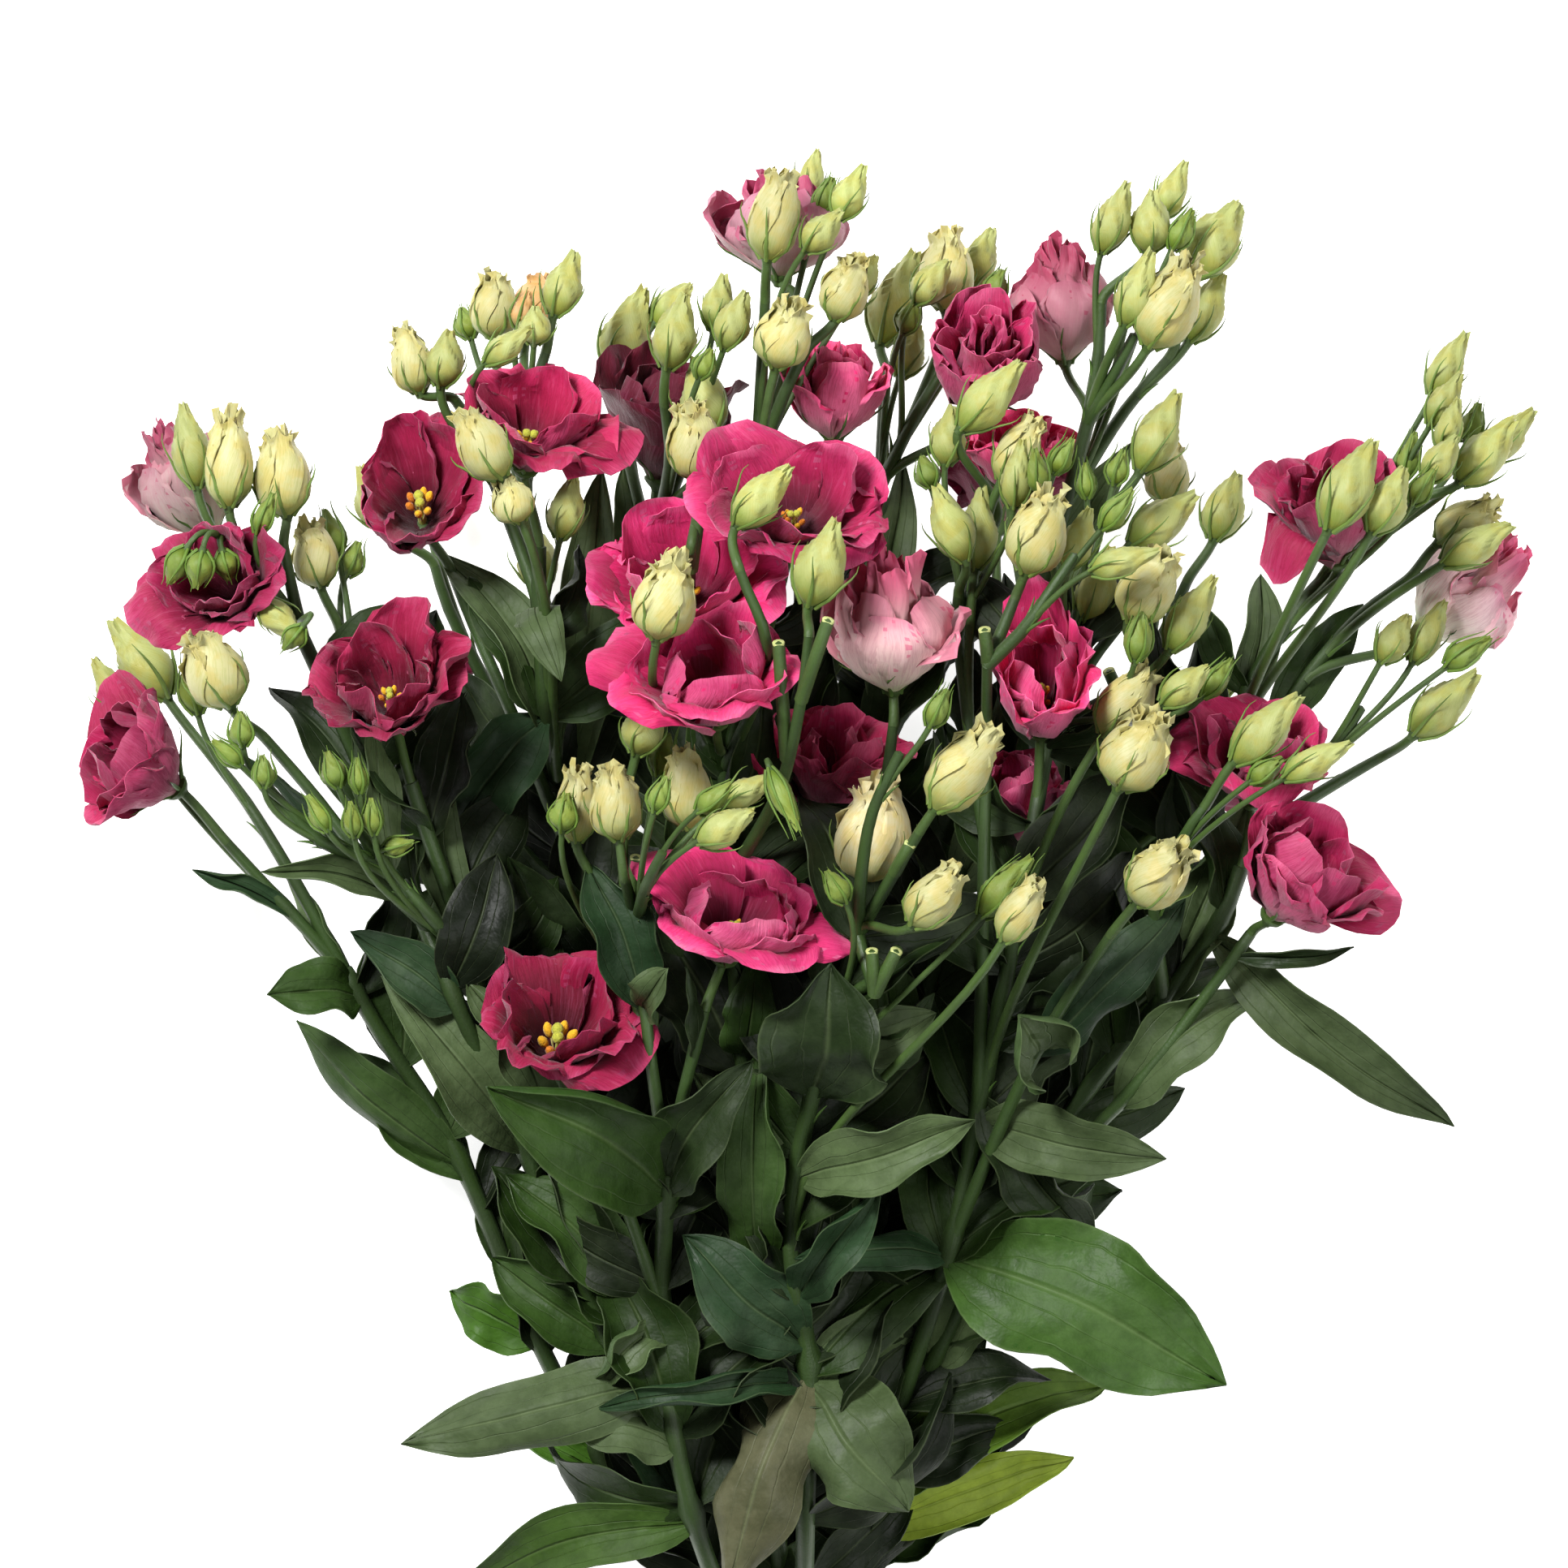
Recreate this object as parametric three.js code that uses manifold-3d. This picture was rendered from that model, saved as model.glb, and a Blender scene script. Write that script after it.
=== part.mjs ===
// A bunch of cut lisianthus, tied at the neck and laid down on its back.
// Millimetres. X runs across the bunch, Y from the cut ends to the heads, Z up from the surface.
// The origin is on the surface, under the middle of the tie.

import * as THREE from 'three';
import { mergeVertices } from 'three/addons/utils/BufferGeometryUtils.js';
import Module from 'manifold-3d';

const wasm = await Module();
wasm.setup();

// Driving dimensions
const GAP = 0.3;
const CLEARANCE = 0.42;
const CUT_END = -130;
const CUT_END_STEP = 5;
const CUT_END_SPREAD = 1.8;
const TIE_WIDTH = 8;
const TIE_INNER = 3.75;
const TIE_OUTER = 4.9;
const BUNDLE_STEP = 3.5;
const BUNDLE_RISE = 6.1;
const TIE_STRAIGHT = 7;
const STEM_RADIUS_AT_TIE = 3.4;
const STEM_RADIUS_AT_TOP = 2.4;
const STEM_TOP = 480;
const BRANCH_RADIUS = 2.4;
const BRANCH_TIP_RADIUS = 1.8;
const PEDICEL_RADIUS = 1.5;
const CALYX_RADIUS = 2.6;
const LEAF_THICKNESS = 1.3;
const PETAL_THICKNESS = 1.4;
const STEM_SIDES = 5;
const BRANCH_SIDES = 3;
const BUD_SIDES = 5;
const PEDICEL_SIDES = 3;
const HEART_SIDES = 5;
const ROOM_SIDES = 7;
const ROD_GAP = 0.8;
const BLOOM_STALK_RADIUS = 1.6;
const BUD_ROD = 0.4;
const BLOOM_ROD = 0.2;
const ROUNDS = 400;
const SMALLEST_BUD = 14;
const SMALL_LEAF = 26;
const LEAF_SET_IN = 6;
const LEAF_FOLD = 0.2;
const LEAF_WAVE = 0.16;
const STALK_BENDS_FROM = 24;
const STALK_BEND = 0.4;
const STALK_REACH = 12;
const STALK_REACH_STEP = 7;
const CROWN_NEAREST = 4;
const CROWN_FURTHEST = 60;
const CROWN_AHEAD = 0.35;
const OUTER_PETALS = 5;
const INNER_PETALS = { cup: 3, open: 3, pale: 4, rose: 4 };
const INNER_SPREAD = 0.6;
const INNER_HEIGHT = { cup: 0.9, open: 1.15, pale: 0.9, rose: 0.9 };
const INNER_FLOOR = 4;
const PETAL_NOTCH = 0.04;
const PETAL_TWIST = 0.08;
const PETAL_FLARE = 1.6;
const PETAL_SHOULDER = 0.1;
const MARGIN_SHARE = 0.8;
const CORE_HEIGHT = 5;
const CORE_RADIUS = 3;
const HEART_FLOOR = CORE_HEIGHT + INNER_FLOOR;
const HEART_HEIGHT = 0.62;
const THICK_HEIGHTS = [62, 150];
const THICK_SPREAD = 70;
const THICK_BELOW_END = 10;
const THICK_LENGTH = 60;
const THICK_WIDTH = 25;
const THICK_LEAN = 20;
const THICK_LEAN_SPREAD = 40;
const THICK_LOWEST = 8;
const THICK_DROP = 0.4;
const THICK_ROLL = 70;
const THICK_CURL = 0.1;
const GOLDEN = 0.618034;
const SLAB = 1400;
const SLAB_DEPTH = 200;

// Every stem with its column and row in the tied bundle.
// Its limbs are routes of [x, y, z], the first one from the tie upwards.
// A bud is [limb, base x, y, z, tip x, y, z, width, kind].
// A leaf is [limb, base x, y, tip x, y, z, width, roll in degrees, curl].
const STEMS = [
  {name: 'stem_01', bundle: [-4, 1],
   limbs: [
     [[-40, 38, 30], [-66, 78, 42], [-94, 132, 54], [-122, 198, 68], [-150, 243, 80], [-163, 266, 86]],
     [[-163, 266, 86], [-188, 293, 92], [-206, 313, 97]],
     [[-163, 266, 86], [-184, 304, 92], [-199, 328, 88], [-209, 341, 86]]],
   buds: [
     [2, -229, 367, 82, -247, 396, 84, 18, 'tight'],
     [2, -217, 361, 90, -221, 382, 90, 11, 'green'],
     [1, -243, 358, 84, -255, 381, 82, 12, 'tight']],
   leaves: [
     [1, -186, 290, -219, 303, 96, 11, 20, 0.1],
     [0, -158, 262, -191, 257, 104, 25, 10, 0.15],
     [2, -167, 272, -185, 306, 76, 14, -20, 0.1],
     [0, -122, 198, -181, 247, 62, 26, -25, 0.2],
     [0, -94, 132, -126, 145, 40, 24, -20, 0.1],
     [0, -66, 78, -112, 101, 28, 20, 15, 0.15]]},
  {name: 'stem_02', bundle: [-3, 2],
   limbs: [
     [[-34, 58, 46], [-60, 118, 66], [-92, 190, 88], [-122, 258, 104], [-148, 322, 116],
      [-167, 366, 122], [-177, 388, 124]],
     [[-177, 388, 124], [-181, 406, 127], [-184, 422, 128]],
     [[-177, 388, 124], [-190, 404, 122], [-200, 420, 122]],
     [[-148, 322, 116], [-156, 362, 110], [-164, 392, 108]]],
   buds: [
     [1, -183, 434, 128, -187, 467, 132, 20, 'frilled'],
     [1, -204, 437, 134, -204, 474, 136, 17, 'frilled'],
     [2, -216, 444, 132, -220, 474, 134, 14, 'tight'],
     [1, -193, 427, 146, -188, 441, 148, 7, 'green'],
     [3, -171, 408, 112, -176, 433, 116, 16, 'frilled'],
     [3, -165, 420, 104, -169, 436, 102, 9, 'green'],
     [3, -162, 412, 100, -157, 424, 100, 9, 'green'],
     [2, -221, 421, 158, -228, 405, 162, 9, 'green'],
     [2, -213, 421, 162, -217, 404, 166, 8, 'green'],
     [1, -192, 402, 152, -177, 387, 158, 11, 'tight']],
   leaves: [
     [0, -148, 322, -190, 372, 98, 24, 25, 0.1],
     [0, -139, 300, -198, 350, 116, 13, -35, 0.1],
     [0, -98, 205, -149, 264, 120, 30, 15, 0.25],
     [0, -122, 258, -159, 279, 118, 24, -10, 0.1],
     [0, -66, 130, -104, 180, 58, 14, 50, 0.1],
     [0, -66, 130, -108, 158, 52, 28, 0, 0.15]]},
  {name: 'stem_03', bundle: [-1, 2],
   limbs: [
     [[-28, 80, 60], [-58, 150, 86], [-88, 215, 108], [-112, 265, 124], [-128, 308, 134], [-137, 335, 140]],
     [[-112, 265, 124], [-132, 289, 146], [-148, 306, 158], [-158, 322, 164]],
     [[-112, 265, 124], [-146, 297, 132], [-172, 330, 138], [-190, 351, 140]],
     [[-148, 306, 158], [-170, 314, 156], [-186, 330, 158], [-194, 340, 160]]],
   buds: [
     [2, -203, 364, 142, -215, 392, 150, 22, 'frilled'],
     [1, -163, 334, 168, -167, 346, 170, 9, 'green'],
     [1, -155, 332, 172, -156, 344, 174, 6, 'green'],
     [1, -157, 316, 176, -158, 328, 180, 7, 'green'],
     [1, -150, 317, 176, -151, 329, 180, 7, 'green'],
     [1, -167, 318, 168, -174, 330, 170, 7, 'green'],
     [1, -146, 311, 172, -136, 314, 176, 7, 'green'],
     [3, -198, 349, 162, -199, 361, 164, 9, 'green'],
     [3, -199, 342, 168, -208, 351, 172, 7, 'green'],
     [3, -190, 334, 170, -190, 345, 172, 8, 'green']],
   leaves: [
     [2, -146, 297, -191, 303, 150, 18, 15, 0.15],
     [1, -148, 306, -152, 362, 152, 17, 20, 0.1],
     [0, -117, 275, -127, 352, 116, 20, -20, 0.15],
     [0, -88, 215, -116, 262, 126, 24, 10, 0.15],
     [0, -58, 150, -103, 190, 84, 30, 5, 0.15]]},
  {name: 'stem_04', bundle: [-2, 1],
   limbs: [
     [[-22, 70, 40], [-44, 150, 62], [-66, 240, 88], [-80, 310, 106], [-88, 365, 120],
      [-90, 402, 130], [-90, 422, 136]],
     [[-80, 310, 106], [-98, 355, 106], [-114, 392, 108], [-123, 414, 110]],
     [[-90, 402, 130], [-102, 434, 126], [-115, 466, 126], [-121, 476, 128]],
     [[-90, 402, 130], [-95, 440, 112], [-93, 476, 106], [-88, 494, 106]]],
   buds: [
     [2, -134, 479, 124, -141, 503, 126, 15, 'frilled'],
     [2, -126, 481, 142, -123, 501, 146, 14, 'tight'],
     [3, -107, 500, 104, -107, 525, 106, 17, 'frilled'],
     [3, -98, 503, 124, -94, 516, 126, 8, 'green'],
     [3, -92, 497, 128, -91, 510, 132, 12, 'tight'],
     [3, -85, 508, 108, -77, 531, 108, 14, 'tight'],
     [3, -116, 500, 92, -119, 511, 92, 9, 'green'],
     [2, -109, 489, 156, -93, 501, 162, 10, 'tight'],
     [3, -95, 503, 86, -90, 524, 84, 16, 'frilled'],
     [0, -103, 447, 184, -118, 471, 190, 18, 'frilled'],
     [0, -96, 431, 178, -103, 447, 182, 15, 'frilled'],
     [0, -82, 425, 150, -77, 447, 152, 13, 'tight']],
   leaves: [
     [0, -88, 365, -123, 316, 98, 30, 20, 0.2],
     [0, -86, 355, -126, 421, 136, 27, 25, 0.2],
     [0, -90, 402, -81, 371, 166, 18, 0, 0.35],
     [0, -83, 330, -66, 450, 88, 28, -10, 0.1],
     [0, -70, 262, -102, 309, 122, 27, -5, 0.15],
     [0, -50, 175, -90, 226, 92, 26, 5, 0.15]]},
  {name: 'stem_05', bundle: [-1, 0],
   limbs: [
     [[-10, 80, 26], [-22, 160, 40], [-33, 250, 56], [-40, 330, 70], [-44, 400, 82], [-46, 432, 88]],
     [[-44, 400, 82], [-54, 440, 72], [-61, 470, 70]],
     [[-46, 432, 88], [-42, 455, 112], [-44, 474, 124]],
     [[-46, 432, 88], [-34, 462, 104], [-28, 482, 116]]],
   buds: [
     [1, -64, 488, 72, -51, 518, 74, 18, 'tight'],
     [1, -48, 506, 66, -35, 521, 64, 12, 'tight'],
     [2, -43, 488, 132, -36, 514, 138, 16, 'tight'],
     [3, -22, 495, 128, -15, 515, 134, 13, 'tight'],
     [3, -26, 502, 108, -22, 522, 108, 12, 'tight'],
     [3, -31, 484, 136, -27, 494, 138, 8, 'green'],
     [3, -27, 463, 112, -33, 491, 112, 17, 'tight']],
   leaves: [
     [0, -44, 400, -58, 452, 66, 22, -15, 0.1],
     [0, -36, 280, 2, 330, 78, 28, 10, 0.1],
     [0, -40, 335, -92, 345, 46, 26, -150, 0.1]]},
  {name: 'stem_06', bundle: [0, 1],
   limbs: [
     [[0, 80, 44], [-2, 170, 66], [-6, 260, 86], [-10, 340, 100], [-11, 410, 110], [-10, 450, 114]],
     [[-10, 450, 114], [-8, 490, 118], [-7, 512, 124]],
     [[-10, 450, 114], [0, 478, 128], [8, 494, 132]],
     [[-10, 450, 114], [0, 490, 106], [4, 515, 104]]],
   buds: [
     [1, -6, 528, 132, 0, 563, 138, 18, 'frilled'],
     [3, 8, 552, 92, 13, 569, 92, 9, 'tight'],
     [3, 20, 543, 124, 29, 562, 126, 12, 'tight'],
     [3, 13, 545, 112, 18, 558, 112, 8, 'green'],
     [1, 8, 531, 142, 20, 545, 148, 12, 'tight'],
     [2, 19, 506, 134, 27, 530, 140, 17, 'frilled'],
     [2, 25, 514, 112, 34, 529, 112, 11, 'tight'],
     [0, -3, 488, 150, 4, 514, 156, 20, 'frilled']],
   leaves: [
     [0, -4, 215, -40, 275, 96, 26, 10, 0.15],
     [0, -1, 130, 28, 190, 74, 24, 5, 0.1],
     [0, -10, 340, 25, 400, 92, 24, -15, 0.1]]},
  {name: 'stem_07', bundle: [0, 3],
   limbs: [
     [[-4, 80, 66], [-10, 160, 100], [-16, 240, 130], [-20, 300, 150], [-22, 340, 162]],
     [[-22, 340, 162], [-14, 372, 110], [-4, 402, 100]],
     [[-20, 300, 150], [-2, 332, 182], [6, 364, 198], [9, 388, 206]],
     [[-22, 340, 162], [-34, 380, 150], [-34, 420, 152]],
     [[-22, 340, 162], [-6, 380, 206], [-16, 412, 212]]],
   buds: [
     [2, 9, 400, 208, 19, 430, 214, 18, 'tight'],
     [4, -17, 429, 200, 1, 450, 208, 15, 'tight'],
     [3, -46, 388, 196, -39, 420, 204, 22, 'frilled'],
     [3, -31, 447, 160, -35, 476, 168, 20, 'frilled'],
     [2, -5, 340, 210, 4, 318, 216, 8, 'green']],
   leaves: [
     [0, -16, 240, -10, 272, 156, 22, 10, 0.3],
     [0, -10, 160, -10, 236, 132, 26, -10, 0.15],
     [0, -20, 300, -48, 340, 140, 22, 10, 0.1],
     [0, -20, 300, 18, 322, 150, 20, -15, 0.15]]},
  {name: 'stem_08', bundle: [1, 0],
   limbs: [
     [[8, 80, 24], [16, 170, 34], [26, 260, 44], [33, 340, 52], [36, 400, 58], [36, 446, 64]],
     [[36, 446, 64], [37, 472, 64], [38, 488, 62]],
     [[36, 446, 64], [48, 470, 80], [60, 490, 84]]],
   buds: [
     [1, 36, 499, 58, 48, 532, 56, 18, 'tight'],
     [2, 60, 511, 82, 60, 542, 84, 20, 'frilled'],
     [2, 67, 517, 66, 78, 541, 64, 14, 'tight'],
     [2, 49, 513, 100, 60, 528, 106, 13, 'tight'],
     [1, 44, 502, 98, 49, 513, 102, 9, 'green'],
     [1, 43, 486, 80, 50, 505, 78, 12, 'tight'],
     [2, 76, 514, 84, 81, 525, 86, 9, 'green']],
   leaves: [
     [0, 34, 365, 46, 456, 56, 20, 10, 0.1],
     [0, 26, 260, 62, 330, 60, 30, 5, 0.1],
     [0, 14, 150, 48, 214, 42, 28, 150, 0.1]]},
  {name: 'stem_09', bundle: [2, 1],
   limbs: [
     [[16, 80, 38], [34, 170, 54], [54, 260, 70], [74, 340, 86], [92, 400, 98], [104, 438, 106],
      [112, 468, 112]],
     [[112, 468, 112], [116, 494, 116], [117, 512, 118]],
     [[112, 468, 112], [124, 490, 126], [129, 500, 130]],
     [[104, 438, 106], [124, 470, 98], [142, 492, 96]]],
   buds: [
     [1, 117, 531, 120, 126, 556, 124, 13, 'tight'],
     [1, 134, 531, 118, 137, 553, 122, 15, 'tight'],
     [3, 139, 544, 104, 148, 564, 104, 11, 'tight'],
     [3, 143, 532, 120, 150, 546, 122, 9, 'green'],
     [3, 151, 523, 104, 168, 549, 104, 20, 'tight'],
     [1, 125, 504, 136, 136, 529, 144, 14, 'tight'],
     [2, 134, 496, 134, 151, 532, 140, 22, 'frilled'],
     [3, 150, 499, 94, 163, 523, 94, 14, 'tight']],
   leaves: [
     [0, 92, 400, 128, 461, 86, 18, 10, 0.1],
     [0, 64, 300, 104, 352, 76, 30, 5, 0.1],
     [0, 44, 215, 34, 290, 78, 24, -15, 0.1]]},
  {name: 'stem_10', bundle: [1, 2],
   limbs: [
     [[14, 32, 32], [30, 62, 46], [45, 110, 68], [62, 165, 92], [72, 215, 108], [82, 265, 120],
      [90, 310, 130], [97, 350, 140], [102, 376, 144]],
     [[62, 165, 92], [84, 218, 126], [100, 250, 148], [119, 279, 168]],
     [[72, 215, 108], [73, 290, 142], [74, 344, 164], [74, 378, 174]],
     [[74, 378, 174], [80, 392, 178], [84, 402, 180]],
     [[74, 378, 174], [88, 392, 190], [99, 408, 194], [106, 418, 194]],
     [[82, 265, 120], [70, 340, 126], [64, 390, 134], [64, 404, 140]],
     [[97, 350, 140], [112, 378, 124], [124, 394, 136]],
     [[102, 376, 144], [110, 406, 140], [113, 424, 134]],
     [[64, 390, 134], [72, 418, 132], [78, 432, 136]]],
   buds: [
     [3, 88, 412, 184, 99, 443, 190, 21, 'frilled'],
     [5, 66, 417, 158, 56, 443, 166, 15, 'tight'],
     [5, 70, 414, 142, 73, 443, 148, 14, 'tight'],
     [8, 65, 465, 158, 87, 488, 162, 16, 'tight'],
     [8, 59, 452, 150, 61, 473, 152, 13, 'tight'],
     [8, 54, 444, 142, 51, 455, 142, 9, 'green'],
     [8, 80, 446, 150, 94, 471, 154, 15, 'frilled'],
     [8, 84, 436, 166, 86, 460, 170, 11, 'tight'],
     [7, 93, 441, 168, 92, 457, 172, 9, 'green'],
     [7, 99, 449, 152, 105, 461, 154, 8, 'green'],
     [7, 111, 440, 150, 110, 452, 152, 7, 'green'],
     [7, 121, 445, 148, 124, 457, 150, 8, 'green'],
     [7, 131, 450, 130, 145, 478, 130, 16, 'tight'],
     [7, 128, 423, 118, 151, 441, 116, 16, 'tight'],
     [7, 104, 414, 166, 111, 435, 172, 12, 'tight'],
     [4, 112, 412, 204, 135, 420, 212, 11, 'tight'],
     [4, 116, 428, 196, 127, 441, 200, 9, 'green'],
     [6, 110, 394, 140, 121, 421, 144, 14, 'tight'],
     [6, 127, 394, 176, 140, 422, 182, 20, 'frilled'],
     [6, 128, 380, 184, 131, 398, 188, 10, 'green'],
     [6, 141, 384, 168, 156, 410, 170, 14, 'tight'],
     [6, 138, 364, 186, 155, 377, 190, 12, 'tight'],
     [6, 153, 367, 172, 163, 380, 172, 9, 'green'],
     [0, 117, 353, 170, 134, 378, 176, 18, 'frilled'],
     [0, 122, 334, 190, 136, 363, 200, 24, 'frilled'],
     [1, 129, 292, 178, 146, 314, 190, 21, 'frilled']],
   leaves: [
     [0, 62, 165, 164, 112, 112, 54, -5, 0.15],
     [0, 62, 165, 2, 158, 122, 17, 20, 0.15],
     [0, 72, 215, 141, 197, 126, 27, 10, 0.2],
     [1, 96, 240, 84, 252, 172, 46, 0, 0.05],
     [1, 96, 240, 148, 292, 142, 25, 10, 0.15],
     [0, 80, 255, 114, 298, 108, 44, -5, 0.1],
     [0, 34, 75, 121, 113, 36, 34, -25, 0.1],
     [0, 74, 225, 116, 164, 86, 28, 10, 0.15],
     [0, 30, 62, 106, 86, 28, 24, 30, 0.1]]},
  {name: 'stem_11', bundle: [4, 1],
   limbs: [
     [[30, 62, 30], [62, 130, 46], [98, 200, 64], [130, 262, 78], [152, 315, 90], [172, 370, 100],
      [192, 402, 106], [214, 424, 110], [230, 438, 114]],
     [[152, 315, 90], [184, 362, 86], [210, 394, 90], [230, 410, 96]],
     [[130, 262, 78], [176, 318, 92], [204, 350, 104], [213, 363, 110]],
     [[176, 318, 92], [206, 336, 86], [220, 344, 84]]],
   buds: [
     [0, 199, 428, 168, 215, 460, 170, 18, 'tight'],
     [0, 215, 427, 162, 227, 450, 164, 15, 'tight'],
     [0, 239, 478, 114, 251, 501, 114, 12, 'tight'],
     [0, 238, 467, 124, 249, 485, 126, 11, 'tight'],
     [0, 242, 457, 132, 248, 476, 134, 10, 'tight'],
     [0, 228, 447, 118, 233, 464, 118, 8, 'green'],
     [0, 236, 446, 136, 247, 462, 140, 12, 'tight'],
     [0, 231, 438, 142, 238, 450, 146, 8, 'green'],
     [0, 252, 461, 108, 256, 475, 108, 9, 'green'],
     [0, 249, 446, 120, 269, 468, 122, 16, 'tight'],
     [0, 258, 454, 98, 277, 473, 96, 13, 'tight'],
     [1, 242, 424, 102, 264, 440, 104, 17, 'frilled'],
     [1, 243, 416, 120, 267, 431, 124, 14, 'tight'],
     [2, 220, 380, 118, 230, 397, 120, 12, 'tight'],
     [2, 232, 380, 112, 243, 402, 112, 12, 'tight'],
     [2, 244, 378, 124, 259, 389, 128, 10, 'green'],
     [3, 233, 353, 98, 255, 376, 100, 16, 'tight']],
   leaves: [
     [0, 148, 306, 154, 393, 72, 30, 0, 0.1],
     [0, 172, 370, 177, 413, 84, 17, 10, 0.1],
     [1, 184, 362, 214, 401, 72, 20, 5, 0.1],
     [0, 98, 200, 147, 228, 56, 24, -20, 0.1],
     [0, 62, 130, 88, 178, 44, 24, -150, 0.1]]},
  {name: 'stem_12', bundle: [3, 2],
   limbs: [
     [[28, 60, 42], [56, 122, 64], [86, 180, 90], [112, 222, 106], [140, 256, 122],
      [160, 284, 132], [168, 304, 136]],
     [[86, 180, 90], [126, 220, 130], [154, 256, 148], [171, 280, 158]],
     [[140, 256, 122], [136, 292, 158], [146, 316, 180], [153, 326, 184]]],
   buds: [
     [2, 164, 343, 192, 187, 366, 198, 16, 'tight'],
     [2, 170, 336, 196, 181, 344, 200, 9, 'green'],
     [2, 182, 337, 204, 205, 350, 210, 11, 'tight']],
   leaves: [
     [1, 126, 220, 174, 259, 130, 28, -15, 0.2],
     [0, 160, 284, 247, 208, 118, 25, 10, 0.15],
     [1, 168, 276, 209, 274, 156, 9, 20, 0.1],
     [0, 112, 222, 122, 296, 100, 28, 0, 0.1],
     [0, 140, 256, 172, 330, 112, 30, -5, 0.1],
     [0, 56, 122, 84, 166, 82, 26, 10, 0.1]]},
  {name: 'stem_13', bundle: [2, 3],
   limbs: [
     [[8, 62, 62], [9, 118, 92], [4, 150, 108], [3, 182, 122], [13, 232, 146], [27, 280, 166]],
     [[27, 280, 166], [28, 300, 184], [32, 324, 198], [42, 346, 206]],
     [[27, 280, 166], [40, 302, 182], [49, 317, 190]],
     [[13, 232, 146], [26, 268, 146], [33, 288, 152]],
     [[13, 232, 146], [32, 300, 146], [38, 340, 152], [40, 356, 156]],
     [[27, 280, 166], [33, 258, 176]],
     [[20, 256, 156], [34, 264, 172], [42, 275, 178]]],
   buds: [
     [3, 31, 299, 162, 34, 339, 170, 27, 'frilled'],
     [2, 55, 326, 194, 77, 357, 200, 20, 'frilled'],
     [1, 53, 356, 210, 59, 369, 214, 8, 'green'],
     [0, 47, 284, 196, 64, 305, 204, 17, 'frilled'],
     [0, 22, 292, 190, 16, 303, 194, 9, 'green'],
     [0, 72, 287, 184, 89, 308, 188, 13, 'green'],
     [0, 80, 278, 196, 93, 301, 202, 14, 'frilled']],
   leaves: [
     [0, 11, 226, 17, 268, 176, 52, 0, 0.2],
     [0, 4, 195, 72, 213, 152, 28, 5, 0.2],
     [0, 4, 150, 36, 190, 132, 24, 5, 0.2],
     [0, 8, 122, -20, 36, 96, 42, 10, 0.2],
     [0, 9, 118, 46, 66, 102, 48, 0, 0.2],
     [0, 6, 132, -37, 168, 120, 34, 0, 0.15],
     [0, 9, 118, -69, 105, 108, 18, 15, 0.2],
     [0, 16, 242, 56, 250, 150, 24, 10, 0.2]]},
  {name: 'stem_14', bundle: [-2, 3],
   limbs: [
     [[-26, 40, 50], [-40, 90, 78], [-45, 140, 102], [-43, 192, 124]],
     [[-43, 192, 124], [-49, 236, 150], [-54, 284, 176]],
     [[-54, 284, 176], [-58, 300, 184]],
     [[-54, 284, 176], [-50, 298, 200], [-44, 310, 212]],
     [[-43, 192, 124], [-36, 225, 140], [-29, 252, 150]],
     [[-49, 236, 150], [-66, 278, 152], [-70, 300, 156]],
     [[-45, 140, 102], [-60, 184, 118], [-70, 208, 130]]],
   buds: [
     [5, -76, 314, 162, -75, 343, 166, 15, 'frilled'],
     [5, -81, 318, 176, -79, 331, 180, 11, 'green'],
     [2, -60, 315, 188, -64, 343, 194, 18, 'frilled'],
     [5, -54, 346, 164, -48, 365, 168, 15, 'tight'],
     [5, -46, 338, 150, -42, 353, 150, 10, 'green'],
     [2, -34, 319, 176, -38, 349, 180, 18, 'frilled'],
     [3, -47, 325, 206, -43, 337, 208, 8, 'green'],
     [3, -31, 325, 210, -19, 334, 214, 9, 'green'],
     [3, -22, 327, 198, -4, 338, 200, 10, 'tight'],
     [3, -31, 314, 216, -11, 324, 222, 13, 'tight']],
   leaves: [
     [0, -43, 190, -111, 225, 150, 46, 5, 0.25],
     [0, -43, 190, -12, 233, 148, 30, -10, 0.2],
     [1, -51, 258, -72, 306, 160, 28, 0, 0.15],
     [1, -51, 258, -41, 269, 184, 18, 0, 0.3],
     [4, -32, 240, -36, 268, 168, 12, 60, 0.1],
     [0, -45, 140, -70, 112, 100, 22, 0, 0.2],
     [0, -41, 95, -82, 98, 92, 26, 15, 0.2],
     [0, -34, 66, -58, 100, 66, 12, 30, 0.1],
     [0, -43, 118, -141, 89, 84, 32, 15, 0.15],
     [0, -34, 66, -120, 34, 34, 26, 10, 0.15]]},
  {name: 'stem_15', bundle: [-3, 0],
   limbs: [
     [[-30, 80, 14], [-58, 170, 20], [-82, 250, 26], [-98, 320, 32], [-106, 362, 38]],
     [[-98, 320, 32], [-76, 362, 40], [-66, 384, 44]],
     [[-106, 362, 38], [-124, 398, 52], [-130, 416, 56]]],
   buds: [
     [2, -148, 430, 62, -158, 452, 62, 15, 'tight'],
     [2, -134, 440, 44, -138, 464, 40, 17, 'frilled'],
     [1, -90, 408, 26, -96, 432, 20, 15, 'tight'],
     [0, -128, 372, 18, -140, 388, 14, 9, 'green']],
   leaves: [
     [0, -90, 285, -134, 322, 42, 28, -160, 0.1],
     [0, -58, 170, -94, 214, 34, 28, -160, 0.1],
     [0, -30, 80, -66, 122, 22, 24, -150, 0.1]]},
  {name: 'stem_16', bundle: [3, 0],
   limbs: [
     [[32, 80, 14], [64, 170, 20], [94, 250, 26], [116, 320, 32], [126, 358, 38]],
     [[116, 320, 32], [92, 366, 40], [84, 386, 42]],
     [[126, 358, 38], [142, 392, 50], [150, 410, 56]]],
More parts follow.
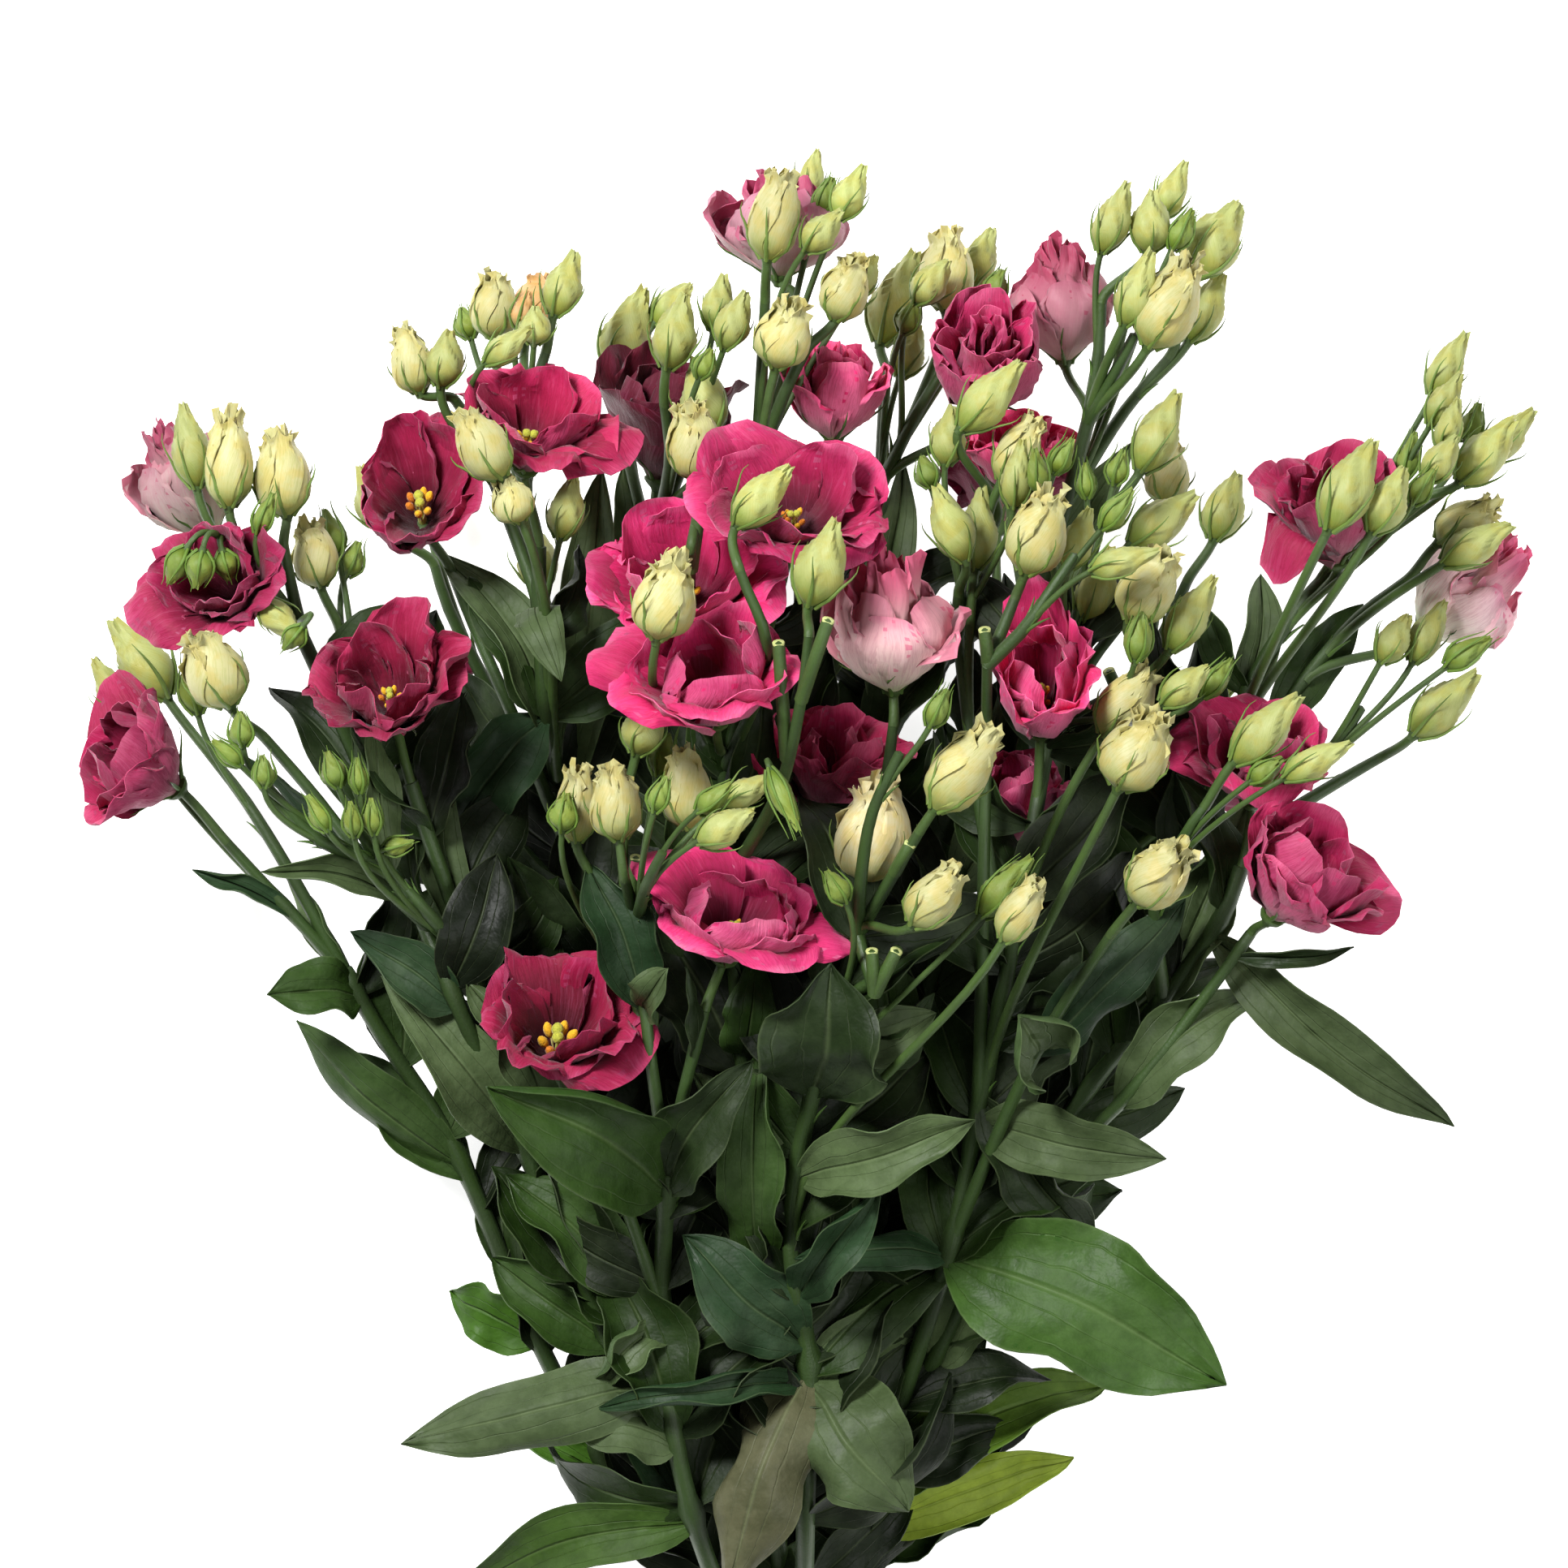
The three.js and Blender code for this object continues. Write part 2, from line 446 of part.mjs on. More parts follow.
   buds: [
     [2, 160, 426, 58, 168, 450, 58, 15, 'tight'],
     [2, 142, 440, 44, 144, 464, 40, 16, 'frilled'],
     [1, 102, 410, 28, 108, 434, 22, 15, 'tight'],
     [0, 158, 366, 22, 172, 380, 18, 9, 'green']],
   leaves: [
     [0, 104, 285, 146, 326, 44, 28, 160, 0.1],
     [0, 64, 170, 102, 210, 34, 28, 160, 0.1],
     [0, 32, 80, 70, 128, 22, 24, 150, 0.1]]}
];

// Every bloom with the limb that carries it, the foot of its cup and the middle of its mouth.
const BLOOMS = [
  {name: 'bloom_01', stem: 'stem_01', limb: 1,
    base: [-224, 333, 102], mouth: [-248, 350, 118], width: 66, form: 'cup', oval: [0.52, -0.85, 0.7]},
  {name: 'bloom_02', stem: 'stem_02', limb: 2,
    base: [-198, 400, 126], mouth: [-212, 414, 148], width: 58, form: 'open', oval: [1, -0.45, 0.85]},
  {name: 'bloom_03', stem: 'stem_02', limb: 2,
    base: [-212, 426, 108], mouth: [-226, 458, 110], width: 38, form: 'pale'},
  {name: 'bloom_04', stem: 'stem_03', limb: 0,
    base: [-142, 357, 142], mouth: [-146, 378, 168], width: 62, form: 'cup', oval: [0.15, 1, 0.94]},
  {name: 'bloom_05', stem: 'stem_04', limb: 1,
    base: [-133, 430, 112], mouth: [-135, 448, 140], width: 64, form: 'cup', oval: [0.1, 1, 0.78]},
  {name: 'bloom_06', stem: 'stem_04', limb: 0,
    base: [-95, 450, 138], mouth: [-91, 475, 158], width: 63, form: 'open', oval: [1, -0.7, 0.8]},
  {name: 'bloom_07', stem: 'stem_05', limb: 1,
    base: [-47, 447, 84], mouth: [-41, 488, 98], width: 60, form: 'cup'},
  {name: 'bloom_08', stem: 'stem_07', limb: 1,
    base: [2, 422, 156], mouth: [5, 444, 179], width: 80, form: 'open', oval: [1, -0.2, 0.85]},
  {name: 'bloom_09', stem: 'stem_07', limb: 3,
    base: [-36, 396, 138], mouth: [-36, 417, 164], width: 74, form: 'open', oval: [1, 0.1, 0.88]},
  {name: 'bloom_10', stem: 'stem_07', limb: 0,
    base: [-25, 357, 174], mouth: [-28, 384, 198], width: 66, form: 'open', oval: [1, -0.05, 0.88]},
  {name: 'bloom_11', stem: 'stem_06', limb: 0,
    base: [18, 462, 108], mouth: [20, 494, 120], width: 38, form: 'rose'},
  {name: 'bloom_12', stem: 'stem_06', limb: 3,
    base: [-2, 522, 98], mouth: [-1, 552, 100], width: 50, form: 'pale'},
  {name: 'bloom_13', stem: 'stem_13', limb: 4,
    base: [40, 369, 156], mouth: [37, 409, 174], width: 44, form: 'pale'},
  {name: 'bloom_14', stem: 'stem_08', limb: 2,
    base: [74, 474, 106], mouth: [75, 502, 136], width: 44, form: 'rose'},
  {name: 'bloom_15', stem: 'stem_09', limb: 0,
    base: [104, 491, 92], mouth: [102, 526, 98], width: 38, form: 'pale'},
  {name: 'bloom_16', stem: 'stem_09', limb: 0,
    base: [84, 440, 86], mouth: [86, 466, 98], width: 50, form: 'cup'},
  {name: 'bloom_17', stem: 'stem_10', limb: 0,
    base: [94, 354, 148], mouth: [95, 384, 180], width: 62, form: 'cup', oval: [0.05, 1, 0.66]},
  {name: 'bloom_18', stem: 'stem_06', limb: 0,
    base: [15, 322, 98], mouth: [18, 354, 116], width: 56, form: 'cup'},
  {name: 'bloom_19', stem: 'stem_11', limb: 0,
    base: [204, 416, 114], mouth: [200, 450, 134], width: 57, form: 'cup', oval: [0.1, 1, 0.9]},
  {name: 'bloom_20', stem: 'stem_11', limb: 1,
    base: [236, 390, 92], mouth: [264, 416, 98], width: 40, form: 'pale'},
  {name: 'bloom_21', stem: 'stem_12', limb: 0,
    base: [172, 328, 140], mouth: [174, 355, 160], width: 60, form: 'open'},
  {name: 'bloom_22', stem: 'stem_12', limb: 1,
    base: [178, 286, 162], mouth: [197, 311, 183], width: 61, form: 'cup', oval: [0.8, -0.6, 0.9]},
  {name: 'bloom_23', stem: 'stem_14', limb: 4,
    base: [-22, 271, 160], mouth: [-15, 295, 183], width: 68, form: 'open', oval: [1, -0.12, 0.74]},
  {name: 'bloom_24', stem: 'stem_14', limb: 6,
    base: [-84, 231, 142], mouth: [-82, 254, 168], width: 62, form: 'open', oval: [0.3, 1, 0.94]},
  {name: 'bloom_25', stem: 'stem_12', limb: 0,
    base: [84, 312, 106], mouth: [83, 340, 122], width: 46, form: 'cup'},
  {name: 'bloom_26', stem: 'stem_15', limb: 0,
    base: [-132, 352, 34], mouth: [-142, 374, 20], width: 50, form: 'cup'},
  {name: 'bloom_27', stem: 'stem_15', limb: 1,
    base: [-46, 398, 42], mouth: [-38, 420, 22], width: 54, form: 'open'},
  {name: 'bloom_28', stem: 'stem_16', limb: 0,
    base: [154, 330, 34], mouth: [168, 348, 20], width: 50, form: 'cup'},
  {name: 'bloom_29', stem: 'stem_16', limb: 1,
    base: [80, 430, 42], mouth: [85, 454, 22], width: 50, form: 'open'}
];

// Blooms that show their stigma and anthers.
const OPEN_HEARTS = ['bloom_04', 'bloom_05', 'bloom_06', 'bloom_08', 'bloom_09', 'bloom_10',
  'bloom_17', 'bloom_22', 'bloom_23', 'bloom_24'];

// Blooms at the back, with their outer petals only.
const UNDER_BLOOMS = ['bloom_16', 'bloom_18', 'bloom_25', 'bloom_26', 'bloom_27', 'bloom_28', 'bloom_29'];

// Petal profiles from the foot to the margin: distance from the axis over half the width,
// and height over the length.
const PROFILES = {
  cup: [[0.08, 0.02], [0.42, 0.36], [0.78, 0.74], [1.0, 0.98]],
  open: [[0.08, 0.02], [0.46, 0.44], [0.84, 0.78], [1.08, 0.74]],
  pale: [[0.12, 0.02], [0.66, 0.3], [0.98, 0.7], [0.78, 1.04]],
  rose: [[0.12, 0.02], [0.62, 0.3], [0.94, 0.72], [0.98, 1.0]],
};

const COLOURS = {
  stem: 0x4f6b42,
  bloom: 0xc23a6b,
  pale: 0xd98ba0,
  heart: 0xd9a32a,
  tie: 0xb89f6b,
};

// Vectors

function vector(list) {
  return new THREE.Vector3(list[0], list[1], list[2]);
}

function along(a, b, t) {
  return a.clone().lerp(b, t);
}

function sideways(direction) {
  const helper = Math.abs(direction.z) < 0.9 ? new THREE.Vector3(0, 0, 1) : new THREE.Vector3(1, 0, 0);
  return helper.cross(direction).normalize();
}

// Closed meshes

function solidFrom(vertices, faces) {
  const flat = new Float32Array(vertices.length * 3);
  vertices.forEach((v, i) => flat.set([v.x, v.y, v.z], 3 * i));
  const mesh = new wasm.Mesh({ numProp: 3, vertProperties: flat, triVerts: new Uint32Array(faces.flat()) });
  return new wasm.Manifold(mesh);
}

function signedVolume(vertices, faces) {
  let sum = 0;
  for (const [a, b, c] of faces) {
    sum += vertices[a].dot(vertices[b].clone().cross(vertices[c]));
  }
  return sum / 6;
}

function outward(vertices, faces) {
  if (signedVolume(vertices, faces) > 0) return faces;
  return faces.map(([a, b, c]) => [a, c, b]);
}

// A tube through the points, with a radius and a number of sides at each. A radius of zero
// ends it in a point.
function tube(points, radii, sides) {
  const vertices = [];
  const rings = [];
  let side = null;
  points.forEach((point, k) => {
    const before = points[Math.max(k - 1, 0)];
    const after = points[Math.min(k + 1, points.length - 1)];
    const direction = after.clone().sub(before).normalize();
    side = side ? side.addScaledVector(direction, -side.dot(direction)).normalize() : sideways(direction);
    const up = direction.clone().cross(side);
    const count = radii[k] === 0 ? 1 : sides[k];
    rings.push(Array.from({ length: count }, (_, i) => {
      const turn = (2 * Math.PI * i) / count;
      return vertices.push(point.clone()
        .addScaledVector(side, radii[k] * Math.cos(turn))
        .addScaledVector(up, radii[k] * Math.sin(turn))) - 1;
    }));
  });
  const faces = [];
  for (let k = 0; k + 1 < rings.length; k += 1) faces.push(...stitch(rings[k], rings[k + 1]));
  const [first, last] = [rings[0], rings[rings.length - 1]];
  for (let i = 1; i + 1 < first.length; i += 1) faces.push([first[0], first[i + 1], first[i]]);
  for (let i = 1; i + 1 < last.length; i += 1) faces.push([last[0], last[i], last[i + 1]]);
  return solidFrom(vertices, outward(vertices, faces));
}

// The strip of triangles between two rings that may differ in their number of points.
function stitch(low, high) {
  const faces = [];
  const steps = (ring) => (ring.length > 1 ? ring.length : 0);
  let i = 0;
  let j = 0;
  while (i < steps(low) || j < steps(high)) {
    const lowNext = i < steps(low) ? (i + 1) / low.length : Infinity;
    const highNext = j < steps(high) ? (j + 1) / high.length : Infinity;
    const [a, b] = [low[i % low.length], high[j % high.length]];
    if (lowNext <= highNext) {
      faces.push([a, low[(i + 1) % low.length], b]);
      i += 1;
    } else {
      faces.push([a, high[(j + 1) % high.length], b]);
      j += 1;
    }
  }
  return faces;
}

// A blade from rows of { point, normal, half }, where half is half the thickness there.
// Both faces are split into triangles alike.
function blade(rows) {
  const vertices = [];
  const top = [];
  const under = [];
  for (const row of rows) {
    const topRow = [];
    const underRow = [];
    for (const { point, normal, half } of row) {
      topRow.push(vertices.length);
      vertices.push(point.clone().addScaledVector(normal, half));
      if (half > 0) {
        underRow.push(vertices.length);
        vertices.push(point.clone().addScaledVector(normal, -half));
      } else {
        underRow.push(vertices.length - 1);
      }
    }
    top.push(topRow);
    under.push(underRow);
  }
  const faces = [];
  const addFace = (a, b, c) => {
    if (a !== b && b !== c && c !== a) faces.push([a, b, c]);
  };
  for (let j = 0; j + 1 < rows.length; j += 1) {
    const near = rows[j];
    const far = rows[j + 1];
    const at = (line, i) => line[Math.min(i, line.length - 1)];
    for (let i = 0; i + 1 < Math.max(near.length, far.length); i += 1) {
      const straight = at(near, i).half > 0 || at(far, i + 1).half > 0;
      for (const [grid, flip] of [[top, false], [under, true]]) {
        const [low, high] = [grid[j], grid[j + 1]];
        const [a, b, c, d] = [at(low, i), at(low, i + 1), at(high, i + 1), at(high, i)];
        const pair = straight ? [[a, b, c], [a, c, d]] : [[a, b, d], [b, c, d]];
        for (const [p, q, r] of pair) {
          if (flip) addFace(p, r, q);
          else addFace(p, q, r);
        }
      }
    }
  }
  const rim = [];
  const last = rows.length - 1;
  for (let i = 0; i + 1 < rows[0].length; i += 1) rim.push([[0, i], [0, i + 1]]);
  for (let j = 0; j < last; j += 1) rim.push([[j, rows[j].length - 1], [j + 1, rows[j + 1].length - 1]]);
  for (let i = rows[last].length - 1; i > 0; i -= 1) rim.push([[last, i], [last, i - 1]]);
  for (let j = last; j > 0; j -= 1) rim.push([[j, 0], [j - 1, 0]]);
  for (const [[j, i], [m, n]] of rim) {
    addFace(top[j][i], under[j][i], top[m][n]);
    addFace(under[j][i], under[m][n], top[m][n]);
  }
  return solidFrom(vertices, outward(vertices, faces));
}

// Placing: everything keeps its place in X and Y, and is lifted or lowered until what
// belongs to different pieces passes clear. A point rides on the lifts of a few free points.

const lifts = [];

function freePoint(list) {
  lifts.push(0);
  return { at: vector(list), rides: [[lifts.length - 1, 1]] };
}

function fixedPoint(list) {
  return { at: vector(list), rides: [] };
}

function pointBetween(a, b, t) {
  const share = (point, weight) => point.rides.map(([index, part]) => [index, part * weight]);
  return { at: along(a.at, b.at, t), rides: [...share(a, 1 - t), ...share(b, t)] };
}

function settled(point) {
  const place = point.at.clone();
  for (const [index, part] of point.rides) place.z += part * lifts[index];
  return place;
}

// The point of a limb that lies nearest to the target as seen from above.
function pointOnLimb(limb, target) {
  let best = null;
  for (let k = 0; k + 1 < limb.length; k += 1) {
    const a = new THREE.Vector2(limb[k].at.x, limb[k].at.y);
    const span = new THREE.Vector2(limb[k + 1].at.x, limb[k + 1].at.y).sub(a);
    const toTarget = new THREE.Vector2(target.x, target.y).sub(a);
    const t = THREE.MathUtils.clamp(toTarget.dot(span) / span.lengthSq(), 0, 1);
    const distance = toTarget.distanceTo(span.clone().multiplyScalar(t));
    if (!best || distance < best.distance) best = { k, t, distance };
  }
  return { ...best, point: pointBetween(limb[best.k], limb[best.k + 1], best.t) };
}

function bundlePlace(column, row) {
  return [column * BUNDLE_STEP, TIE_OUTER + row * BUNDLE_RISE];
}

function layOutLimbs(stem, number) {
  const [column, row] = stem.bundle;
  const [x, z] = bundlePlace(column, row);
  const end = CUT_END + CUT_END_STEP * ((number * 3) % 5 - 2);
  const endZ = STEM_RADIUS_AT_TIE + GAP + (z - TIE_OUTER) * CUT_END_SPREAD;
  const foot = [[x * CUT_END_SPREAD, end, endZ], [x, -TIE_STRAIGHT, z], [x, TIE_STRAIGHT, z]];
  const limbs = [[...foot.map(fixedPoint), ...stem.limbs[0].map(freePoint)]];
  for (const route of stem.limbs.slice(1)) {
    const found = limbs.map((limb) => pointOnLimb(limb, vector(route[0])));
    found.sort((a, b) => a.distance - b.distance);
    limbs.push([found[0].point, ...route.slice(1).map(freePoint)]);
  }
  return limbs;
}

// The stalk of a bud or bloom leaves its limb below it and runs into its axis.
function layOutStalk(limb, base, tip, reach) {
  const direction = tip.at.clone().sub(base.at).normalize();
  const root = pointOnLimb(limb, base.at.clone().addScaledVector(direction, -reach)).point;
  return stalkFrom(root, base, direction);
}

function stalkFrom(root, base, direction) {
  const distance = root.at.distanceTo(base.at);
  const bend = { at: base.at.clone().addScaledVector(direction, -STALK_BEND * distance), rides: base.rides };
  return distance > STALK_BENDS_FROM ? [root, bend, base] : [root, base];
}

function layOutBud(limbs, [limb, bx, by, bz, tx, ty, tz, width, kind], number) {
  const base = freePoint([bx, by, bz]);
  const tip = { at: vector([tx, ty, tz]), rides: base.rides };
  const reach = STALK_REACH + STALK_REACH_STEP * (number % 4);
  return { base, tip, width, kind, limb: limbs[limb], stalk: layOutStalk(limbs[limb], base, tip, reach) };
}

function layOutBloom(entry) {
  const base = freePoint(entry.base);
  const mouth = { at: vector(entry.mouth), rides: base.rides };
  const limb = stems.find(({ name }) => name === entry.stem).limbs[entry.limb];
  const stalk = layOutStalk(limb, base, mouth, STALK_REACH);
  return { ...entry, base, tip: mouth, mouth, ownLimb: limb, stalk };
}

// The bloom or bud that lies straight ahead of a limb's end grows out of that end.
function crownLimb(limb, heads) {
  const end = limb[limb.length - 1];
  const direction = end.at.clone().sub(limb[limb.length - 2].at).normalize();
  const ahead = heads.filter(({ base }) => {
    const way = base.at.clone().sub(end.at);
    const distance = way.length();
    if (distance < CROWN_NEAREST || distance > CROWN_FURTHEST) return false;
    return way.normalize().dot(direction) > CROWN_AHEAD;
  });
  if (ahead.length === 0) return;
  const [head] = ahead;
  head.stalk = stalkFrom(end, head.base, head.tip.at.clone().sub(head.base.at).normalize());
  head.crowns = true;
  limb.head = head;
}

// Share of the leaf's length, half its breadth over half the width, and the wave of its margin.
const LEAF_ROWS = [[0.2, 0.8, 0.7], [0.5, 1, -0.6], [0.78, 0.66, 0.7]];
const SMALL_LEAF_ROWS = [[0.28, 0.95, 0.6], [0.68, 0.84, -0.6]];

// A leaf as rows of points across it, from its foot on the limb to its tip.
function layOutLeaf(limbs, [limb, bx, by, tx, ty, tz, width, roll, curl]) {
  const { k, point: base } = pointOnLimb(limbs[limb], vector([bx, by, 0]));
  const down = limbs[limb][k].at.clone().sub(limbs[limb][k + 1].at).setLength(LEAF_SET_IN);
  const heel = pointOnLimb(limbs[limb], base.at.clone().add(down)).point;
  const tip = freePoint([tx, ty, tz]);
  const axis = tip.at.clone().sub(base.at);
  const length = axis.length();
  axis.normalize();
  const side = axis.clone().cross(new THREE.Vector3(0, 0, 1)).normalize();
  side.applyAxisAngle(axis, THREE.MathUtils.degToRad(roll));
  const face = side.clone().cross(axis);
  const rows = width < SMALL_LEAF ? SMALL_LEAF_ROWS : LEAF_ROWS;
  const across = rows.map(([share, breadth, wave]) => {
    const middle = pointBetween(base, tip, share);
    middle.at.addScaledVector(face, curl * length * Math.sin(Math.PI * share));
    const half = 0.5 * breadth * width;
    const edge = (sign) => ({
      at: middle.at.clone()
        .addScaledVector(side, sign * half * 0.96)
        .addScaledVector(face, half * (LEAF_FOLD + LEAF_WAVE * wave * sign)),
      rides: middle.rides,
    });
    return [edge(-1), middle, edge(1)];
  });
  return [[heel], ...across, [tip]];
}

// The leaves in the thick of the bunch, which a rule spreads over the main stems.
function thickLeaves([limb], number) {
  return THICK_HEIGHTS.map((start, k) => {
    const share = (GOLDEN * (THICK_HEIGHTS.length * number + k)) % 1;
    const top = limb[limb.length - 1].at.y - THICK_BELOW_END;
    const height = Math.min(start + THICK_SPREAD * share, top);
    const next = limb.findIndex(({ at }) => at.y > height);
    const [a, b] = [limb[next - 1].at, limb[next].at];
    const base = along(a, b, (height - a.y) / (b.y - a.y));
    const hand = (number + k) % 2 === 0 ? 1 : -1;
    const lean = hand * THREE.MathUtils.degToRad(THICK_LEAN + THICK_LEAN_SPREAD * share);
    const tip = [base.x + THICK_LENGTH * Math.sin(lean), base.y + THICK_LENGTH * Math.cos(lean)];
    const tipZ = Math.max(base.z - THICK_DROP * THICK_LENGTH * share, THICK_LOWEST);
    const roll = THICK_ROLL * (share - 0.5);
    return [0, base.x, base.y, ...tip, tipZ, THICK_WIDTH, roll, THICK_CURL];
  });
}

const stems = STEMS.map((stem, number) => {
  const limbs = layOutLimbs(stem, number);
  return {
    ...stem,
    limbs,
    buds: stem.buds.filter((bud) => bud[7] >= SMALLEST_BUD).map((bud, place) => layOutBud(limbs, bud, place)),
    leaves: [...stem.leaves, ...thickLeaves(limbs, number)].map((leaf) => layOutLeaf(limbs, leaf)),
  };
});
const blooms = BLOOMS.map(layOutBloom);
for (const stem of stems) {
  for (const limb of stem.limbs) {
    crownLimb(limb, blooms.filter(({ ownLimb }) => ownLimb === limb));
    if (!limb.head) crownLimb(limb, stem.buds.filter((bud) => bud.limb === limb));
  }
}

function limbRadius(limbNumber, point, limb) {
  if (limbNumber === 0) {
    const rise = THREE.MathUtils.clamp(point.at.y / STEM_TOP, 0, 1);
    return THREE.MathUtils.lerp(STEM_RADIUS_AT_TIE, STEM_RADIUS_AT_TOP, rise);
  }
  const share = limb.indexOf(point) / (limb.length - 1);
  return THREE.MathUtils.lerp(BRANCH_RADIUS, BRANCH_TIP_RADIUS, share);
}

// The places of a bloom's cup: round each row of its profile, and its axis.
function bloomFrame({ base, mouth, name, oval }) {
  const foot = settled(base);
  const axis = settled(mouth).sub(foot);
  const length = axis.length();
  axis.normalize();
  const side = oval ? longWay(axis, oval) : sideways(axis);
  const up = axis.clone().cross(side).multiplyScalar(oval ? oval[2] : 1);
  return { foot, axis, length, side, up, turn: 0.6 * Number(name.slice(-2)) };
}

// The long way of an oval bloom, square to its axis.
function longWay(axis, [x, y]) {
  const way = new THREE.Vector3(x, y, 0);
  return way.addScaledVector(axis, -way.dot(axis)).normalize();
}

function placeInBloom(frame, out, angle, height) {
  return frame.foot.clone()
    .addScaledVector(frame.axis, height)
    .addScaledVector(frame.side, out * Math.cos(angle))
    .addScaledVector(frame.up, out * Math.sin(angle));
}

// What keeps clear of what, as rods { a, b, radius } gathered in items { node, with, rods }.
function listItems() {
  const items = [];
  const rod = (a, b, radius) => ({ a, b, radius });
  for (const stem of stems) {
    stem.limbs.forEach((limb, number) => {
      for (let k = 0; k + 1 < limb.length; k += 1) {
        const radius = limbRadius(number, limb[k], limb);
        items.push({ node: stem.name, rods: [rod(limb[k], limb[k + 1], radius)], limb: number });
      }
    });
    for (const { stalk, base, tip, width } of stem.buds) {
      for (let k = 0; k + 1 < stalk.length; k += 1) {
        items.push({ node: stem.name, rods: [rod(stalk[k], stalk[k + 1], PEDICEL_RADIUS)] });
      }
      items.push({ node: stem.name, rods: [rod(base, tip, BUD_ROD * width)] });
    }
    for (const rows of stem.leaves) {
      const rods = [];
      for (let j = 0; j + 1 < rows.length; j += 1) {
        rows[j].forEach((point, i) => {
          const far = rows[j + 1][Math.min(i, rows[j + 1].length - 1)];
          rods.push(rod(point, far, LEAF_THICKNESS));
          if (i > 0) rods.push(rod(rows[j][i - 1], point, LEAF_THICKNESS));
        });
      }
      for (const edge of [rows[1][0], rows[1][2]]) rods.push(rod(rows[0][0], edge, LEAF_THICKNESS));
      items.push({ node: stem.name, rods });
    }
  }
  for (const bloom of blooms) {
    const { name, stem, limb, stalk, base, mouth, width } = bloom;
    for (let k = 0; k + 1 < stalk.length; k += 1) {
      items.push({ node: stem, rods: [rod(stalk[k], stalk[k + 1], BLOOM_STALK_RADIUS)], stalkOf: name });
    }
    const frame = bloomFrame(bloom);
    const profile = PROFILES[bloom.form];
    const at = (row, angle) => {
      const [out, up] = profile[row];
      return { at: placeInBloom(frame, 0.5 * width * out, angle, up * frame.length), rides: base.rides };
    };
    const rods = [rod(base, pointBetween(base, mouth, 0.8), BLOOM_ROD * width)];
    for (let k = 0; k < 2 * OUTER_PETALS; k += 1) {
      const angle = frame.turn + (Math.PI * k) / OUTER_PETALS;
      const next = angle + Math.PI / OUTER_PETALS;
      rods.push(rod(base, at(1, angle), PETAL_THICKNESS));
      rods.push(rod(at(1, angle), at(2, angle), PETAL_THICKNESS));
      rods.push(rod(at(2, angle), at(3, angle), PETAL_THICKNESS));
      rods.push(rod(at(2, angle), at(2, next), PETAL_THICKNESS));
      rods.push(rod(at(3, angle), at(3, next), PETAL_THICKNESS));
    }
    items.push({ node: name, rods, carrier: stem, limb });
  }
  return items;
}

// The nearest points of two rods as seen from above, as shares of their lengths.
function nearestShares(p, q, r, s) {
  const [ux, uy, vx, vy, wx, wy] = [q.x - p.x, q.y - p.y, s.x - r.x, s.y - r.y, p.x - r.x, p.y - r.y];
  const [a, b, c] = [ux * ux + uy * uy + 1e-9, ux * vx + uy * vy, vx * vx + vy * vy + 1e-9];
  const [d, e] = [ux * wx + uy * wy, vx * wx + vy * wy];
  const spread = a * c - b * b;
  let share = spread > 1e-6 ? THREE.MathUtils.clamp((b * e - c * d) / spread, 0, 1) : 0.5;
  const other = THREE.MathUtils.clamp((b * share + e) / c, 0, 1);
  share = THREE.MathUtils.clamp((b * other - d) / a, 0, 1);
  return [share, other];
}

// Where rods of two items cross or come close as seen from above: the height that they
// must keep there, and which of them passes over.
function contactsBetween(one, two) {
  const contacts = [];
  let above = 0;
  for (const first of one.rods) {
    for (const second of two.rods) {
      const need = first.radius + second.radius + ROD_GAP;
      const [p, q, r, s] = [first.a.at, first.b.at, second.a.at, second.b.at];
      const [share, other] = nearestShares(p, q, r, s);
      const a = along(p, q, share);
      const b = along(r, s, other);
      const flat = Math.hypot(a.x - b.x, a.y - b.y);
      if (flat >= need) continue;
      above += a.z - b.z;
      contacts.push({
        a: pointBetween(first.a, first.b, share),
        b: pointBetween(second.a, second.b, other),
        height: Math.sqrt(need * need - flat * flat),
      });
    }
  }
  const sign = above >= 0 ? 1 : -1;
  return contacts.map((contact) => ({ ...contact, sign }));
}

function excused(one, two) {
  if (one.node === two.node) return true;
  if (one.stalkOf === two.node || two.stalkOf === one.node) return true;
  return (one.carrier === two.node && one.limb === two.limb)
    || (two.carrier === one.node && two.limb === one.limb);
}

function listContacts(items) {
  const boxes = items.map(({ rods }) => {
    const box = new THREE.Box2();
    for (const { a, b, radius } of rods) {
      for (const { at } of [a, b]) {
        const reach = new THREE.Vector2(radius + ROD_GAP, radius + ROD_GAP);
        box.expandByPoint(new THREE.Vector2(at.x, at.y).add(reach));
        box.expandByPoint(new THREE.Vector2(at.x, at.y).sub(reach));
      }
    }
    return box;
  });
  const contacts = [];
  for (let i = 0; i < items.length; i += 1) {
    for (let j = i + 1; j < items.length; j += 1) {
      if (excused(items[i], items[j]) || !boxes[i].intersectsBox(boxes[j])) continue;
      contacts.push(...contactsBetween(items[i], items[j]));
    }
  }
  for (const { rods } of items) {
    for (const { a, b, radius } of rods) {
      for (const point of [a, b]) {
        contacts.push({ a: point, b: fixedPoint([0, 0, 0]), height: 0.6 * radius, sign: 1 });
      }
    }
  }
  return contacts;
}

const height = ({ at, rides }) => rides.reduce((sum, [index, part]) => sum + part * lifts[index], at.z);

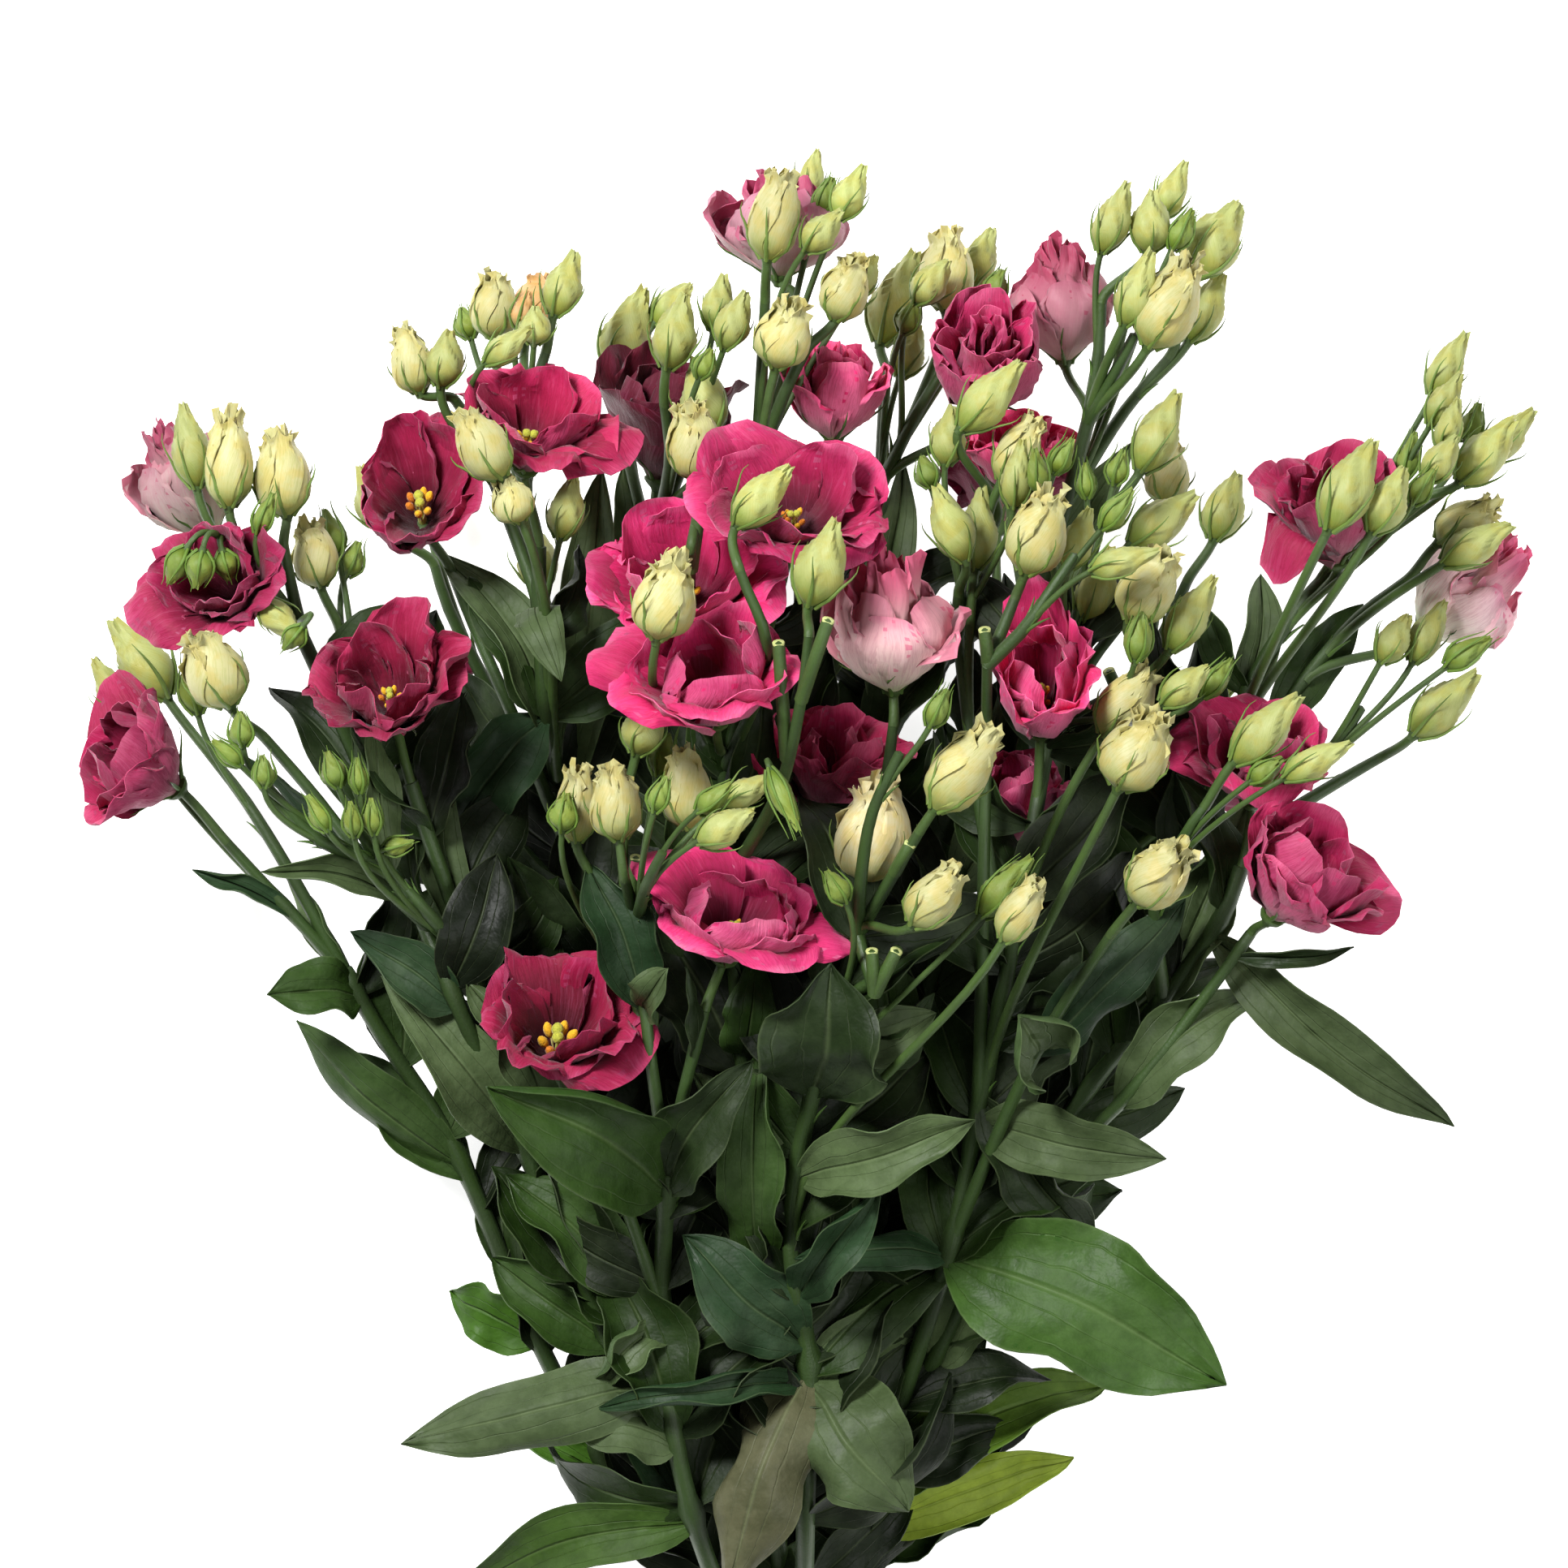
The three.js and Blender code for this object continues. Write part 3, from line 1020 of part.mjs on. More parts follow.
function pushApart(contacts) {
  const pushes = lifts.map(() => [0, 0]);
  for (const { a, b, height: need, sign } of contacts) {
    const missing = need - sign * (height(a) - height(b));
    if (missing <= 0) continue;
    const move = (b.rides.length ? 0.5 : 1) * missing * sign;
    for (const [point, way] of [[a, 1], [b, -1]]) {
      for (const [index, part] of point.rides) {
        pushes[index][0] += way * move * part;
        pushes[index][1] += part;
      }
    }
  }
  pushes.forEach(([sum, weight], index) => {
    if (weight > 0) lifts[index] += sum / Math.max(weight, 0.6);
  });
}

const contacts = listContacts(listItems());
for (let round = 0; round < ROUNDS; round += 1) pushApart(contacts);

// Parts of a stem

function lengthenEnds(points, grow) {
  const last = points.length - 1;
  const start = points[0].clone().sub(points[1]).setLength(grow);
  const end = points[last].clone().sub(points[last - 1]).setLength(grow);
  points[0] = points[0].clone().add(start);
  points[last] = points[last].clone().add(end);
}

// Share of the bud's length and radius over half its width, from the calyx up.
const BUD_SHAPES = {
  tight: [[0, 0.24], [0.3, 0.96], [0.62, 0.86], [1, 0]],
  frilled: [[0, 0.24], [0.36, 0.84], [0.74, 1.0], [1, 0.74]],
};

// The rings of a bud, or of a bloom's receptacle, as { at, radius, sides }.
function headRings(head) {
  const foot = settled(head.base);
  if (head.mouth) {
    const direction = settled(head.mouth).sub(foot).normalize();
    return [{ at: foot.addScaledVector(direction, -GAP), radius: CALYX_RADIUS, sides: PEDICEL_SIDES + 1 }];
  }
  const top = settled(head.tip);
  return BUD_SHAPES[head.kind].map(([share, girth]) => ({
    at: along(foot, top, share),
    radius: 0.5 * head.width * girth,
    sides: share === 0 ? PEDICEL_SIDES : BUD_SIDES,
  }));
}

function ringTube(rings, grow) {
  const points = rings.map(({ at }) => at);
  const radii = rings.map(({ radius }) => (radius === 0 ? 0 : radius + grow));
  if (grow > 0) lengthenEnds(points, radii[radii.length - 1] === 0 ? 2 * grow : grow);
  return tube(points, radii, rings.map(({ sides }) => sides));
}

function limbTube(limb, number, grow) {
  const sides = number === 0 ? STEM_SIDES : BRANCH_SIDES;
  const rings = limb.map((point) => ({ at: settled(point), radius: limbRadius(number, point, limb), sides }));
  if (limb.head) {
    for (const point of limb.head.stalk.slice(1, -1)) {
      rings.push({ at: settled(point), radius: PEDICEL_RADIUS, sides: PEDICEL_SIDES });
    }
    rings.push(...headRings(limb.head));
  }
  return ringTube(rings, grow);
}

function stalkTube(head, grow) {
  const rings = head.stalk.slice(0, -1)
    .map((point) => ({ at: settled(point), radius: PEDICEL_RADIUS, sides: PEDICEL_SIDES }));
  return ringTube([...rings, ...headRings(head)], grow);
}

// The rows of a leaf or petal with their normals, for the blade.
function gridRows(grid, halves) {
  return grid.map((row, j) => row.map((point, i) => {
    const at = (line) => line[Math.min(i, line.length - 1)];
    const near = at(grid[Math.max(j - 1, 0)]);
    const far = at(grid[Math.min(j + 1, grid.length - 1)]);
    const wide = row.length > 1 ? row : grid[j === 0 ? 1 : j - 1];
    const left = row.length > 1 ? wide[Math.max(i - 1, 0)] : wide[0];
    const right = row.length > 1 ? wide[Math.min(i + 1, wide.length - 1)] : wide[wide.length - 1];
    const normal = right.clone().sub(left).cross(far.clone().sub(near)).normalize();
    return { point, normal, half: halves[j][i] };
  }));
}

function leafBlade(rows, grow) {
  const grid = rows.map((row) => row.map(settled));
  if (grow > 0) {
    const [heel] = grid[0];
    heel.add(heel.clone().sub(grid[1][1]).setLength(2 * grow));
    for (const row of grid.filter(({ length }) => length === 3)) {
      const outwards = row[2].clone().sub(row[0]).setLength(1.5 * grow);
      row[0].sub(outwards);
      row[2].add(outwards);
    }
    const tip = grid[grid.length - 1][0];
    tip.add(tip.clone().sub(grid[grid.length - 2][1]).setLength(2 * grow));
  }
  const half = 0.5 * LEAF_THICKNESS + grow;
  return blade(gridRows(grid, grid.map((row) => (row.length === 1 ? [grow] : [grow, half, grow]))));
}

// Parts of a bloom

// One whorl of petals, joined in a tube at the foot: a closed body that is open at the mouth.
function corolla(frame, profile, width, { petals, spread, height: tall, foot, floor, turn, short }) {
  const vertices = [];
  const faces = [];
  const add = (place) => vertices.push(place) - 1;
  const step = (2 * Math.PI) / petals;
  const slope = profile[2][1] * tall * frame.length - profile[0][1] * frame.length;
  const run = 0.5 * width * spread * (profile[2][0] - profile[0][0]);
  const lean = Math.hypot(slope, run);
  const half = 0.5 * PETAL_THICKNESS;
  const double = (out, angle, up) => [1, -1].map((skin) => add(placeInBloom(
    frame, out + (skin * half * slope) / lean, angle, up - (skin * half * run) / lean)));
  const base = [];
  for (let k = 0; k < petals; k += 1) {
    base.push(add(placeInBloom(frame, foot.radius, turn + k * step, foot.height)));
  }
  const bottom = add(placeInBloom(frame, 0, 0, floor));
  const throat = [];
  const [throatOut, throatUp] = [0.5 * width * spread * profile[1][0], tall * frame.length * profile[1][1]];
  for (let k = 0; k < 2 * petals; k += 1) throat.push(double(throatOut, turn + 0.5 * k * step, throatUp));
  for (let k = 1; k + 1 < petals; k += 1) faces.push([base[0], base[k + 1], base[k]]);
  for (let k = 0; k < petals; k += 1) {
    const left = throat[(2 * k + 2 * petals - 1) % (2 * petals)];
    const middle = throat[2 * k];
    const right = throat[2 * k + 1];
    const next = (k + 1) % petals;
    const beyond = throat[(2 * k + 2) % (2 * petals)];
    faces.push([base[k], right[0], middle[0]]);
    faces.push([base[k], base[next], right[0]]);
    faces.push([base[next], beyond[0], right[0]]);
    faces.push([bottom, middle[1], right[1]], [bottom, right[1], beyond[1]]);
    const angle = turn + k * step;
    const fan = 0.5 * step - PETAL_NOTCH;
    const row = (index, shift, waves) => {
      const [out, up] = profile[index];
      const radius = 0.5 * width * spread * out;
      return [-1, 0, 1].map((across, n) => ({
        out: radius * (1 + PETAL_TWIST * across) + waves[n],
        angle: angle + across * fan * shift,
        up: tall * frame.length * up - (across === 0 ? 0 : waves[3]),
      }));
    };
    const wide = row(2, 1, [0, 0, 0, 0]);
    const margin = row(3, MARGIN_SHARE, [PETAL_FLARE, 0, -PETAL_FLARE, PETAL_SHOULDER * frame.length]);
    const single = (spot) => add(placeInBloom(frame, spot.out, spot.angle, spot.up));
    const [l3, m3, r3] = margin.map(single);
    const [l2, r2] = short ? [l3, r3] : [single(wide[0]), single(wide[2])];
    const m2 = short ? [m3, m3] : double(wide[1].out, wide[1].angle, wide[1].up);
    for (const skin of [0, 1]) {
      const [L, M, R] = [left[skin], middle[skin], right[skin]];
      const m = m2[skin];
      const flap = [[L, M, m], [L, m, l2], [M, R, m], [R, r2, m]];
      if (!short) flap.push([l2, m, l3], [m, m3, l3], [m, r2, r3], [m, r3, m3]);
      faces.push(...flap.map(([a, b, c]) => (skin === 0 ? [a, b, c] : [a, c, b])));
    }
    faces.push([left[0], l2, left[1]], [right[0], right[1], r2]);
  }
  return solidFrom(vertices, outward(vertices, faces));
}

function bloomSolid(bloom) {
  const frame = bloomFrame(bloom);
  const profile = PROFILES[bloom.form];
  const outer = corolla(frame, profile, bloom.width, {
    petals: OUTER_PETALS, spread: 1, height: 1, foot: { radius: CORE_RADIUS, height: 0 },
    floor: CORE_HEIGHT, turn: frame.turn, short: false,
  });
  if (UNDER_BLOOMS.includes(bloom.name)) return outer;
  const inner = corolla(frame, profile, bloom.width, {
    petals: INNER_PETALS[bloom.form], spread: INNER_SPREAD, height: INNER_HEIGHT[bloom.form], short: true,
    foot: { radius: 0.5 * CORE_RADIUS, height: 0.4 * CORE_HEIGHT },
    floor: CORE_HEIGHT + INNER_FLOOR, turn: frame.turn + Math.PI / OUTER_PETALS,
  });
  return outer.add(inner);
}

// The room that a bloom takes up, as one simple body.
function bloomRoom(bloom) {
  const frame = bloomFrame(bloom);
  const points = [];
  const radii = [];
  for (const [out, up] of [[0.1, -0.02], ...PROFILES[bloom.form].slice(1)]) {
    points.push(frame.foot.clone().addScaledVector(frame.axis, up * frame.length));
    radii.push(0.5 * bloom.width * out * (1 + PETAL_TWIST) + 2);
  }
  points.sort((a, b) => a.dot(frame.axis) - b.dot(frame.axis));
  return tube(points, radii, points.map(() => ROOM_SIDES));
}

// A ring of anthers, with the style and its stigma standing out of it.
const HEART_SHAPE = [[0, 1.0], [0.55, 4.2], [0.7, 1.2], [1, 2.4]];

function heartSolid(bloom) {
  const frame = bloomFrame(bloom);
  const [throatOut, throatUp] = PROFILES[bloom.form][1];
  const throat = throatUp * INNER_HEIGHT[bloom.form] * frame.length - HEART_FLOOR;
  const slope = Math.max(0, throat / (0.5 * bloom.width * INNER_SPREAD * throatOut));
  const low = HEART_FLOOR + slope * HEART_SHAPE[0][1] + 1.5 * GAP;
  const tall = HEART_HEIGHT * frame.length;
  const points = HEART_SHAPE.map(([share]) => placeInBloom(frame, 0, 0, low + share * (tall - low)));
  return tube(points, HEART_SHAPE.map(([, radius]) => radius), points.map(() => HEART_SIDES));
}

// A flat band round the necks of the stems, lying along the hull of their centres.
function tieGeometry() {
  const corners = [[-3, 0], [3, 0], [4, 1], [3, 2], [2, 3], [-2, 3], [-3, 2], [-4, 1]]
    .map(([column, row]) => new THREE.Vector2(...bundlePlace(column, row)));
  const loop = (distance) => corners.map((corner, k) => {
    const before = corners[(k + corners.length - 1) % corners.length];
    const after = corners[(k + 1) % corners.length];
    const normals = [corner.clone().sub(before), after.clone().sub(corner)]
      .map(({ x, y }) => new THREE.Vector2(y, -x).normalize());
    const [one, two] = normals;
    return corner.clone().addScaledVector(one.clone().add(two), distance / (1 + one.dot(two)));
  });
  const band = new THREE.Shape(loop(TIE_OUTER));
  band.holes.push(new THREE.Path(loop(TIE_INNER).reverse()));
  const geometry = new THREE.ExtrudeGeometry(band, { depth: TIE_WIDTH, bevelEnabled: false });
  geometry.translate(0, 0, -0.5 * TIE_WIDTH);
  geometry.rotateX(Math.PI / 2);
  return geometry;
}

// Joining and clearing

function boxOf(solid) {
  const { min, max } = solid.boundingBox();
  return new THREE.Box3(vector(min), vector(max));
}

function joined(solids) {
  return solids.reduce((sum, solid) => sum.add(solid));
}

function clearOf(solid, others) {
  const box = boxOf(solid);
  return others.filter((other) => other.box.intersectsBox(box))
    .reduce((rest, other) => rest.subtract(other.solid), solid);
}

function boxed(solids) {
  return solids.map((solid) => ({ solid, box: boxOf(solid) }));
}

// The largest body of a solid as a geometry. Loose scraps and sealed hollows are dropped.
function largestBody(solid) {
  const { vertProperties, triVerts, numProp } = solid.getMesh();
  const parent = Array.from({ length: vertProperties.length / numProp }, (_, i) => i);
  const root = (i) => {
    let at = i;
    while (parent[at] !== at) {
      parent[at] = parent[parent[at]];
      at = parent[at];
    }
    return at;
  };
  const corners = Array.from(triVerts);
  for (let k = 0; k < corners.length; k += 3) {
    parent[root(corners[k])] = root(corners[k + 1]);
    parent[root(corners[k + 1])] = root(corners[k + 2]);
  }
  const at = (i) => new THREE.Vector3().fromArray(vertProperties, i * numProp);
  const volumes = new Map();
  for (let k = 0; k < corners.length; k += 3) {
    const [a, b, c] = [corners[k], corners[k + 1], corners[k + 2]];
    const part = at(a).dot(at(b).cross(at(c))) / 6;
    volumes.set(root(a), (volumes.get(root(a)) || 0) + part);
  }
  const [largest] = [...volumes.entries()].sort((a, b) => b[1] - a[1])[0];
  const geometry = new THREE.BufferGeometry();
  const positions = [];
  const index = [];
  const renamed = new Map();
  corners.forEach((corner, k) => {
    if (root(corners[k - (k % 3)]) !== largest) return;
    if (!renamed.has(corner)) {
      renamed.set(corner, positions.length / 3);
      positions.push(...at(corner).toArray());
    }
    index.push(renamed.get(corner));
  });
  geometry.setAttribute('position', new THREE.Float32BufferAttribute(positions, 3));
  geometry.setIndex(index);
  return geometry;
}

function named(name, geometry, colour, roughness) {
  const material = new THREE.MeshStandardMaterial({ color: colour, roughness, metalness: 0 });
  const mesh = new THREE.Mesh(geometry, material);
  mesh.name = name;
  return mesh;
}

function woodPieces(stem, grow) {
  return [
    ...stem.limbs.map((limb, number) => limbTube(limb, number, grow)),
    ...[...stem.buds, ...blooms.filter((bloom) => bloom.stem === stem.name)]
      .filter((head) => !head.crowns).map((head) => stalkTube(head, grow)),
  ];
}

function underSurface() {
  const slab = new THREE.BoxGeometry(SLAB, SLAB, SLAB_DEPTH);
  slab.translate(0, 0, -0.5 * SLAB_DEPTH);
  slab.deleteAttribute('normal');
  slab.deleteAttribute('uv');
  const merged = mergeVertices(slab);
  const vertices = [];
  for (let i = 0; i < merged.attributes.position.count; i += 1) {
    vertices.push(new THREE.Vector3().fromBufferAttribute(merged.attributes.position, i));
  }
  const faces = [];
  for (let k = 0; k < merged.index.count; k += 3) {
    faces.push([merged.index.getX(k), merged.index.getX(k + 1), merged.index.getX(k + 2)]);
  }
  return solidFrom(vertices, faces);
}

const surface = boxed([underSurface()]);
const model = new THREE.Group();

const woodKept = stems.map((stem) => boxed(woodPieces(stem, CLEARANCE)));
const wood = stems.map((stem, number) => {
  return clearOf(joined(woodPieces(stem, 0)), woodKept.slice(0, number).flat());
});

const bloomKept = [];
for (const bloom of blooms) {
  const cleared = clearOf(bloomSolid(bloom), [...woodKept.flat(), ...bloomKept, ...surface]);
  const colour = bloom.form === 'pale' ? COLOURS.pale : COLOURS.bloom;
  model.add(named(bloom.name, largestBody(cleared), colour, 0.55));
  bloomKept.push(...boxed([bloomRoom(bloom)]));
}

for (const bloom of blooms.filter(({ name }) => OPEN_HEARTS.includes(name))) {
  const heart = clearOf(heartSolid(bloom), woodKept.flat());
  model.add(named(`${bloom.name}_stamens`, largestBody(heart), COLOURS.heart, 0.6));
}

const leafKept = [];
stems.forEach((stem, number) => {
  const others = [...woodKept.filter((_, k) => k !== number).flat(), ...bloomKept, ...leafKept, ...surface];
  const leaves = stem.leaves.map((leaf) => clearOf(leafBlade(leaf, 0), others));
  const whole = joined([clearOf(wood[number], surface), ...leaves]);
  model.add(named(stem.name, largestBody(whole), COLOURS.stem, 0.6));
  leafKept.push(...boxed(stem.leaves.map((leaf) => leafBlade(leaf, CLEARANCE))));
});

model.add(named('tie', tieGeometry(), COLOURS.tie, 0.8));

export default model;
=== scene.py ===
# Looks of a bunch of cut lisianthus, tied at the neck and laid down on its back.
# The tables are in millimetres, the scene in metres. X runs across the bunch, Y from the cut
# ends to the heads, Z up from the surface. The origin is under the middle of the tie.
import math

import bpy
import numpy as np
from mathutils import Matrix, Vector


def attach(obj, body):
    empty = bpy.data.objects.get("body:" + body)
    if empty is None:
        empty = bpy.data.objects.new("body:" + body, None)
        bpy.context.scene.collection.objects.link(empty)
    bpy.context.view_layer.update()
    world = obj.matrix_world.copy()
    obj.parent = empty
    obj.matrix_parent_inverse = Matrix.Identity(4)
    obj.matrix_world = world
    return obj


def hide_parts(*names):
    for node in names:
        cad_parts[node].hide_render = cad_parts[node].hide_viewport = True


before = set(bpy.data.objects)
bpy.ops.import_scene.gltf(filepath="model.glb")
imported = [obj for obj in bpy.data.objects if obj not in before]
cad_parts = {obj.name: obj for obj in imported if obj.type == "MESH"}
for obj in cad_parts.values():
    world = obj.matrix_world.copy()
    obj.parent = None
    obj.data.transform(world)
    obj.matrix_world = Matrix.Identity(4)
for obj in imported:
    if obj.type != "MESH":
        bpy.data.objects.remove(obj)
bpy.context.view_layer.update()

# Driving dimensions, the same as those of the solids
CUT_END = -130
CUT_END_STEP = 5
CUT_END_SPREAD = 1.8
GAP = 0.3
TIE_WIDTH = 8
TIE_INNER = 3.75
TIE_OUTER = 4.9
BUNDLE_STEP = 3.5
BUNDLE_RISE = 6.1
TIE_STRAIGHT = 7
STEM_RADIUS_AT_TIE = 3.4
STEM_RADIUS_AT_TOP = 2.4
STEM_TOP = 480
BRANCH_RADIUS = 2.4
BRANCH_TIP_RADIUS = 1.8
PEDICEL_RADIUS = 1.5
LEAF_THICKNESS = 1.3
PETAL_THICKNESS = 1.4
ROD_GAP = 0.8
BLOOM_STALK_RADIUS = 1.6
BUD_ROD = 0.4
BLOOM_ROD = 0.2
BLOOM_ROD_END = 0.8
REST_SHARE = 0.6
LEAST_WEIGHT = 0.6
ROUNDS = 400
SMALLEST_BUD = 14
SMALL_LEAF = 26
LEAF_SET_IN = 6
LEAF_EDGE = 0.96
LEAF_FOLD = 0.2
LEAF_WAVE = 0.16
STALK_BENDS_FROM = 24
STALK_BEND = 0.4
STALK_REACH = 12
STALK_REACH_STEP = 7
CROWN_NEAREST = 4
CROWN_FURTHEST = 60
CROWN_AHEAD = 0.35
OUTER_PETALS = 5
WHORL_TURN = 0.6
THICK_HEIGHTS = [62, 150]
THICK_SPREAD = 70
THICK_BELOW_END = 10
THICK_LENGTH = 60
THICK_WIDTH = 25
THICK_LEAN = 20
THICK_LEAN_SPREAD = 40
THICK_LOWEST = 8
THICK_DROP = 0.4
THICK_ROLL = 70
THICK_CURL = 0.1
GOLDEN = 0.618034
PROFILES = {
    "cup": [[0.08, 0.02], [0.42, 0.36], [0.78, 0.74], [1.0, 0.98]],
    "open": [[0.08, 0.02], [0.46, 0.44], [0.84, 0.78], [1.08, 0.74]],
    "pale": [[0.12, 0.02], [0.66, 0.3], [0.98, 0.7], [0.78, 1.04]],
    "rose": [[0.12, 0.02], [0.62, 0.3], [0.94, 0.72], [0.98, 1.0]],
}
LEAF_ROWS = [[0.2, 0.8, 0.7], [0.5, 1, -0.6], [0.78, 0.66, 0.7]]
SMALL_LEAF_ROWS = [[0.28, 0.95, 0.6], [0.68, 0.84, -0.6]]

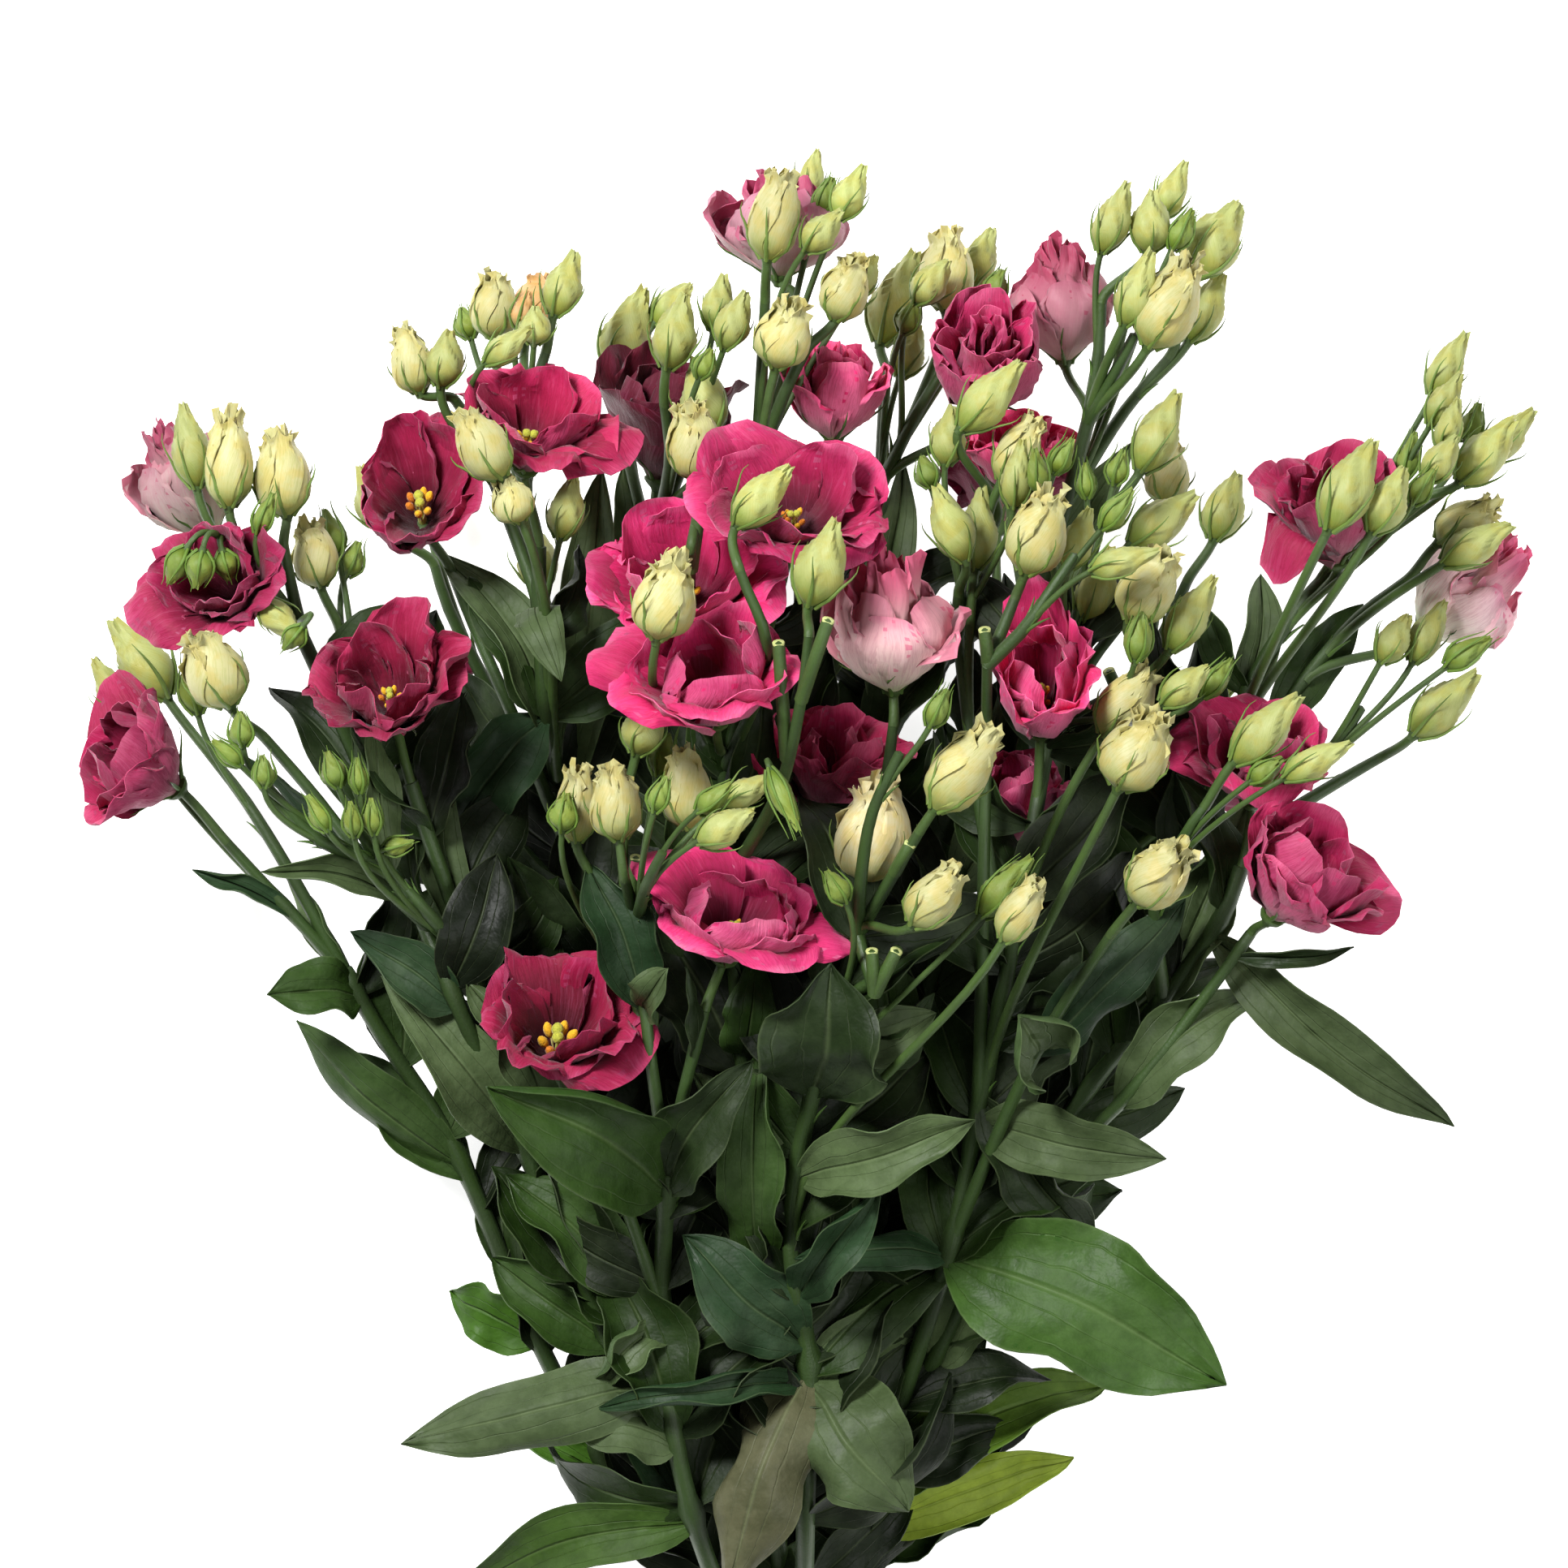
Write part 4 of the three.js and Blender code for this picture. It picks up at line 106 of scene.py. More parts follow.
# Every stem, from the first to the sixteenth, with its column and row in the tied bundle.
# Its limbs are routes of [x, y, z], the first one from the tie upwards.
# A bud is [limb, base x, y, z, tip x, y, z, width, kind].
# A leaf is [limb, base x, y, tip x, y, z, width, roll in degrees, curl].
STEMS = [
    {"bundle": [-4, 1], "limbs": [
     [[-40, 38, 30], [-66, 78, 42], [-94, 132, 54], [-122, 198, 68], [-150, 243, 80], [-163, 266, 86]],
     [[-163, 266, 86], [-188, 293, 92], [-206, 313, 97]],
     [[-163, 266, 86], [-184, 304, 92], [-199, 328, 88], [-209, 341, 86]]],
     "buds": [
     [2, -229, 367, 82, -247, 396, 84, 18, "tight"], [2, -217, 361, 90, -221, 382, 90, 11, "green"],
     [1, -243, 358, 84, -255, 381, 82, 12, "tight"]],
     "leaves": [
     [1, -186, 290, -219, 303, 96, 11, 20, 0.1], [0, -158, 262, -191, 257, 104, 25, 10, 0.15],
     [2, -167, 272, -185, 306, 76, 14, -20, 0.1], [0, -122, 198, -181, 247, 62, 26, -25, 0.2],
     [0, -94, 132, -126, 145, 40, 24, -20, 0.1], [0, -66, 78, -112, 101, 28, 20, 15, 0.15]]},
    {"bundle": [-3, 2], "limbs": [
     [[-34, 58, 46], [-60, 118, 66], [-92, 190, 88], [-122, 258, 104],
      [-148, 322, 116], [-167, 366, 122], [-177, 388, 124]],
     [[-177, 388, 124], [-181, 406, 127], [-184, 422, 128]],
     [[-177, 388, 124], [-190, 404, 122], [-200, 420, 122]],
     [[-148, 322, 116], [-156, 362, 110], [-164, 392, 108]]],
     "buds": [
     [1, -183, 434, 128, -187, 467, 132, 20, "frilled"],
     [1, -204, 437, 134, -204, 474, 136, 17, "frilled"],
     [2, -216, 444, 132, -220, 474, 134, 14, "tight"], [1, -193, 427, 146, -188, 441, 148, 7, "green"],
     [3, -171, 408, 112, -176, 433, 116, 16, "frilled"],
     [3, -165, 420, 104, -169, 436, 102, 9, "green"], [3, -162, 412, 100, -157, 424, 100, 9, "green"],
     [2, -221, 421, 158, -228, 405, 162, 9, "green"], [2, -213, 421, 162, -217, 404, 166, 8, "green"],
     [1, -192, 402, 152, -177, 387, 158, 11, "tight"]],
     "leaves": [
     [0, -148, 322, -190, 372, 98, 24, 25, 0.1], [0, -139, 300, -198, 350, 116, 13, -35, 0.1],
     [0, -98, 205, -149, 264, 120, 30, 15, 0.25], [0, -122, 258, -159, 279, 118, 24, -10, 0.1],
     [0, -66, 130, -104, 180, 58, 14, 50, 0.1], [0, -66, 130, -108, 158, 52, 28, 0, 0.15]]},
    {"bundle": [-1, 2], "limbs": [
     [[-28, 80, 60], [-58, 150, 86], [-88, 215, 108],
      [-112, 265, 124], [-128, 308, 134], [-137, 335, 140]],
     [[-112, 265, 124], [-132, 289, 146], [-148, 306, 158], [-158, 322, 164]],
     [[-112, 265, 124], [-146, 297, 132], [-172, 330, 138], [-190, 351, 140]],
     [[-148, 306, 158], [-170, 314, 156], [-186, 330, 158], [-194, 340, 160]]],
     "buds": [
     [2, -203, 364, 142, -215, 392, 150, 22, "frilled"],
     [1, -163, 334, 168, -167, 346, 170, 9, "green"], [1, -155, 332, 172, -156, 344, 174, 6, "green"],
     [1, -157, 316, 176, -158, 328, 180, 7, "green"], [1, -150, 317, 176, -151, 329, 180, 7, "green"],
     [1, -167, 318, 168, -174, 330, 170, 7, "green"], [1, -146, 311, 172, -136, 314, 176, 7, "green"],
     [3, -198, 349, 162, -199, 361, 164, 9, "green"], [3, -199, 342, 168, -208, 351, 172, 7, "green"],
     [3, -190, 334, 170, -190, 345, 172, 8, "green"]],
     "leaves": [
     [2, -146, 297, -191, 303, 150, 18, 15, 0.15], [1, -148, 306, -152, 362, 152, 17, 20, 0.1],
     [0, -117, 275, -127, 352, 116, 20, -20, 0.15], [0, -88, 215, -116, 262, 126, 24, 10, 0.15],
     [0, -58, 150, -103, 190, 84, 30, 5, 0.15]]},
    {"bundle": [-2, 1], "limbs": [
     [[-22, 70, 40], [-44, 150, 62], [-66, 240, 88], [-80, 310, 106],
      [-88, 365, 120], [-90, 402, 130], [-90, 422, 136]],
     [[-80, 310, 106], [-98, 355, 106], [-114, 392, 108], [-123, 414, 110]],
     [[-90, 402, 130], [-102, 434, 126], [-115, 466, 126], [-121, 476, 128]],
     [[-90, 402, 130], [-95, 440, 112], [-93, 476, 106], [-88, 494, 106]]],
     "buds": [
     [2, -134, 479, 124, -141, 503, 126, 15, "frilled"],
     [2, -126, 481, 142, -123, 501, 146, 14, "tight"],
     [3, -107, 500, 104, -107, 525, 106, 17, "frilled"], [3, -98, 503, 124, -94, 516, 126, 8, "green"],
     [3, -92, 497, 128, -91, 510, 132, 12, "tight"], [3, -85, 508, 108, -77, 531, 108, 14, "tight"],
     [3, -116, 500, 92, -119, 511, 92, 9, "green"], [2, -109, 489, 156, -93, 501, 162, 10, "tight"],
     [3, -95, 503, 86, -90, 524, 84, 16, "frilled"], [0, -103, 447, 184, -118, 471, 190, 18, "frilled"],
     [0, -96, 431, 178, -103, 447, 182, 15, "frilled"], [0, -82, 425, 150, -77, 447, 152, 13, "tight"]],
     "leaves": [
     [0, -88, 365, -123, 316, 98, 30, 20, 0.2], [0, -86, 355, -126, 421, 136, 27, 25, 0.2],
     [0, -90, 402, -81, 371, 166, 18, 0, 0.35], [0, -83, 330, -66, 450, 88, 28, -10, 0.1],
     [0, -70, 262, -102, 309, 122, 27, -5, 0.15], [0, -50, 175, -90, 226, 92, 26, 5, 0.15]]},
    {"bundle": [-1, 0], "limbs": [
     [[-10, 80, 26], [-22, 160, 40], [-33, 250, 56], [-40, 330, 70], [-44, 400, 82], [-46, 432, 88]],
     [[-44, 400, 82], [-54, 440, 72], [-61, 470, 70]],
     [[-46, 432, 88], [-42, 455, 112], [-44, 474, 124]],
     [[-46, 432, 88], [-34, 462, 104], [-28, 482, 116]]],
     "buds": [
     [1, -64, 488, 72, -51, 518, 74, 18, "tight"], [1, -48, 506, 66, -35, 521, 64, 12, "tight"],
     [2, -43, 488, 132, -36, 514, 138, 16, "tight"], [3, -22, 495, 128, -15, 515, 134, 13, "tight"],
     [3, -26, 502, 108, -22, 522, 108, 12, "tight"], [3, -31, 484, 136, -27, 494, 138, 8, "green"],
     [3, -27, 463, 112, -33, 491, 112, 17, "tight"]],
     "leaves": [
     [0, -44, 400, -58, 452, 66, 22, -15, 0.1], [0, -36, 280, 2, 330, 78, 28, 10, 0.1],
     [0, -40, 335, -92, 345, 46, 26, -150, 0.1]]},
    {"bundle": [0, 1], "limbs": [
     [[0, 80, 44], [-2, 170, 66], [-6, 260, 86], [-10, 340, 100], [-11, 410, 110], [-10, 450, 114]],
     [[-10, 450, 114], [-8, 490, 118], [-7, 512, 124]],
     [[-10, 450, 114], [0, 478, 128], [8, 494, 132]],
     [[-10, 450, 114], [0, 490, 106], [4, 515, 104]]],
     "buds": [
     [1, -6, 528, 132, 0, 563, 138, 18, "frilled"], [3, 8, 552, 92, 13, 569, 92, 9, "tight"],
     [3, 20, 543, 124, 29, 562, 126, 12, "tight"], [3, 13, 545, 112, 18, 558, 112, 8, "green"],
     [1, 8, 531, 142, 20, 545, 148, 12, "tight"], [2, 19, 506, 134, 27, 530, 140, 17, "frilled"],
     [2, 25, 514, 112, 34, 529, 112, 11, "tight"], [0, -3, 488, 150, 4, 514, 156, 20, "frilled"]],
     "leaves": [
     [0, -4, 215, -40, 275, 96, 26, 10, 0.15], [0, -1, 130, 28, 190, 74, 24, 5, 0.1],
     [0, -10, 340, 25, 400, 92, 24, -15, 0.1]]},
    {"bundle": [0, 3], "limbs": [
     [[-4, 80, 66], [-10, 160, 100], [-16, 240, 130], [-20, 300, 150], [-22, 340, 162]],
     [[-22, 340, 162], [-14, 372, 110], [-4, 402, 100]],
     [[-20, 300, 150], [-2, 332, 182], [6, 364, 198], [9, 388, 206]],
     [[-22, 340, 162], [-34, 380, 150], [-34, 420, 152]],
     [[-22, 340, 162], [-6, 380, 206], [-16, 412, 212]]],
     "buds": [
     [2, 9, 400, 208, 19, 430, 214, 18, "tight"], [4, -17, 429, 200, 1, 450, 208, 15, "tight"],
     [3, -46, 388, 196, -39, 420, 204, 22, "frilled"], [3, -31, 447, 160, -35, 476, 168, 20, "frilled"],
     [2, -5, 340, 210, 4, 318, 216, 8, "green"]],
     "leaves": [
     [0, -16, 240, -10, 272, 156, 22, 10, 0.3], [0, -10, 160, -10, 236, 132, 26, -10, 0.15],
     [0, -20, 300, -48, 340, 140, 22, 10, 0.1], [0, -20, 300, 18, 322, 150, 20, -15, 0.15]]},
    {"bundle": [1, 0], "limbs": [
     [[8, 80, 24], [16, 170, 34], [26, 260, 44], [33, 340, 52], [36, 400, 58], [36, 446, 64]],
     [[36, 446, 64], [37, 472, 64], [38, 488, 62]],
     [[36, 446, 64], [48, 470, 80], [60, 490, 84]]],
     "buds": [
     [1, 36, 499, 58, 48, 532, 56, 18, "tight"], [2, 60, 511, 82, 60, 542, 84, 20, "frilled"],
     [2, 67, 517, 66, 78, 541, 64, 14, "tight"], [2, 49, 513, 100, 60, 528, 106, 13, "tight"],
     [1, 44, 502, 98, 49, 513, 102, 9, "green"], [1, 43, 486, 80, 50, 505, 78, 12, "tight"],
     [2, 76, 514, 84, 81, 525, 86, 9, "green"]],
     "leaves": [
     [0, 34, 365, 46, 456, 56, 20, 10, 0.1], [0, 26, 260, 62, 330, 60, 30, 5, 0.1],
     [0, 14, 150, 48, 214, 42, 28, 150, 0.1]]},
    {"bundle": [2, 1], "limbs": [
     [[16, 80, 38], [34, 170, 54], [54, 260, 70], [74, 340, 86],
      [92, 400, 98], [104, 438, 106], [112, 468, 112]],
     [[112, 468, 112], [116, 494, 116], [117, 512, 118]],
     [[112, 468, 112], [124, 490, 126], [129, 500, 130]],
     [[104, 438, 106], [124, 470, 98], [142, 492, 96]]],
     "buds": [
     [1, 117, 531, 120, 126, 556, 124, 13, "tight"], [1, 134, 531, 118, 137, 553, 122, 15, "tight"],
     [3, 139, 544, 104, 148, 564, 104, 11, "tight"], [3, 143, 532, 120, 150, 546, 122, 9, "green"],
     [3, 151, 523, 104, 168, 549, 104, 20, "tight"], [1, 125, 504, 136, 136, 529, 144, 14, "tight"],
     [2, 134, 496, 134, 151, 532, 140, 22, "frilled"], [3, 150, 499, 94, 163, 523, 94, 14, "tight"]],
     "leaves": [
     [0, 92, 400, 128, 461, 86, 18, 10, 0.1], [0, 64, 300, 104, 352, 76, 30, 5, 0.1],
     [0, 44, 215, 34, 290, 78, 24, -15, 0.1]]},
    {"bundle": [1, 2], "limbs": [
     [[14, 32, 32], [30, 62, 46], [45, 110, 68], [62, 165, 92], [72, 215, 108],
      [82, 265, 120], [90, 310, 130], [97, 350, 140], [102, 376, 144]],
     [[62, 165, 92], [84, 218, 126], [100, 250, 148], [119, 279, 168]],
     [[72, 215, 108], [73, 290, 142], [74, 344, 164], [74, 378, 174]],
     [[74, 378, 174], [80, 392, 178], [84, 402, 180]],
     [[74, 378, 174], [88, 392, 190], [99, 408, 194], [106, 418, 194]],
     [[82, 265, 120], [70, 340, 126], [64, 390, 134], [64, 404, 140]],
     [[97, 350, 140], [112, 378, 124], [124, 394, 136]],
     [[102, 376, 144], [110, 406, 140], [113, 424, 134]],
     [[64, 390, 134], [72, 418, 132], [78, 432, 136]]],
     "buds": [
     [3, 88, 412, 184, 99, 443, 190, 21, "frilled"], [5, 66, 417, 158, 56, 443, 166, 15, "tight"],
     [5, 70, 414, 142, 73, 443, 148, 14, "tight"], [8, 65, 465, 158, 87, 488, 162, 16, "tight"],
     [8, 59, 452, 150, 61, 473, 152, 13, "tight"], [8, 54, 444, 142, 51, 455, 142, 9, "green"],
     [8, 80, 446, 150, 94, 471, 154, 15, "frilled"], [8, 84, 436, 166, 86, 460, 170, 11, "tight"],
     [7, 93, 441, 168, 92, 457, 172, 9, "green"], [7, 99, 449, 152, 105, 461, 154, 8, "green"],
     [7, 111, 440, 150, 110, 452, 152, 7, "green"], [7, 121, 445, 148, 124, 457, 150, 8, "green"],
     [7, 131, 450, 130, 145, 478, 130, 16, "tight"], [7, 128, 423, 118, 151, 441, 116, 16, "tight"],
     [7, 104, 414, 166, 111, 435, 172, 12, "tight"], [4, 112, 412, 204, 135, 420, 212, 11, "tight"],
     [4, 116, 428, 196, 127, 441, 200, 9, "green"], [6, 110, 394, 140, 121, 421, 144, 14, "tight"],
     [6, 127, 394, 176, 140, 422, 182, 20, "frilled"], [6, 128, 380, 184, 131, 398, 188, 10, "green"],
     [6, 141, 384, 168, 156, 410, 170, 14, "tight"], [6, 138, 364, 186, 155, 377, 190, 12, "tight"],
     [6, 153, 367, 172, 163, 380, 172, 9, "green"], [0, 117, 353, 170, 134, 378, 176, 18, "frilled"],
     [0, 122, 334, 190, 136, 363, 200, 24, "frilled"], [1, 129, 292, 178, 146, 314, 190, 21, "frilled"]],
     "leaves": [
     [0, 62, 165, 164, 112, 112, 54, -5, 0.15], [0, 62, 165, 2, 158, 122, 17, 20, 0.15],
     [0, 72, 215, 141, 197, 126, 27, 10, 0.2], [1, 96, 240, 84, 252, 172, 46, 0, 0.05],
     [1, 96, 240, 148, 292, 142, 25, 10, 0.15], [0, 80, 255, 114, 298, 108, 44, -5, 0.1],
     [0, 34, 75, 121, 113, 36, 34, -25, 0.1], [0, 74, 225, 116, 164, 86, 28, 10, 0.15],
     [0, 30, 62, 106, 86, 28, 24, 30, 0.1]]},
    {"bundle": [4, 1], "limbs": [
     [[30, 62, 30], [62, 130, 46], [98, 200, 64], [130, 262, 78], [152, 315, 90],
      [172, 370, 100], [192, 402, 106], [214, 424, 110], [230, 438, 114]],
     [[152, 315, 90], [184, 362, 86], [210, 394, 90], [230, 410, 96]],
     [[130, 262, 78], [176, 318, 92], [204, 350, 104], [213, 363, 110]],
     [[176, 318, 92], [206, 336, 86], [220, 344, 84]]],
     "buds": [
     [0, 199, 428, 168, 215, 460, 170, 18, "tight"], [0, 215, 427, 162, 227, 450, 164, 15, "tight"],
     [0, 239, 478, 114, 251, 501, 114, 12, "tight"], [0, 238, 467, 124, 249, 485, 126, 11, "tight"],
     [0, 242, 457, 132, 248, 476, 134, 10, "tight"], [0, 228, 447, 118, 233, 464, 118, 8, "green"],
     [0, 236, 446, 136, 247, 462, 140, 12, "tight"], [0, 231, 438, 142, 238, 450, 146, 8, "green"],
     [0, 252, 461, 108, 256, 475, 108, 9, "green"], [0, 249, 446, 120, 269, 468, 122, 16, "tight"],
     [0, 258, 454, 98, 277, 473, 96, 13, "tight"], [1, 242, 424, 102, 264, 440, 104, 17, "frilled"],
     [1, 243, 416, 120, 267, 431, 124, 14, "tight"], [2, 220, 380, 118, 230, 397, 120, 12, "tight"],
     [2, 232, 380, 112, 243, 402, 112, 12, "tight"], [2, 244, 378, 124, 259, 389, 128, 10, "green"],
     [3, 233, 353, 98, 255, 376, 100, 16, "tight"]],
     "leaves": [
     [0, 148, 306, 154, 393, 72, 30, 0, 0.1], [0, 172, 370, 177, 413, 84, 17, 10, 0.1],
     [1, 184, 362, 214, 401, 72, 20, 5, 0.1], [0, 98, 200, 147, 228, 56, 24, -20, 0.1],
     [0, 62, 130, 88, 178, 44, 24, -150, 0.1]]},
    {"bundle": [3, 2], "limbs": [
     [[28, 60, 42], [56, 122, 64], [86, 180, 90], [112, 222, 106],
      [140, 256, 122], [160, 284, 132], [168, 304, 136]],
     [[86, 180, 90], [126, 220, 130], [154, 256, 148], [171, 280, 158]],
     [[140, 256, 122], [136, 292, 158], [146, 316, 180], [153, 326, 184]]],
     "buds": [
     [2, 164, 343, 192, 187, 366, 198, 16, "tight"], [2, 170, 336, 196, 181, 344, 200, 9, "green"],
     [2, 182, 337, 204, 205, 350, 210, 11, "tight"]],
     "leaves": [
     [1, 126, 220, 174, 259, 130, 28, -15, 0.2], [0, 160, 284, 247, 208, 118, 25, 10, 0.15],
     [1, 168, 276, 209, 274, 156, 9, 20, 0.1], [0, 112, 222, 122, 296, 100, 28, 0, 0.1],
     [0, 140, 256, 172, 330, 112, 30, -5, 0.1], [0, 56, 122, 84, 166, 82, 26, 10, 0.1]]},
    {"bundle": [2, 3], "limbs": [
     [[8, 62, 62], [9, 118, 92], [4, 150, 108], [3, 182, 122], [13, 232, 146], [27, 280, 166]],
     [[27, 280, 166], [28, 300, 184], [32, 324, 198], [42, 346, 206]],
     [[27, 280, 166], [40, 302, 182], [49, 317, 190]],
     [[13, 232, 146], [26, 268, 146], [33, 288, 152]],
     [[13, 232, 146], [32, 300, 146], [38, 340, 152], [40, 356, 156]],
     [[27, 280, 166], [33, 258, 176]],
     [[20, 256, 156], [34, 264, 172], [42, 275, 178]]],
     "buds": [
     [3, 31, 299, 162, 34, 339, 170, 27, "frilled"], [2, 55, 326, 194, 77, 357, 200, 20, "frilled"],
     [1, 53, 356, 210, 59, 369, 214, 8, "green"], [0, 47, 284, 196, 64, 305, 204, 17, "frilled"],
     [0, 22, 292, 190, 16, 303, 194, 9, "green"], [0, 72, 287, 184, 89, 308, 188, 13, "green"],
     [0, 80, 278, 196, 93, 301, 202, 14, "frilled"]],
     "leaves": [
     [0, 11, 226, 17, 268, 176, 52, 0, 0.2], [0, 4, 195, 72, 213, 152, 28, 5, 0.2],
     [0, 4, 150, 36, 190, 132, 24, 5, 0.2], [0, 8, 122, -20, 36, 96, 42, 10, 0.2],
     [0, 9, 118, 46, 66, 102, 48, 0, 0.2], [0, 6, 132, -37, 168, 120, 34, 0, 0.15],
     [0, 9, 118, -69, 105, 108, 18, 15, 0.2], [0, 16, 242, 56, 250, 150, 24, 10, 0.2]]},
    {"bundle": [-2, 3], "limbs": [
     [[-26, 40, 50], [-40, 90, 78], [-45, 140, 102], [-43, 192, 124]],
     [[-43, 192, 124], [-49, 236, 150], [-54, 284, 176]],
     [[-54, 284, 176], [-58, 300, 184]],
     [[-54, 284, 176], [-50, 298, 200], [-44, 310, 212]],
     [[-43, 192, 124], [-36, 225, 140], [-29, 252, 150]],
     [[-49, 236, 150], [-66, 278, 152], [-70, 300, 156]],
     [[-45, 140, 102], [-60, 184, 118], [-70, 208, 130]]],
     "buds": [
     [5, -76, 314, 162, -75, 343, 166, 15, "frilled"], [5, -81, 318, 176, -79, 331, 180, 11, "green"],
     [2, -60, 315, 188, -64, 343, 194, 18, "frilled"], [5, -54, 346, 164, -48, 365, 168, 15, "tight"],
     [5, -46, 338, 150, -42, 353, 150, 10, "green"], [2, -34, 319, 176, -38, 349, 180, 18, "frilled"],
     [3, -47, 325, 206, -43, 337, 208, 8, "green"], [3, -31, 325, 210, -19, 334, 214, 9, "green"],
     [3, -22, 327, 198, -4, 338, 200, 10, "tight"], [3, -31, 314, 216, -11, 324, 222, 13, "tight"]],
     "leaves": [
     [0, -43, 190, -111, 225, 150, 46, 5, 0.25], [0, -43, 190, -12, 233, 148, 30, -10, 0.2],
     [1, -51, 258, -72, 306, 160, 28, 0, 0.15], [1, -51, 258, -41, 269, 184, 18, 0, 0.3],
     [4, -32, 240, -36, 268, 168, 12, 60, 0.1], [0, -45, 140, -70, 112, 100, 22, 0, 0.2],
     [0, -41, 95, -82, 98, 92, 26, 15, 0.2], [0, -34, 66, -58, 100, 66, 12, 30, 0.1],
     [0, -43, 118, -141, 89, 84, 32, 15, 0.15], [0, -34, 66, -120, 34, 34, 26, 10, 0.15]]},
    {"bundle": [-3, 0], "limbs": [
     [[-30, 80, 14], [-58, 170, 20], [-82, 250, 26], [-98, 320, 32], [-106, 362, 38]],
     [[-98, 320, 32], [-76, 362, 40], [-66, 384, 44]],
     [[-106, 362, 38], [-124, 398, 52], [-130, 416, 56]]],
     "buds": [
     [2, -148, 430, 62, -158, 452, 62, 15, "tight"], [2, -134, 440, 44, -138, 464, 40, 17, "frilled"],
     [1, -90, 408, 26, -96, 432, 20, 15, "tight"], [0, -128, 372, 18, -140, 388, 14, 9, "green"]],
     "leaves": [
     [0, -90, 285, -134, 322, 42, 28, -160, 0.1], [0, -58, 170, -94, 214, 34, 28, -160, 0.1],
     [0, -30, 80, -66, 122, 22, 24, -150, 0.1]]},
    {"bundle": [3, 0], "limbs": [
     [[32, 80, 14], [64, 170, 20], [94, 250, 26], [116, 320, 32], [126, 358, 38]],
     [[116, 320, 32], [92, 366, 40], [84, 386, 42]],
     [[126, 358, 38], [142, 392, 50], [150, 410, 56]]],
     "buds": [
     [2, 160, 426, 58, 168, 450, 58, 15, "tight"], [2, 142, 440, 44, 144, 464, 40, 16, "frilled"],
     [1, 102, 410, 28, 108, 434, 22, 15, "tight"], [0, 158, 366, 22, 172, 380, 18, 9, "green"]],
     "leaves": [
     [0, 104, 285, 146, 326, 44, 28, 160, 0.1], [0, 64, 170, 102, 210, 34, 28, 160, 0.1],
     [0, 32, 80, 70, 128, 22, 24, 150, 0.1]]},
]

# Every bloom: the number of its stem and the limb that carries it, the foot of its cup (x, y, z),
# the middle of its mouth (x, y, z), its width, form and look, whether its stamens show and, for an
# oval one, the way its long side points (x, y) and the share that its short side keeps.
BLOOMS = [
    [1, 1, -224, 333, 102, -248, 350, 118, 66, "cup", "slit", False, 0.52, -0.85, 0.7],
    [2, 2, -198, 400, 126, -212, 414, 148, 58, "open", "open", False, 1, -0.45, 0.85],
    [2, 2, -212, 426, 108, -226, 458, 110, 38, "pale", "crown", False],
    [3, 0, -142, 357, 142, -146, 378, 168, 62, "cup", "loose", True, 0.15, 1, 0.94],
    [4, 1, -133, 430, 112, -135, 448, 140, 64, "cup", "throat", True, 0.1, 1, 0.78],
    [4, 0, -95, 450, 138, -91, 475, 158, 63, "open", "open", True, 1, -0.7, 0.8],
    [5, 1, -47, 447, 84, -41, 488, 98, 60, "cup", "swirl", False],
    [7, 1, 2, 422, 156, 5, 444, 179, 80, "open", "open", True, 1, -0.2, 0.85],
    [7, 3, -36, 396, 138, -36, 417, 164, 74, "open", "open", True, 1, 0.1, 0.88],
    [7, 0, -25, 357, 174, -28, 384, 198, 66, "open", "swirl", True, 1, -0.05, 0.88],
    [6, 0, 18, 462, 108, 20, 494, 120, 38, "rose", "rose", False],
    [6, 3, -2, 522, 98, -1, 552, 100, 50, "pale", "crown", False],
    [13, 4, 40, 369, 156, 37, 409, 174, 44, "pale", "crown", False],
    [8, 2, 74, 474, 106, 75, 502, 136, 44, "rose", "rose", False],
    [9, 0, 104, 491, 92, 102, 526, 98, 38, "pale", "crown", False],
    [9, 0, 84, 440, 86, 86, 466, 98, 50, "cup", "loose", False],
    [10, 0, 94, 354, 148, 95, 384, 180, 62, "cup", "swirl", True, 0.05, 1, 0.66],
    [6, 0, 15, 322, 98, 18, 354, 116, 56, "cup", "loose", False],
    [11, 0, 204, 416, 114, 200, 450, 134, 57, "cup", "loose", False, 0.1, 1, 0.9],
    [11, 1, 236, 390, 92, 264, 416, 98, 40, "pale", "crown", False],
    [12, 0, 172, 328, 140, 174, 355, 160, 60, "open", "loose", False],
    [12, 1, 178, 286, 162, 197, 311, 183, 61, "cup", "swirl", True, 0.8, -0.6, 0.9],
    [14, 4, -22, 271, 160, -15, 295, 183, 68, "open", "swirl", True, 1, -0.12, 0.74],
    [14, 6, -84, 231, 142, -82, 254, 168, 62, "open", "open", True, 0.3, 1, 0.94],
    [12, 0, 84, 312, 106, 83, 340, 122, 46, "cup", "swirl", False],
    [15, 0, -132, 352, 34, -142, 374, 20, 50, "cup", "open", False],
    [15, 1, -46, 398, 42, -38, 420, 22, 54, "open", "open", False],
    [16, 0, 154, 330, 34, 168, 348, 20, 50, "cup", "open", False],
    [16, 1, 80, 430, 42, 85, 454, 22, 50, "open", "open", False],
]

# Vectors


def unit(v):
    return v / max(float(np.linalg.norm(v)), 1e-9)


def sideways(direction):
    helper = np.array([0.0, 0.0, 1.0]) if abs(direction[2]) < 0.9 else np.array([1.0, 0.0, 0.0])
    return unit(np.cross(helper, direction))


